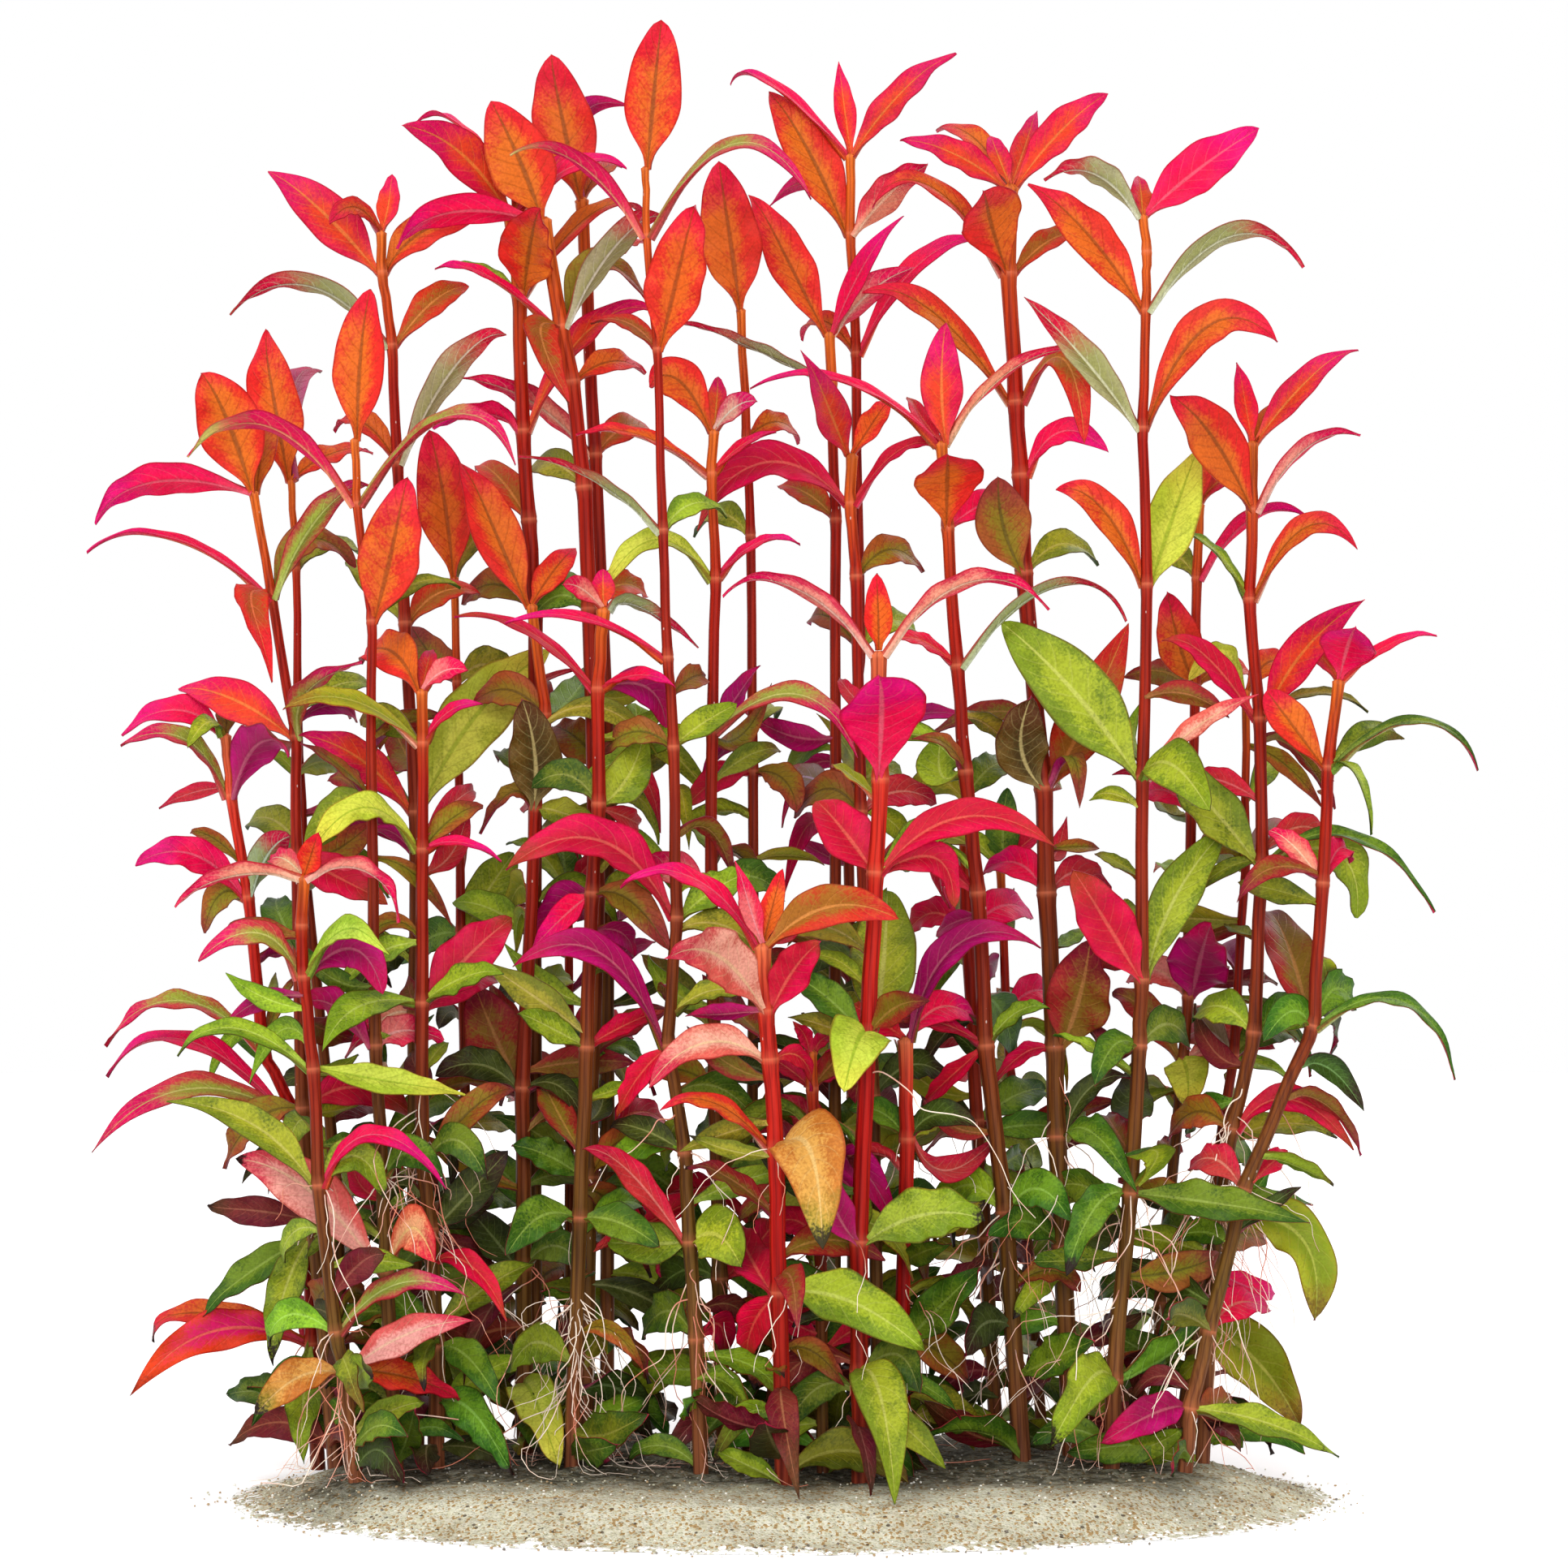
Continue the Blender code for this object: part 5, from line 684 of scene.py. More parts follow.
def length_setting(name, description, default):
    """A property that holds a length in metres."""
    return FloatProperty(name=name, description=description, default=default, min=0.0, unit="LENGTH",
                         precision=5)


class StemSettings(bpy.types.PropertyGroup):
    """Sizes and finish of the stems"""
    sides: IntProperty(name="Sides", description="Faces round a stem", default=14, min=6)
    furrow: FloatProperty(name="Furrow", description="Share of the radius that the furrows take",
                          default=0.04)
    depth: FloatProperty(name="Depth", description="Share of each colour's light that the stems give back",
                         default=0.6, min=0, max=1)
    joint: colour_setting("Joint", "Pale ring at each node", (214, 120, 84))
    roughness: FloatProperty(name="Roughness", description="Roughness of the skin", default=0.42, min=0,
                             max=1)


class LeafSettings(bpy.types.PropertyGroup):
    """Sizes, finish and colours of the leaves"""
    depth: FloatProperty(name="Depth", description="Share of each colour's light that the leaves give back",
                         default=0.70, min=0, max=1)
    margin_thickness: length_setting("Margin Thickness", "Thickness of a leaf at its margin", 0.00028)
    rib_thickness: length_setting("Rib Thickness", "Thickness of a leaf along its midrib", 0.00085)
    petiole: length_setting("Stalk Width", "Half the width of a leaf where it leaves its stem", 0.0010)
    fold: FloatProperty(name="Fold", description="How far each half of a leaf folds up from its midrib",
                        default=math.radians(24), subtype="ANGLE", unit="ROTATION")
    low_leaves: IntProperty(name="Low Leaves", default=19, min=0,
                            description="Small leaves tried on the lower part of each stem")
    waves: FloatProperty(name="Waves", description="Height of the margin's waves as a share of the width",
                         default=0.055, min=0)
    roughness: FloatProperty(name="Roughness", description="Roughness of the leaves", default=0.46, min=0,
                             max=1)


for kind_name, kind_row in LEAF_KINDS.items():
    for part_name, part_colour in zip(BLADE_PARTS, kind_row):
        LeafSettings.__annotations__[f"{kind_name}_{part_name}"] = colour_setting(
            f"{kind_name.title()} {part_name.title()}", f"Colour of the {part_name} of a {kind_name} leaf",
            part_colour)


class RootSettings(bpy.types.PropertyGroup):
    """Sizes and colours of the fine roots"""
    radius: length_setting("Radius", "Radius of a root", 0.00019)
    strands: IntProperty(name="Strands", description="Roots at each low node", default=3, min=2)
    highest: length_setting("Highest", "Height up to which nodes have roots", 0.092)
    pale: colour_setting("Pale", "Colour of a clean root", (226, 208, 190))
    warm: colour_setting("Warm", "Colour of a stained root", (196, 116, 92))


class SandSettings(bpy.types.PropertyGroup):
    """Sizes and colours of the sand"""
    relief: length_setting("Relief", "Height of the small hollows in the sand", 0.0009)
    grain: length_setting("Grain", "Radius of a large grain", 0.00042)
    grains: IntProperty(name="Grains", description="Loose grains on the patch and round it", default=3200,
                        min=0)
    cream: colour_setting("Cream", "Main colour of the sand", (178, 175, 148))
    tan: colour_setting("Tan", "Colour of the tan grains", (150, 116, 60))
    brown: colour_setting("Brown", "Colour of the dark grains", (62, 48, 34))
    white: colour_setting("White", "Colour of the palest grains", (222, 220, 210))
    # Painted shade, with some dirt, on the sand between the stems
    shade: colour_setting("Shade", "Colour of the dirt between the stems", (40, 36, 22))


class StageSettings(bpy.types.PropertyGroup):
    """Floor, lights and camera"""
    floor: colour_setting("Floor", "Colour of the floor", (250, 250, 250))
    sky: FloatProperty(name="Sky", description="Brightness of the light from all round", default=1.0, min=0)
    key: FloatProperty(name="Key", description="Power of the large soft light", default=24.0, min=0,
                       unit="POWER")
    fill: FloatProperty(name="Fill", description="Power of the soft light in front", default=13.0, min=0,
                        unit="POWER")
    back: FloatProperty(name="Back", description="Power of the light behind", default=12.0, min=0,
                        unit="POWER")


SETTINGS = {"alternanthera_stems": StemSettings, "alternanthera_leaves": LeafSettings,
            "alternanthera_roots": RootSettings, "alternanthera_sand": SandSettings,
            "alternanthera_stage": StageSettings}


def seen(x, z, depth):
    """The point at this depth that covers the place (x, z), in mm, of the stand's front view."""
    spread = 1.0 + depth / EYE_DISTANCE
    height = z * MM + FOOT_LEVEL - EYE_HEIGHT
    return Vector((x * MM * spread, depth, EYE_HEIGHT + height * spread))


def smooth(value, low, high):
    """A smooth step from 0 at low to 1 at high."""
    share = min(1.0, max(0.0, (value - low) / (high - low)))
    return share * share * (3 - 2 * share)


def along_colours(stops, share):
    """The colour at this share of a row of stops, as light."""
    for (low, first), (high, second) in zip(stops, stops[1:]):
        if share <= high:
            part = (share - low) / (high - low)
            return linear(display([a + (b - a) * part for a, b in zip(first, second)]))
    return linear(display(stops[-1][1]))


class Painter:
    """Short calls that add nodes to one material and join them up."""

    def __init__(self, name, roughness, specular=0.5):
        self.material = bpy.data.materials.new(name)
        self.material.use_nodes = True
        self.tree = self.material.node_tree
        self.shader = self.tree.nodes["Principled BSDF"]
        self.shader.inputs["Roughness"].default_value = roughness
        self.shader.inputs["Specular IOR Level"].default_value = specular
        self.object = self.add("TexCoord").outputs["Object"]

    def add(self, kind, **values):
        node = self.tree.nodes.new("ShaderNode" + kind)
        for name, value in values.items():
            setattr(node, name, value)
        return node

    def put(self, socket, value):
        """Gives a socket a value, or joins another's output to it."""
        if isinstance(value, bpy.types.NodeSocket):
            self.tree.links.new(value, socket)
        else:
            socket.default_value = value

    def math(self, operation, one, other=0.0):
        node = self.add("Math", operation=operation)
        self.put(node.inputs[0], one)
        self.put(node.inputs[1], other)
        return node.outputs[0]

    def band(self, value, low, high, first=0.0, last=1.0):
        """A smooth step of a value between low and high."""
        node = self.add("MapRange", interpolation_type="SMOOTHSTEP")
        for index, item in enumerate((value, low, high, first, last)):
            self.put(node.inputs[index], item)
        return node.outputs[0]

    def mix(self, share, one, other, blend="MIX"):
        node = self.add("Mix", data_type="RGBA", blend_type=blend)
        self.put(node.inputs[0], share)
        self.put(node.inputs[6], one)
        self.put(node.inputs[7], other)
        return node.outputs[2]

    def attribute(self, name, output):
        return self.add("Attribute", attribute_name=name).outputs[output]

    def split(self, vector):
        node = self.add("SeparateXYZ")
        self.put(node.inputs[0], vector)
        return node.outputs

    def stretched(self, scale):
        """Object coordinates, stretched."""
        node = self.add("Mapping")
        self.put(node.inputs["Vector"], self.object)
        node.inputs["Scale"].default_value = scale
        return node.outputs[0]

    def noise(self, scale, detail=2.0, vector=None):
        node = self.add("TexNoise")
        self.put(node.inputs["Vector"], vector or self.object)
        node.inputs["Scale"].default_value = scale
        node.inputs["Detail"].default_value = detail
        return node.outputs["Fac"]

    def cells(self, scale, feature="F1", vector=None):
        node = self.add("TexVoronoi", feature=feature)
        self.put(node.inputs["Vector"], vector or self.object)
        node.inputs["Scale"].default_value = scale
        return node.outputs

    def raise_by(self, height, strength, distance):
        """Bump from a height."""
        node = self.add("Bump")
        node.inputs["Strength"].default_value = strength
        node.inputs["Distance"].default_value = distance
        self.put(node.inputs["Height"], height)
        self.put(self.shader.inputs["Normal"], node.outputs[0])

    def colour(self, value):
        self.put(self.shader.inputs["Base Color"], value)


def paint_leaves(settings):
    """Leaf tissue: two colours mottled together, pale veins, a fine net and darkened margins."""
    paint = Painter("leaf_tissue", settings.roughness, 0.1)
    across, along, lean = paint.split(paint.attribute("blade", "Vector"))
    mottle, specks, burnt = paint.split(paint.attribute("touch", "Vector"))
    inner, margin, tip, veins = (paint.attribute(name, "Color") for name in BLADE_PARTS)
    side = paint.math("ABSOLUTE", across)
    patches = paint.noise(150.0, 3.0)
    grain = paint.noise(1500.0, 2.0)
    stray = paint.math("SUBTRACT", patches, 0.5)
    speckle = paint.math("SUBTRACT", grain, 0.5)
    scatter = paint.math("ADD", paint.math("MULTIPLY", stray, 2.6), paint.math("MULTIPLY", speckle, 1.6))
    edge = paint.math("ADD", side, paint.math("MULTIPLY", scatter, mottle))
    edge = paint.math("ADD", edge, paint.math("MULTIPLY", across, lean))
    colour = paint.mix(paint.band(edge, 0.12, 0.92), inner, margin)
    end = paint.math("ADD", along, paint.math("MULTIPLY", scatter, 0.12))
    start = paint.attribute("tip", "Alpha")
    colour = paint.mix(paint.band(end, start, paint.math("ADD", start, 0.34)), colour, tip)
    colour = paint.mix(paint.band(along, 0.03, 0.2, 0.6, 0.0), colour, paint.mix(0.5, inner, veins))
    alternate = paint.math("MULTIPLY", paint.math("GREATER_THAN", across, 0.0), 0.45)
    rise = paint.math("MULTIPLY", paint.math("POWER", side, 1.25), VEIN_RISE)
    phase = paint.math("SUBTRACT", paint.math("MULTIPLY", along, LATERAL_VEINS), rise)
    phase = paint.math("ADD", paint.math("ADD", phase, alternate), paint.math("MULTIPLY", stray, 0.5))
    off = paint.math("ABSOLUTE", paint.math("SUBTRACT", paint.math("FRACT", phase), 0.5))
    lateral = paint.math("MULTIPLY", paint.band(off, 0.0, 0.11, 1.0, 0.0),
                         paint.band(side, 0.6, 0.96, 1.0, 0.1))
    net = paint.band(paint.cells(620.0, "DISTANCE_TO_EDGE")["Distance"], 0.0, 0.09, 1.0, 0.0)
    colour = paint.mix(paint.math("MULTIPLY", net, 0.07), colour, veins)
    colour = paint.mix(paint.math("MULTIPLY", lateral, 0.26), colour, veins)
    rib = paint.math("MULTIPLY", side, paint.band(along, 0.0, 1.0, 0.75, 1.7))
    rib = paint.band(rib, 0.04, 0.12, 1.0, 0.0)
    colour = paint.mix(paint.math("MULTIPLY", rib, 0.75), colour, veins)
    dapple = paint.math("ADD", paint.band(grain, 0.36, 0.66, 0.0, 0.34),
                        paint.band(patches, 0.4, 0.7, 0.0, 0.22))
    colour = paint.mix(dapple, colour, paint.mix(1.0, colour, DAPPLE_TINT, "MULTIPLY"))
    rim = paint.band(side, 0.9, 0.98, 0.0, 0.7)
    colour = paint.mix(rim, colour, paint.mix(1.0, colour, MARGIN_TINT, "MULTIPLY"))
    dots = paint.cells(1000.0)
    dot = paint.band(dots["Distance"], 0.18, 0.36, 1.0, 0.0)
    dot = paint.math("MULTIPLY", dot, paint.band(patches, 0.42, 0.6))
    colour = paint.mix(paint.math("MULTIPLY", dot, specks), colour, SPECK_COLOUR)
    scorch = paint.math("MULTIPLY", paint.band(end, 0.88, 0.98), burnt)
    colour = paint.mix(scorch, colour, BURNT_COLOUR)
    paint.colour(colour)
    height = paint.math("SUBTRACT", paint.math("MULTIPLY", grain, 0.3), paint.math("MULTIPLY", lateral, 0.6))
    paint.raise_by(paint.math("SUBTRACT", height, paint.math("MULTIPLY", rib, 0.7)), 0.55, 0.0003)
    return paint.material


def paint_stems(settings):
    """Stem skin: fine streaks, ridges with painted highlight and furrows with painted shade, pale node rings
    and a few pale pores.
    """
    paint = Painter("stem_skin", settings.roughness, 0.08)
    ridge_highlight_furrow_shade, _, ring = paint.split(paint.attribute("blade", "Vector"))
    skin = paint.attribute("inner", "Color")
    streaks = paint.noise(1.0, 3.0, paint.stretched((1100.0, 1100.0, 30.0)))
    patches = paint.noise(90.0, 2.0)
    colour = paint.mix(paint.band(streaks, 0.4, 0.62, 0.0, 0.8), skin, paint.attribute("margin", "Color"))
    colour = paint.mix(paint.band(streaks, 0.46, 0.3, 0.0, 0.6), colour, paint.attribute("veins", "Color"))
    colour = paint.mix(paint.band(patches, 0.5, 0.75, 0.0, 0.35), colour, paint.attribute("tip", "Color"))
    # Painted highlight on the ridges and painted shade in the furrows, in the colours of the pale and dark
    # streaks
    colour = paint.mix(paint.band(ridge_highlight_furrow_shade, 0.2, 1.0, 0.0, 0.45), colour, paint.attribute("margin", "Color"))
    colour = paint.mix(paint.band(ridge_highlight_furrow_shade, -0.2, -1.0, 0.0, 0.6), colour, paint.attribute("veins", "Color"))
    joint = (*linear(settings.joint), 1.0)
    colour = paint.mix(paint.math("MULTIPLY", ring, 0.4), colour, joint)
    pores = paint.cells(1.0, "F1", paint.stretched((420.0, 420.0, 190.0)))
    pore = paint.math("MULTIPLY", paint.band(pores["Distance"], 0.05, 0.09, 1.0, 0.0),
                      paint.math("GREATER_THAN", paint.split(pores["Color"])[0], 0.72))
    colour = paint.mix(paint.math("MULTIPLY", pore, 0.6), colour, PORE_COLOUR)
    paint.colour(colour)
    paint.raise_by(streaks, 0.35, 0.0003)
    return paint.material


def blade_faces(curve, turn, stations):
    """Places, directions and upper faces of a leaf's midrib at each station."""
    lateral = 1.0 if curve[2].x >= curve[0].x else -1.0
    _, middle = on_midrib(curve, 0.5)
    viewer = Vector((0.0, -1.0, 0.0))
    front = viewer - middle * viewer.dot(middle)
    front = front.normalized() if front.length > 0.05 else Vector((0.0, 0.0, 1.0))
    upward = front.cross(middle) * lateral
    face = upward * math.cos(math.radians(turn)) + front * math.sin(math.radians(turn))
    frames = []
    for t in stations:
        point, direction = on_midrib(curve, t)
        turned = middle.rotation_difference(direction) @ face
        turned = (turned - direction * turned.dot(direction)).normalized()
        frames.append((point, direction, turned))
    return frames


def on_midrib(curve, t):
    """A point of the midrib and its direction there."""
    foot, pull, tip = curve
    point = foot * ((1 - t) ** 2) + pull * (2 * t * (1 - t)) + tip * (t * t)
    direction = (pull - foot) * (1 - t) + (tip - pull) * t
    return point, direction.normalized()


def midrib(base, leaf, shift, shrink, node_depth):
    """The three points that shape a leaf's midrib: its foot, its pull and its tip."""
    _, mid_x, mid_z, tip_x, tip_z, forward, _, _, _ = leaf
    tip_depth = node_depth + (forward + shift) * MM
    mid_depth = node_depth + MIDDLE_FORWARD * (forward + shift) * MM
    tip = base + (seen(tip_x, tip_z, tip_depth) - base) * shrink
    middle = base + (seen(mid_x, mid_z, mid_depth) - base) * shrink
    return base, middle * 2 - (base + tip) / 2, tip


def stem_stations(stem):
    """Places, directions and radii of a stem's nodes, from the foot up."""
    _, (foot_depth, top_depth), (foot_radius, top_radius), path, _ = stem
    top = path[-1][1]
    places = []
    radii = []
    for x, z in path:
        share = z / top
        places.append(seen(x, z, (foot_depth + (top_depth - foot_depth) * share) * MM))
        radii.append((foot_radius + (top_radius - foot_radius) * share) * MM)
    places[0].z = SAND_TOP - BURIED
    directions = []
    for index in range(len(places)):
        below = places[max(index - 1, 0)]
        above = places[min(index + 1, len(places) - 1)]
        directions.append((above - below).normalized())
    directions[0] = Vector((0.0, 0.0, 1.0))
    return places, directions, radii


def outward(direction, turn):
    """Direction out of a stem at this share of a turn round it."""
    side = Vector((0.0, 1.0, 0.0)).cross(direction).normalized()
    front = direction.cross(side)
    angle = 2 * math.pi * turn
    return side * math.cos(angle) + front * math.sin(angle)


class Stand:
    """Where every leaf of the stand grows: along its solid, or for a small leaf where there is room."""

    def __init__(self):
        self.taken = [BVHTree.FromPolygons([vert.co for vert in node.data.vertices],
                                           [face.vertices for face in node.data.polygons])
                      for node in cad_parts.values()]
        self.screen = ([], [])

    def built_midrib(self, leaf, node, direction, radius, corners):
        """The midrib that the solid has for this leaf, or None for a leaf that is too small for one."""
        apothem = radius * (1 + NODE_SWELL) / 2 * math.cos(math.pi / STEM_SIDES)
        for side in range(STEM_SIDES):
            foot = node + outward(direction, (side + 0.5) / STEM_SIDES) * apothem
            for shrink in SHRINK_TRIES:
                for shift in DEPTH_TRIES:
                    curve = midrib(foot, leaf, shift, shrink, node.y)
                    if corners.find(curve[2])[2] > FOUND:
                        continue
                    start, end = on_midrib(curve, 0.0)[1], on_midrib(curve, 1.0)[1]
                    first = ARCHED_FIRST_SECTION if start.angle(end) > math.radians(ARCH) else FIRST_SECTION
                    point, _, face = blade_faces(curve, leaf[7], [first])[0]
                    if corners.find(point + face * LEAF_THICK / 2 * (1 - THINNING * first))[2] < FOUND:
                        return curve
        return None

    def free_midrib(self, leaf, node, radius):
        """The midrib of a small leaf, bent forward or back until it meets as little as can be."""
        best = None
        for shift in DEPTH_TRIES:
            toward = seen(leaf[1], leaf[2], node.y + MIDDLE_FORWARD * (leaf[5] + shift) * MM) - node
            foot = node + toward.normalized() * radius * 0.8
            curve = midrib(foot, leaf, shift, 1.0, node.y)
            sheet = BVHTree.FromPolygons(*self.strip(leaf, curve))
            met = sum(len(tree.overlap(sheet)) for tree in self.taken)
            if best is None or met < best[0]:
                best = (met, curve, sheet)
            if met == 0:
                break
        self.taken.append(best[2])
        return best[1]

    def strip(self, leaf, curve):
        """Corners and faces of a leaf as a few flat faces, past its foot."""
        corners = []
        for point, direction, face in blade_faces(curve, leaf[7], SHEET_STATIONS):
            across = face.cross(direction) * (leaf[6] / 2 * MM * 0.9)
            corners += [point - across, point + across]
        last = curve[2]
        faces = [(k, k + 1, k + 3, k + 2) for k in range(0, len(corners) - 2, 2)]
        faces.append((len(corners) - 2, len(corners) - 1, len(corners)))
        return corners + [last], faces

    def keep_clear(self, leaf, curve):
        """Adds a leaf to the screen of leaves that the small ones leave in view from the front."""
        corners, faces = self.strip(leaf, curve)
        count = len(self.screen[0])
        self.screen[0].extend(corners)
        self.screen[1].extend(tuple(index + count for index in face) for face in faces)

    def hidden(self, screen, points):
        """How many of these points stand, as seen from the front, before a leaf that is in view."""
        eye = Vector((0.0, -EYE_DISTANCE, EYE_HEIGHT))
        count = 0
        for point in points:
            found = screen.ray_cast(eye, (point - eye).normalized())[3]
            if found is not None and found > (point - eye).length + MM:
                count += 1
        return count

    def leaves_of(self, stem):
        """Every leaf of a stem with its midrib and whether it has a solid."""
        places, directions, radii = stem_stations(stem)
        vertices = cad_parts[stem[0]].data.vertices
        corners = KDTree(len(vertices))
        for index, vertex in enumerate(vertices):
            corners.insert(vertex.co, index)
        corners.balance()
        for leaf in stem[4]:
            index = leaf[0]
            curve = self.built_midrib(leaf, places[index], directions[index], radii[index], corners)
            large = curve is not None
            if not large:
                curve = self.free_midrib(leaf, places[index], radii[index])
            self.keep_clear(leaf, curve)
            yield leaf, curve, large

    def low_leaves(self, stem, count, rng):
        """Small leaves crowded on the lower part of a stem, each turned to where there is most room."""
        top = min(LOW_LEAVES_TOP, stem[3][-1][1] - LOW_LEAVES_BELOW_TIP)
        screen = BVHTree.FromPolygons(*self.screen)
        for number in range(count):
            share = (number + rng.random()) / count
            height = LOW_LEAVES_FOOT + (top - LOW_LEAVES_FOOT) * share ** LOW_LEAVES_CROWDING
            place, radius = stem_at(stem, height)
            length = rng.uniform(*LOW_LEAF_LENGTH) * MM
            width = length / MM * rng.uniform(*LOW_LEAF_WIDTH) * (1 - LOW_LEAF_NARROWING * share)
            kinds = LOW_KINDS[min(len(LOW_KINDS) - 1, int(share * len(LOW_KINDS)))]
            turn = rng.uniform(*LOW_LEAF_TURN) * rng.choice((1, 1, -1))
            leaf = (None, None, height, None, None, None, width, turn, rng.choice(kinds))
            best = None
            for _ in range(LOW_LEAF_TRIES):
                out = outward(Vector((0.0, 0.0, 1.0)), rng.random())
                if height > LOW_LEAVES_FRONT and out.y < LOW_LEAF_FORWARD:
                    out.y = -out.y
                foot = place + out * radius * 0.7
                tip = foot + out * length * rng.uniform(*LOW_LEAF_REACH)
                rise = length * rng.uniform(*LOW_LEAF_RISE)
                tip.z = max(foot.z + rise, SAND_TOP + LOW_LEAF_ABOVE_SAND)
                tip += out.cross(Vector((0.0, 0.0, 1.0))) * length * rng.uniform(*LOW_LEAF_SWING)
                pull = foot + out * length * LOW_LEAF_PULL
                pull.z += length * rng.uniform(*LOW_LEAF_BOW)
                curve = (foot, pull, tip)
                strip = self.strip(leaf, curve)
                hidden = self.hidden(screen, strip[0])
                sheet = BVHTree.FromPolygons(*strip)
                met = sum(len(tree.overlap(sheet)) for tree in self.taken) + hidden
                if best is None or met < best[0]:
                    best = (met, curve, sheet, hidden)
            if best[3] <= LOW_LEAF_COVER:
                self.taken.append(best[2])
                yield leaf, best[1], False


class PieceMesh:
    """The mesh of one piece as it is made, with the values that its materials read."""

    def __init__(self, name):
        self.name = name
        self.bm = bmesh.new()
        self.blade = self.bm.verts.layers.float_vector.new("blade")
        self.touch = self.bm.verts.layers.float_vector.new("touch")
        self.tones = [self.bm.verts.layers.float_color.new(part) for part in BLADE_PARTS]

    def paint(self, vert, colours, tip_start=1.0):
        for tone, colour in zip(self.tones, colours):
            vert[tone] = (*colour, tip_start)

    def absorb(self, part):
        """Takes in a part that has grown as a mesh of its own."""
        mesh = bpy.data.meshes.new("part")
        part.bm.to_mesh(mesh)
        part.bm.free()
        self.bm.from_mesh(mesh)
        bpy.data.meshes.remove(mesh)

    def tube(self, levels, sides, furrow, tones):
        """A closed tube through levels of centre, direction, radius and a value for the material."""
        grid = bmesh.ops.create_grid(self.bm, x_segments=sides, y_segments=len(levels) - 1, size=1.0)
        verts = grid["verts"]
        for vert in verts:
            turn, row = (vert.co.x + 1) / 2, round((vert.co.y + 1) / 2 * (len(levels) - 1))
            centre, direction, radius, value = levels[row]
            spoke = round(turn * sides)
            reach = radius * (1 + furrow * (1 if spoke % 2 else -1) * (spoke % sides > 0 or sides % 2 == 0))
            vert.co = centre + outward(direction, turn) * reach
            # First value: 1 on a ridge and -1 in a furrow, which the stem skin reads for its painted
            # highlight and shade
            vert[self.blade] = (1.0 if spoke % 2 else -1.0, row / (len(levels) - 1), value)
            self.paint(vert, tones[row])
        bmesh.ops.remove_doubles(self.bm, verts=verts, dist=0.002 * MM)
        verts = [vert for vert in verts if vert.is_valid]
        ends = {edge for vert in verts for edge in vert.link_edges if edge.is_boundary}
        bmesh.ops.holes_fill(self.bm, edges=list(ends), sides=0)
        faces = {face for vert in verts for face in vert.link_faces}
        bmesh.ops.recalc_face_normals(self.bm, faces=list(faces))
        for face in faces:
            face.smooth = len(face.verts) <= 4
        return faces

    def leaf(self, leaf, curve, large, settings, rng):
        """A leaf with two sides of their own colours, drawn out of a flat grid."""
        rows, columns = LARGE_LEAF_GRID if large else SMALL_LEAF_GRID
        shape = LeafShape(leaf, curve, settings, rng)
        frames = shape.frames(rows)
        stray = LARGE_LEAF_STRAY if large else SMALL_LEAF_STRAY
        near, far = leaf_colours(settings, leaf[8], stray, rng)
        upper, lower = (near, far) if leaf[7] > 0 else (far, near)
        tip_start = LEAF_KINDS[leaf[8]][7] * rng.uniform(0.9, 1.1)
        lean = rng.uniform(-0.7, 0.7)
        low = smooth(leaf[2], 150, 60)
        mottle, specks = LEAF_KINDS[leaf[8]][5:7]
        touch = (mottle * rng.uniform(0.7, 1.2), specks * rng.uniform(0.6, 1.3),
                 low * rng.choice((0.0, 0.3, 1.0)))
        grid = bmesh.ops.create_grid(self.bm, x_segments=columns, y_segments=rows, size=1.0)
        top = grid["verts"]
        faces = list({face for vert in top for face in vert.link_faces})
        drop = {}
        for vert in top:
            across, along = vert.co.x, (vert.co.y + 1) / 2
            place, normal, thick = shape.at(frames[round(along * rows)], across, along)
            vert.co = place
            vert[self.blade] = (across, along, lean)
            vert[self.touch] = touch
            self.paint(vert, upper, tip_start)
            drop[round(along * rows), round(across * columns)] = normal * thick
        grown = bmesh.ops.extrude_face_region(self.bm, geom=faces, use_keep_orig=True)["geom"]
        for vert in grown:
            if isinstance(vert, bmesh.types.BMVert):
                across, along, _ = vert[self.blade]
                vert.co -= drop[round(along * rows), round(across * columns)]
                self.paint(vert, lower, tip_start)
        sides = [item for item in grown if isinstance(item, bmesh.types.BMFace)]
        rim = {face for vert in top for face in vert.link_faces} - set(faces)
        skin = set(faces) | set(sides) | rim
        bmesh.ops.recalc_face_normals(self.bm, faces=list(skin))
        for face in skin:
            face.smooth = True
            face.material_index = 1
        for face in rim:
            for edge in face.edges:
                edge.smooth = False

    def finish(self, materials):
        mesh = bpy.data.meshes.new(self.name)
        self.bm.to_mesh(mesh)
        self.bm.free()
        for material in materials:
            mesh.materials.append(material)
        piece = bpy.data.objects.new(self.name, mesh)
        bpy.context.scene.collection.objects.link(piece)
        return piece


def leaf_colours(settings, kind, stray, rng):
    """Colours of a leaf's near side and of its far side, as light, each leaf a little unlike the others."""
    tint = [settings.depth * (1 + stray * rng.uniform(-0.2, 0.12)) * (1 + stray * rng.uniform(low, high))
            for low, high in ((-0.1, 0.1), (-0.25, 0.2), (-0.2, 0.2))]
    sides = (kind, LEAF_KINDS[kind][4])
    colours = [[linear(getattr(settings, f"{name}_{part}")) for part in BLADE_PARTS] for name in sides]
    return [[[min(BRIGHTEST, value * share) for value, share in zip(colour, tint)] for colour in parts]
            for parts in colours]


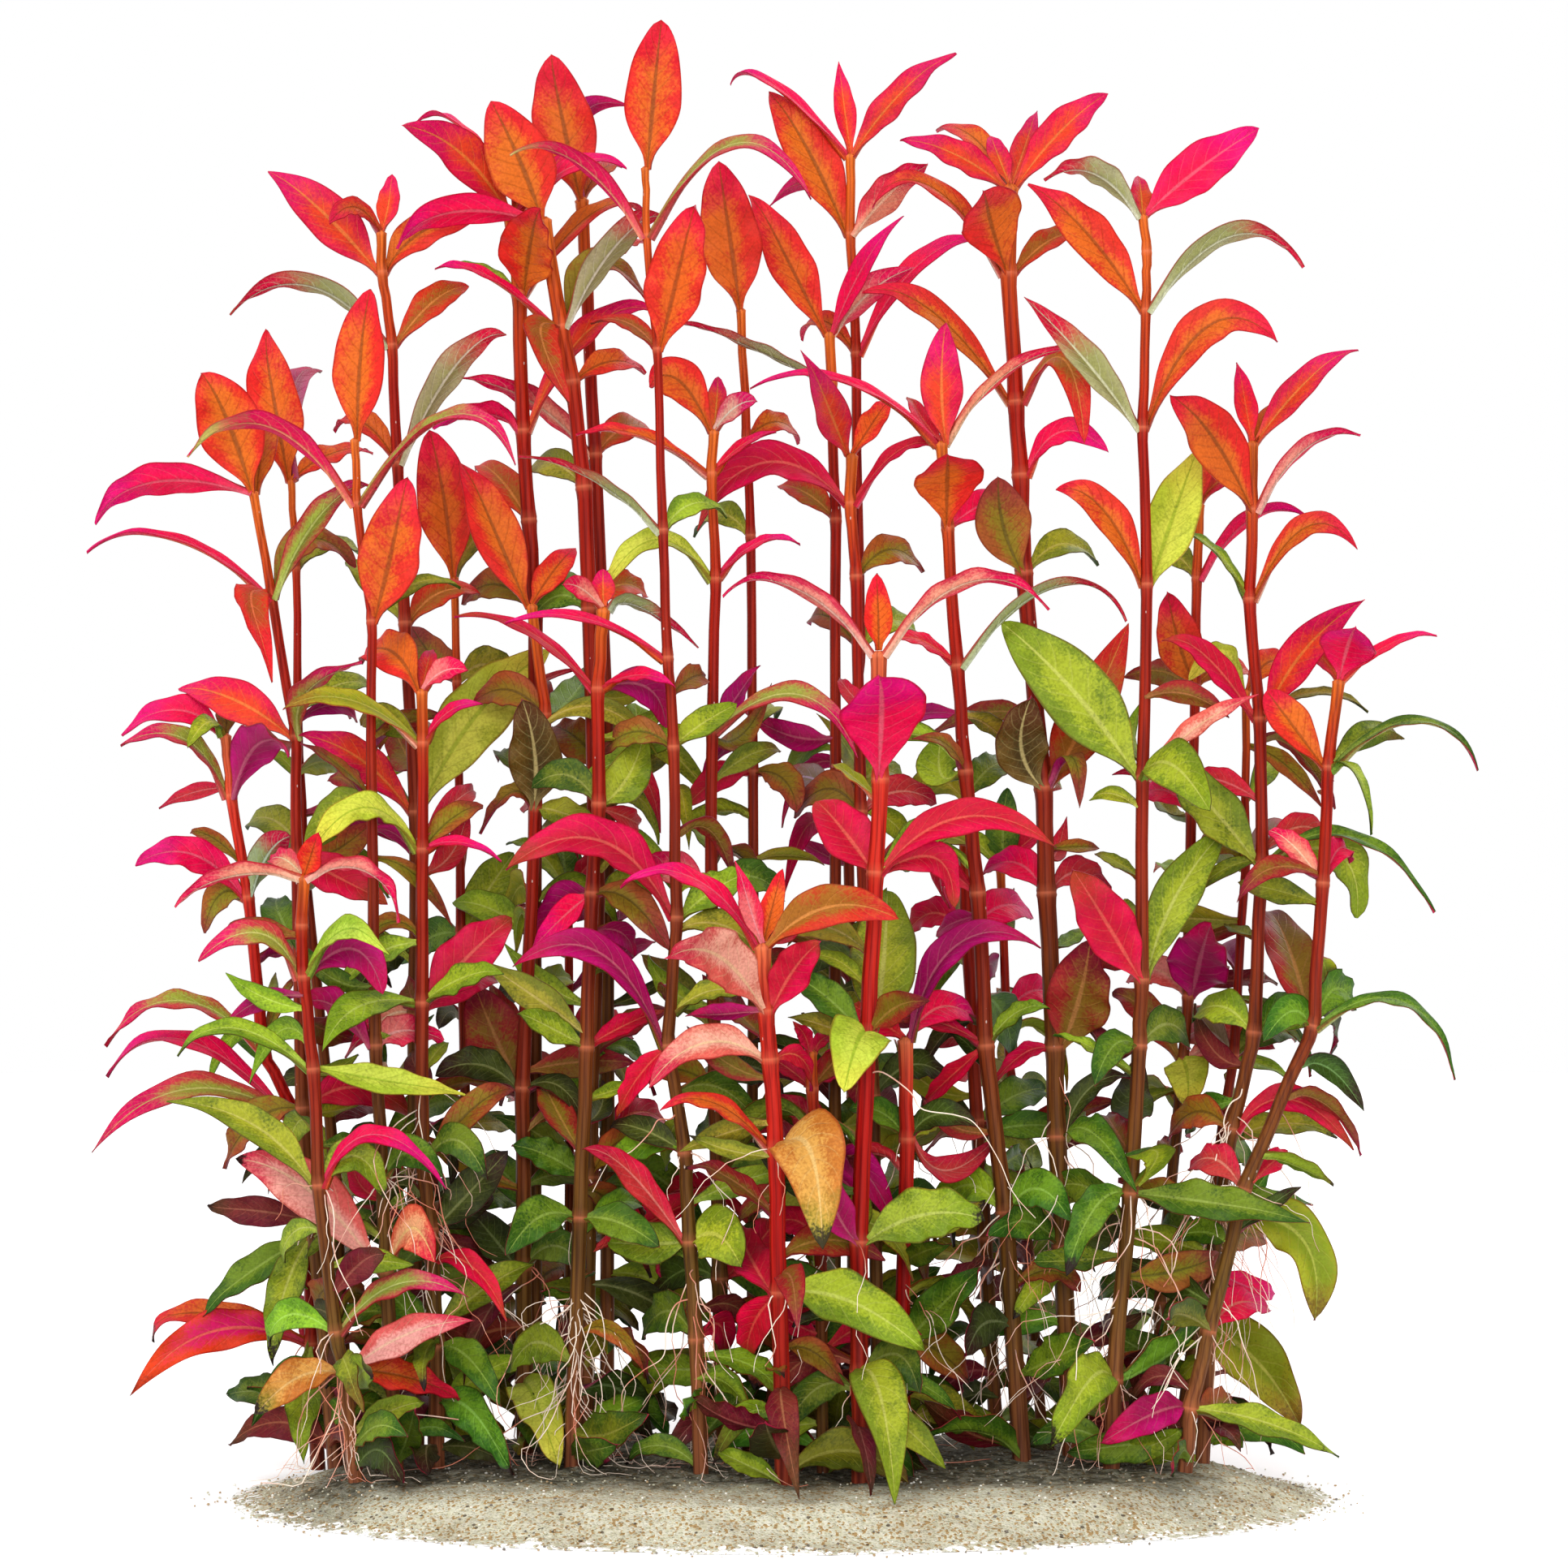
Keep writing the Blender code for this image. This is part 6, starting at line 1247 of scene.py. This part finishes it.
class LeafShape:
    """How one leaf swells, folds, waves and droops along its midrib."""

    def __init__(self, leaf, curve, settings, rng):
        self.curve = curve
        self.turn = leaf[7]
        self.width = leaf[6] * MM
        self.length = (curve[2] - curve[0]).length
        self.settings = settings
        broad = smooth(self.width / self.length, 0.24, 0.42)
        short = smooth(self.width / self.length, 0.5, 0.75)
        low = smooth(leaf[2], 190, 60)
        self.widest = rng.uniform(0.4, 0.48) + (0.22 if curve[2].z > curve[0].z else -0.14) * short
        self.base = 1.25 + 0.35 * (1 - broad) * rng.random()
        self.point = 1.0 - 0.42 * broad + 0.1 * rng.random()
        self.fold = settings.fold * rng.uniform(0.6, 1.4)
        self.wave = settings.waves * self.width * rng.uniform(0.4, 1.3) * (1 + 0.5 * low) * (1 - 0.7 * short)
        self.counts = (rng.uniform(1.6, 3.4), rng.uniform(1.6, 3.4))
        self.starts = (rng.random(), rng.random())
        self.hook = self.length * rng.uniform(0.0, 0.12) * (1 - 0.6 * broad)
        self.twist = math.radians(rng.uniform(-30, 30)) * (1 - 0.6 * short)
        self.ragged = (0.02 + 0.02 * low) * (1 - 0.7 * short)

    def frames(self, rows):
        return blade_faces(self.curve, self.turn, [row / rows for row in range(rows + 1)])

    def half_width(self, along):
        if along < self.widest:
            share = math.sin(math.pi / 2 * along / self.widest) ** self.base
        else:
            share = max(0.0, math.cos(math.pi / 2 * (along - self.widest) / (1 - self.widest))) ** self.point
        stalk = self.settings.petiole * (1 - along) ** 4
        return stalk + (self.width / 2) * share + THINNEST_TIP

    def at(self, station, across, along):
        """Place of one point of the upper side, the direction out of it and the thickness under it."""
        point, direction, face = station
        face = Matrix.Rotation(self.twist * (along - 0.35), 3, direction) @ face
        side = face.cross(direction)
        hand = 0 if across < 0 else 1
        reach = abs(across)
        beat = math.sin(2 * math.pi * (self.counts[hand] * along + self.starts[hand]))
        half = self.half_width(along) * (1 + self.ragged * beat * reach)
        fold = self.fold + (math.radians(STALK_FOLD) - self.fold) * (1 - smooth(along, *STALK_STEP))
        wave = self.wave * math.sin(2 * math.pi * (self.counts[hand] * 1.3 * along + self.starts[1 - hand]))
        lift = half * reach * math.sin(fold) * (1 - 0.45 * reach)
        lift += wave * reach * reach * smooth(along, 0.1, 0.35)
        lift -= self.hook * max(0.0, (along - HOOK_START) / (1 - HOOK_START)) ** 2
        back = direction * (STALK_IN_STEM * (1 - smooth(along, 0.0, 0.08)))
        place = point - back + side * (across * half * math.cos(fold)) + face * lift
        slope = fold * (1 - 0.9 * reach)
        lean = math.copysign(math.sin(slope), across) if reach > 0 else 0.0
        normal = (face * math.cos(slope) - side * lean).normalized()
        rib = self.settings.rib_thickness * (1 - RIB_THINNING * along) * math.exp(-(reach / RIB_REACH) ** 2)
        stalk = STALK_THICKNESS * (1 - smooth(along, 0.02, 0.2))
        return place, normal, self.settings.margin_thickness + rib + stalk


def stem_levels(stem, rng):
    """Rings of a stem from its foot up, with its joints: centre, direction, radius and how pale each is."""
    places, directions, radii = stem_stations(stem)
    levels = [(places[0], directions[0], radii[0], 0.0)]
    for index in range(1, len(places)):
        below, above = places[index - 1], places[index]
        run = above - below
        room = min(1.0, run.length / FULL_NODE)
        if run.length > LONG_INTERNODE:
            for share in INTERNODE_RINGS:
                drift = Vector((rng.uniform(-1, 1), rng.uniform(-1, 1), 0.0)) * INTERNODE_STRAY
                radius = radii[index - 1] + (radii[index] - radii[index - 1]) * share
                levels.append((below + run * share + drift, run.normalized(), radius * INTERNODE_WAIST, 0.0))
        for offset, swell, pale in NODE_PROFILE:
            if offset > 0 and index == len(places) - 1:
                break
            levels.append((above + directions[index] * offset * MM * room, directions[index],
                           radii[index] * swell, pale))
    centre, direction, radius, _ = levels[-1]
    levels.append((centre + direction * radius * 0.5, direction, radius * 0.4, 0.0))
    return levels


def stem_tones(stem, levels, depth, rng):
    """Colours of the skin, its pale streaks (also its painted highlight on the ridges), its patches and its
    dark streaks (also its painted shade in the furrows) at each ring.
    """
    stops = FRONT_STEM if stem[0] in FRONT_STEMS else TALL_STEM
    shift = rng.uniform(-0.08, 0.08)
    low, high = levels[0][0].z, levels[-1][0].z
    warm = rng.uniform(0.0, 0.6)
    tones = []
    for centre, *_ in levels:
        share = (centre.z - low) / (high - low)
        skin = along_colours(stops, min(1.0, max(0.0, share + shift * math.sin(math.pi * share))))
        skin = [value * depth for value in skin]
        pale = [value * share + more for value, share, more in zip(skin, PALE_STREAK, PALE_STREAK_MORE)]
        patch = [skin[0] * (0.75 + 0.5 * warm), skin[1] * 0.6, skin[2] * 0.6]
        dark = [value * share for value, share in zip(skin, DARK_STREAK)]
        tones.append((skin, pale, patch, dark))
    return tones


class ALTERNANTHERA_OT_shoots(bpy.types.Operator):
    """Grow every stem with its leaves over its solid"""
    bl_idname = "alternanthera.shoots"
    bl_label = "Grow Shoots"

    def execute(self, context):
        scene = context.scene
        stems, leaves = scene.alternanthera_stems, scene.alternanthera_leaves
        materials = [paint_stems(stems), paint_leaves(leaves)]
        stand = Stand()
        grown = {}
        for stem in STEMS:
            rng = random.Random(stem[0])
            shoot = PieceMesh(stem[0].replace("stem", "shoot"))
            levels = stem_levels(stem, rng)
            shoot.tube(levels, stems.sides, stems.furrow, stem_tones(stem, levels, stems.depth, rng))
            grown[stem[0]] = (shoot, rng)
            for leaf, curve, large in stand.leaves_of(stem):
                shoot.leaf(leaf, curve, large, leaves, rng)
        for stem in STEMS:
            shoot, rng = grown[stem[0]]
            for leaf, curve, large in stand.low_leaves(stem, leaves.low_leaves, rng):
                shoot.leaf(leaf, curve, large, leaves, rng)
            piece = shoot.finish(materials)
            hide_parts(stem[0])
            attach(piece, "root")
        return {"FINISHED"}


def stem_at(stem, z):
    """The place and radius of a stem at this height as seen, in mm."""
    places, _, radii = stem_stations(stem)
    path = stem[3]
    for index in range(1, len(path)):
        if z <= path[index][1]:
            share = (z - path[index - 1][1]) / (path[index][1] - path[index - 1][1])
            return (places[index - 1].lerp(places[index], share),
                    radii[index - 1] + (radii[index] - radii[index - 1]) * share)
    return places[-1], radii[-1]


def root_levels(points, radius, rows):
    """Rings of a root along a smooth line through its points, thinning to its end."""
    levels = []
    for row in range(rows):
        share = row / (rows - 1) * (len(points) - 1)
        index = min(int(share), len(points) - 2)
        part = share - index
        before, start = points[max(index - 1, 0)], points[index]
        end, after = points[index + 1], points[min(index + 2, len(points) - 1)]
        here = smooth_point(before, start, end, after, part)
        ahead = smooth_point(before, start, end, after, min(1.0, part + 0.05))
        direction = (ahead - here).normalized() if part < 0.95 else levels[-1][1]
        levels.append((here, direction, radius * (1 - ROOT_THINNING * row / (rows - 1)), 0.0))
    return levels


def smooth_point(before, start, end, after, part):
    """A point of the smooth curve that passes through start and end."""
    bend = (2 * before - 5 * start + 4 * end - after) * part ** 2
    swing = (3 * start - before - 3 * end + after) * part ** 3
    return 0.5 * ((2 * start) + (end - before) * part + bend + swing)


def wandering(start, out, length, rng):
    """Points of a root that leaves its stem and wanders down."""
    points = [start - out * 0.5 * MM]
    heading = (out + Vector((0.0, 0.0, -rng.uniform(0.1, 1.0)))).normalized()
    for _ in range(ROOT_STEPS):
        stray = Vector((rng.gauss(0, 1), rng.gauss(0, 1), rng.gauss(0, 0.8) - ROOT_FALL))
        heading = (heading + stray * ROOT_STRAY).normalized()
        place = points[-1] + heading * length / ROOT_STEPS
        floor = SAND_TOP + ROOT_ABOVE_SAND
        if place.z < floor:
            place.z = floor + rng.random() * MM
        points.append(place)
    return points


def paint_roots(settings):
    """Root skin, clean at some places and stained at others."""
    paint = Painter("root_skin", 0.6, 0.2)
    share = paint.band(paint.noise(60.0, 3.0), 0.42, 0.62)
    colours = [(*linear(colour), 1.0) for colour in (settings.pale, settings.warm)]
    paint.colour(paint.mix(share, *colours))
    return paint.material


class ALTERNANTHERA_OT_roots(bpy.types.Operator):
    """Hang the fine aerial roots from the low nodes"""
    bl_idname = "alternanthera.roots"
    bl_label = "Hang Roots"

    def execute(self, context):
        settings = context.scene.alternanthera_roots
        rng = random.Random("roots")
        mesh = PieceMesh("aerial_roots")
        by_name = {stem[0]: stem for stem in STEMS}
        routes = []
        for name, seen_points in LONG_ROOTS:
            start, radius = stem_at(by_name[name], seen_points[0][1])
            depth = start.y - radius - 1.5 * MM
            points = [start]
            for x, z in seen_points[1:]:
                ahead = seen(x, z, depth - 3 * MM * rng.random())
                bend = Vector((rng.gauss(0, 1), 0.0, rng.gauss(0, 1))) * (ahead - points[-1]).length * 0.12
                points += [points[-1].lerp(ahead, 0.5) + bend, ahead]
            routes.append((points, 1.1, LONG_ROOT_ROWS))
        for stem in STEMS:
            places, directions, radii = stem_stations(stem)
            for index in range(1, len(places)):
                if places[index].z > settings.highest:
                    break
                for _ in range(rng.randint(settings.strands - 2, settings.strands + 2)):
                    out = outward(directions[index], rng.random())
                    length = rng.uniform(*NODE_ROOT_LENGTH) * MM
                    points = wandering(places[index] + out * radii[index], out, length, rng)
                    routes.append((points, rng.uniform(0.6, 1.1), NODE_ROOT_ROWS))
        for name, low, high, count in ROOT_CLUMPS:
            for _ in range(count):
                place, radius = stem_at(by_name[name], rng.uniform(low, high))
                out = outward(Vector((0.0, 0.0, 1.0)), rng.random())
                points = wandering(place + out * radius, out, rng.uniform(*TANGLE_ROOT_LENGTH) * MM, rng)
                routes.append((points, rng.uniform(0.5, 1.1), TANGLE_ROOT_ROWS))
        for points, share, rows in routes:
            strand = PieceMesh("strand")
            levels = root_levels(points, settings.radius * share, rows)
            strand.tube(levels, ROOT_SIDES, 0.0, [[(1.0, 1.0, 1.0)] * 4] * rows)
            mesh.absorb(strand)
        piece = mesh.finish([paint_roots(settings)])
        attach(piece, "root")
        return {"FINISHED"}


def sand_reach(x, y):
    """How far out on the patch a place is: 0 at its middle, 1 at its rim."""
    return math.hypot(x / (SAND_WIDTH / 2), (y - SAND_MIDDLE) / ((SAND_BACK + SAND_FRONT) / 2))


def sand_rise(x, y, relief):
    """Height of the sand's surface, with its low hollows and its ragged rim."""
    reach = sand_reach(x, y) + SAND_RAGGED[0] * noise.noise(Vector((x, y, 0.0)) * SAND_RAGGED[1])
    body = SAND_TOP * smooth(reach, *SAND_SLOPE)
    large, small = SAND_HOLLOWS
    dimple = noise.noise(Vector((x, y, 3.0)) * large) + 0.5 * noise.noise(Vector((x, y, 7.0)) * small)
    return max(THINNEST_SAND, body + relief * dimple * min(1.0, body / (2 * MM)))


def paint_sand(settings):
    """Loose sand: cream grains with tan, dark and white ones among them, painted shade and dark litter
    between the stems.
    """
    paint = Painter("loose_sand", 0.9, 0.2)
    colours = {name: (*linear(getattr(settings, name)), 1.0)
               for name in ("cream", "tan", "brown", "white", "shade")}
    fine = paint.cells(1500.0)
    coarse = paint.cells(700.0)
    chance = paint.split(fine["Color"])[0]
    colour = paint.mix(paint.math("MULTIPLY", chance, 0.45), colours["cream"], colours["white"])
    tan = paint.band(paint.split(fine["Color"])[1], 0.72, 0.84, 0.0, 0.85)
    colour = paint.mix(tan, colour, colours["tan"])
    dark = paint.math("GREATER_THAN", paint.split(coarse["Color"])[2], 0.94)
    dark = paint.math("MULTIPLY", dark, paint.band(coarse["Distance"], 0.30, 0.42, 1.0, 0.0))
    colour = paint.mix(paint.math("MULTIPLY", dark, 0.85), colour, colours["brown"])
    patches = paint.band(paint.noise(70.0, 3.0), 0.4, 0.7, 0.0, 0.3)
    colour = paint.mix(patches, colour, paint.mix(1.0, colour, colours["tan"], "MULTIPLY"))
    # Third value of blade: painted shade under the stand, with some dark litter, darkest near the stems'
    # feet
    _, thin, painted_shade_and_dirt = paint.split(paint.attribute("blade", "Vector"))
    crumbs = paint.band(paint.noise(420.0, 3.0), 0.4, 0.62, 0.72, 1.0)
    colour = paint.mix(paint.math("MULTIPLY", painted_shade_and_dirt, crumbs), colour, colours["shade"])
    pick = paint.math("MULTIPLY", paint.split(coarse["Color"])[0], 0.7)
    sparse = paint.band(paint.math("SUBTRACT", thin, pick), 0.05, 0.3)
    colour = paint.mix(sparse, colour, RIM_SAND_COLOUR)
    paint.colour(colour)
    height = paint.math("ADD", paint.band(fine["Distance"], 0.0, 0.6, 1.0, 0.0),
                        paint.math("MULTIPLY", paint.noise(900.0, 2.0), 0.8))
    paint.raise_by(height, 0.8, 0.0004)
    return paint.material


def paint_grains():
    """Loose grains, each of its own colour."""
    paint = Painter("loose_grains", 0.7, 0.2)
    tone = paint.attribute("inner", "Color")
    paint.colour(paint.mix(paint.noise(2500.0), tone, paint.mix(0.4, tone, GRAIN_MOTTLE)))
    return paint.material


class ALTERNANTHERA_OT_sand(bpy.types.Operator):
    """Lay the patch of sand in which the stems stand"""
    bl_idname = "alternanthera.sand"
    bl_label = "Lay Sand"

    def execute(self, context):
        settings = context.scene.alternanthera_sand
        mesh = PieceMesh("sand_patch")
        grid = bmesh.ops.create_grid(mesh.bm, x_segments=SAND_GRID[0], y_segments=SAND_GRID[1], size=1.0)
        faces = list({face for vert in grid["verts"] for face in vert.link_faces})
        for vert in grid["verts"]:
            u, v = vert.co.x, vert.co.y
            x = u * math.sqrt(1 - v * v / 2) * SAND_WIDTH / 2
            y = v * math.sqrt(1 - u * u / 2) * (SAND_BACK + SAND_FRONT) / 2 + SAND_MIDDLE
            stray = 1 + 0.03 * noise.noise(Vector((x, y, 11.0)) * 45) * sand_reach(x, y) ** 3
            x, y = x * stray, (y - SAND_MIDDLE) * stray + SAND_MIDDLE
            vert.co = (x, y, sand_rise(x, y, settings.relief))
            stray = noise.noise(Vector((x, y, 5.0)) * 120)
            # Painted shade under the stand, with some dark litter: darkest at the back near the stems' feet,
            # fading to the front and sides
            painted_shade_and_litter = smooth(y + 5 * MM * stray, -SHADE_AND_LITTER_FRONT, -SHADE_AND_LITTER_BACK)
            painted_shade_and_litter *= smooth(abs(x + SHADE_AND_LITTER_SHIFT) + 8 * MM * stray, SHADE_AND_LITTER_END, SHADE_AND_LITTER_SIDE)
            painted_shade_and_litter *= smooth(y + 6 * MM * stray, SAND_BACK, SAND_BACK - 16 * MM)
            fade = smooth(sand_reach(x, y) + 0.03 * stray, *SAND_FADE)
            vert[mesh.blade] = (0.0, fade, 0.94 * painted_shade_and_litter)
        bottom = bmesh.ops.extrude_face_region(mesh.bm, geom=faces, use_keep_orig=True)["geom"]
        for item in bottom:
            if isinstance(item, bmesh.types.BMVert):
                item.co.z = 0.0
        bmesh.ops.recalc_face_normals(mesh.bm, faces=mesh.bm.faces[:])
        for face in mesh.bm.faces:
            face.smooth = True
        piece = mesh.finish([paint_sand(settings)])
        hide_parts("sand_bed")
        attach(piece, "root")
        return {"FINISHED"}


class ALTERNANTHERA_OT_grains(bpy.types.Operator):
    """Scatter loose grains over the sand and round its rim"""
    bl_idname = "alternanthera.grains"
    bl_label = "Scatter Grains"

    def execute(self, context):
        settings = context.scene.alternanthera_sand
        rng = random.Random("grains")
        tones = [linear(getattr(settings, name)) for name in ("cream", "tan", "brown", "white")]
        mesh = PieceMesh("sand_grains")
        handful = PieceMesh("handful")
        for number in range(settings.grains):
            if number and number % GRAINS_AT_ONCE == 0:
                mesh.absorb(handful)
                handful = PieceMesh("handful")
            reach = rng.choice((math.sqrt(rng.random()), rng.gauss(0.95, 0.05)))
            reach = min(reach, FARTHEST_GRAIN)
            angle = rng.uniform(0, 2 * math.pi)
            x = math.cos(angle) * reach * SAND_WIDTH / 2
            y = math.sin(angle) * reach * (SAND_BACK + SAND_FRONT) / 2 + SAND_MIDDLE
            size = settings.grain * rng.uniform(0.45, 1.0)
            rise = sand_rise(x, y, settings.relief) if reach < 1.0 else 0.1 * MM
            stretch = Matrix.Diagonal([rng.uniform(low, high) for low, high in GRAIN_STRETCH] + [1.0])
            spin = Matrix.Rotation(rng.uniform(0, WHOLE_TURN), 4, "Z")
            spot = Matrix.Translation((x, y, rise + size * 0.45))
            made = bmesh.ops.create_icosphere(handful.bm, subdivisions=1, radius=size,
                                              matrix=spot @ spin @ stretch)
            tone = rng.choices(tones, GRAIN_SHARES)[0]
            # Grains in the painted shade between the stems are darkened, as shade with some dirt
            if -SHADE_AND_LITTER_BACK < y and abs(x) < SHADE_AND_LITTER_SIDE:
                tone = [value * SHADED_DIRTY_GRAIN for value in tone]
            for vert in made["verts"]:
                vert[handful.tones[0]] = (*tone, 1.0)
        mesh.absorb(handful)
        piece = mesh.finish([paint_grains()])
        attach(piece, "root")
        return {"FINISHED"}


class ALTERNANTHERA_OT_stage(bpy.types.Operator):
    """Set up the pale floor, the soft light and the camera"""
    bl_idname = "alternanthera.stage"
    bl_label = "Set Up Stage"

    def execute(self, context):
        settings = context.scene.alternanthera_stage
        bm = bmesh.new()
        bmesh.ops.create_circle(bm, cap_ends=True, segments=FLOOR_SIDES, radius=FLOOR_RADIUS,
                                matrix=Matrix.Translation((0.0, 0.0, -FLOOR_BELOW)))
        mesh = bpy.data.meshes.new("floor")
        bm.to_mesh(mesh)
        bm.free()
        paint = Painter("plain_floor", 0.9)
        paint.colour((*linear(settings.floor), 1.0))
        mesh.materials.append(paint.material)
        floor = bpy.data.objects.new("floor", mesh)
        context.scene.collection.objects.link(floor)
        world = bpy.data.worlds.new("soft_sky")
        world.use_nodes = True
        world.node_tree.nodes["Background"].inputs["Color"].default_value = (1.0, 1.0, 1.0, 1.0)
        world.node_tree.nodes["Background"].inputs["Strength"].default_value = settings.sky
        context.scene.world = world
        target = Vector((0.0, 0.0, EYE_HEIGHT))
        for name, place, power, size in LIGHTS:
            light = bpy.data.lights.new(name, "AREA")
            light.energy = getattr(settings, power)
            light.size = size
            lamp = bpy.data.objects.new(name, light)
            lamp.location = place
            lamp.rotation_euler = (target - lamp.location).to_track_quat("-Z", "Y").to_euler()
            context.scene.collection.objects.link(lamp)
        camera = bpy.data.cameras.new("camera")
        camera.sensor_width = SENSOR_WIDTH
        camera.lens = camera.sensor_width * EYE_DISTANCE / VIEW_WIDTH
        camera.clip_start = NEAREST
        camera.clip_end = FARTHEST
        eye = bpy.data.objects.new("camera", camera)
        eye.location = (0.0, -EYE_DISTANCE, EYE_HEIGHT)
        eye.rotation_euler = (math.radians(90), 0.0, 0.0)
        context.scene.collection.objects.link(eye)
        context.scene.camera = eye
        context.scene.view_settings.view_transform = "Standard"
        return {"FINISHED"}


OPERATORS = (ALTERNANTHERA_OT_stage, ALTERNANTHERA_OT_shoots, ALTERNANTHERA_OT_roots, ALTERNANTHERA_OT_sand,
             ALTERNANTHERA_OT_grains)


class ALTERNANTHERA_PT_panel(bpy.types.Panel):
    """Settings and steps of the stand"""
    bl_idname = "ALTERNANTHERA_PT_panel"
    bl_label = "Alternanthera Stand"
    bl_space_type = "VIEW_3D"
    bl_region_type = "UI"
    bl_category = "Alternanthera"

    def draw(self, context):
        for name in SETTINGS:
            group = getattr(context.scene, name)
            box = self.layout.box()
            box.label(text=name.replace("_", " ").title())
            for item in group.__annotations__:
                box.prop(group, item)
        for operator in OPERATORS:
            self.layout.operator(operator.bl_idname)


CLASSES = (*SETTINGS.values(), *OPERATORS, ALTERNANTHERA_PT_panel)


def register():
    for each in CLASSES:
        bpy.utils.register_class(each)
    for name, group in SETTINGS.items():
        setattr(bpy.types.Scene, name, PointerProperty(type=group))


def unregister():
    for name in SETTINGS:
        delattr(bpy.types.Scene, name)
    for each in reversed(CLASSES):
        bpy.utils.unregister_class(each)


def main():
    register()
    bpy.ops.alternanthera.stage()
    bpy.ops.alternanthera.shoots()
    bpy.ops.alternanthera.roots()
    bpy.ops.alternanthera.sand()
    bpy.ops.alternanthera.grains()


if __name__ == "__main__":
    main()
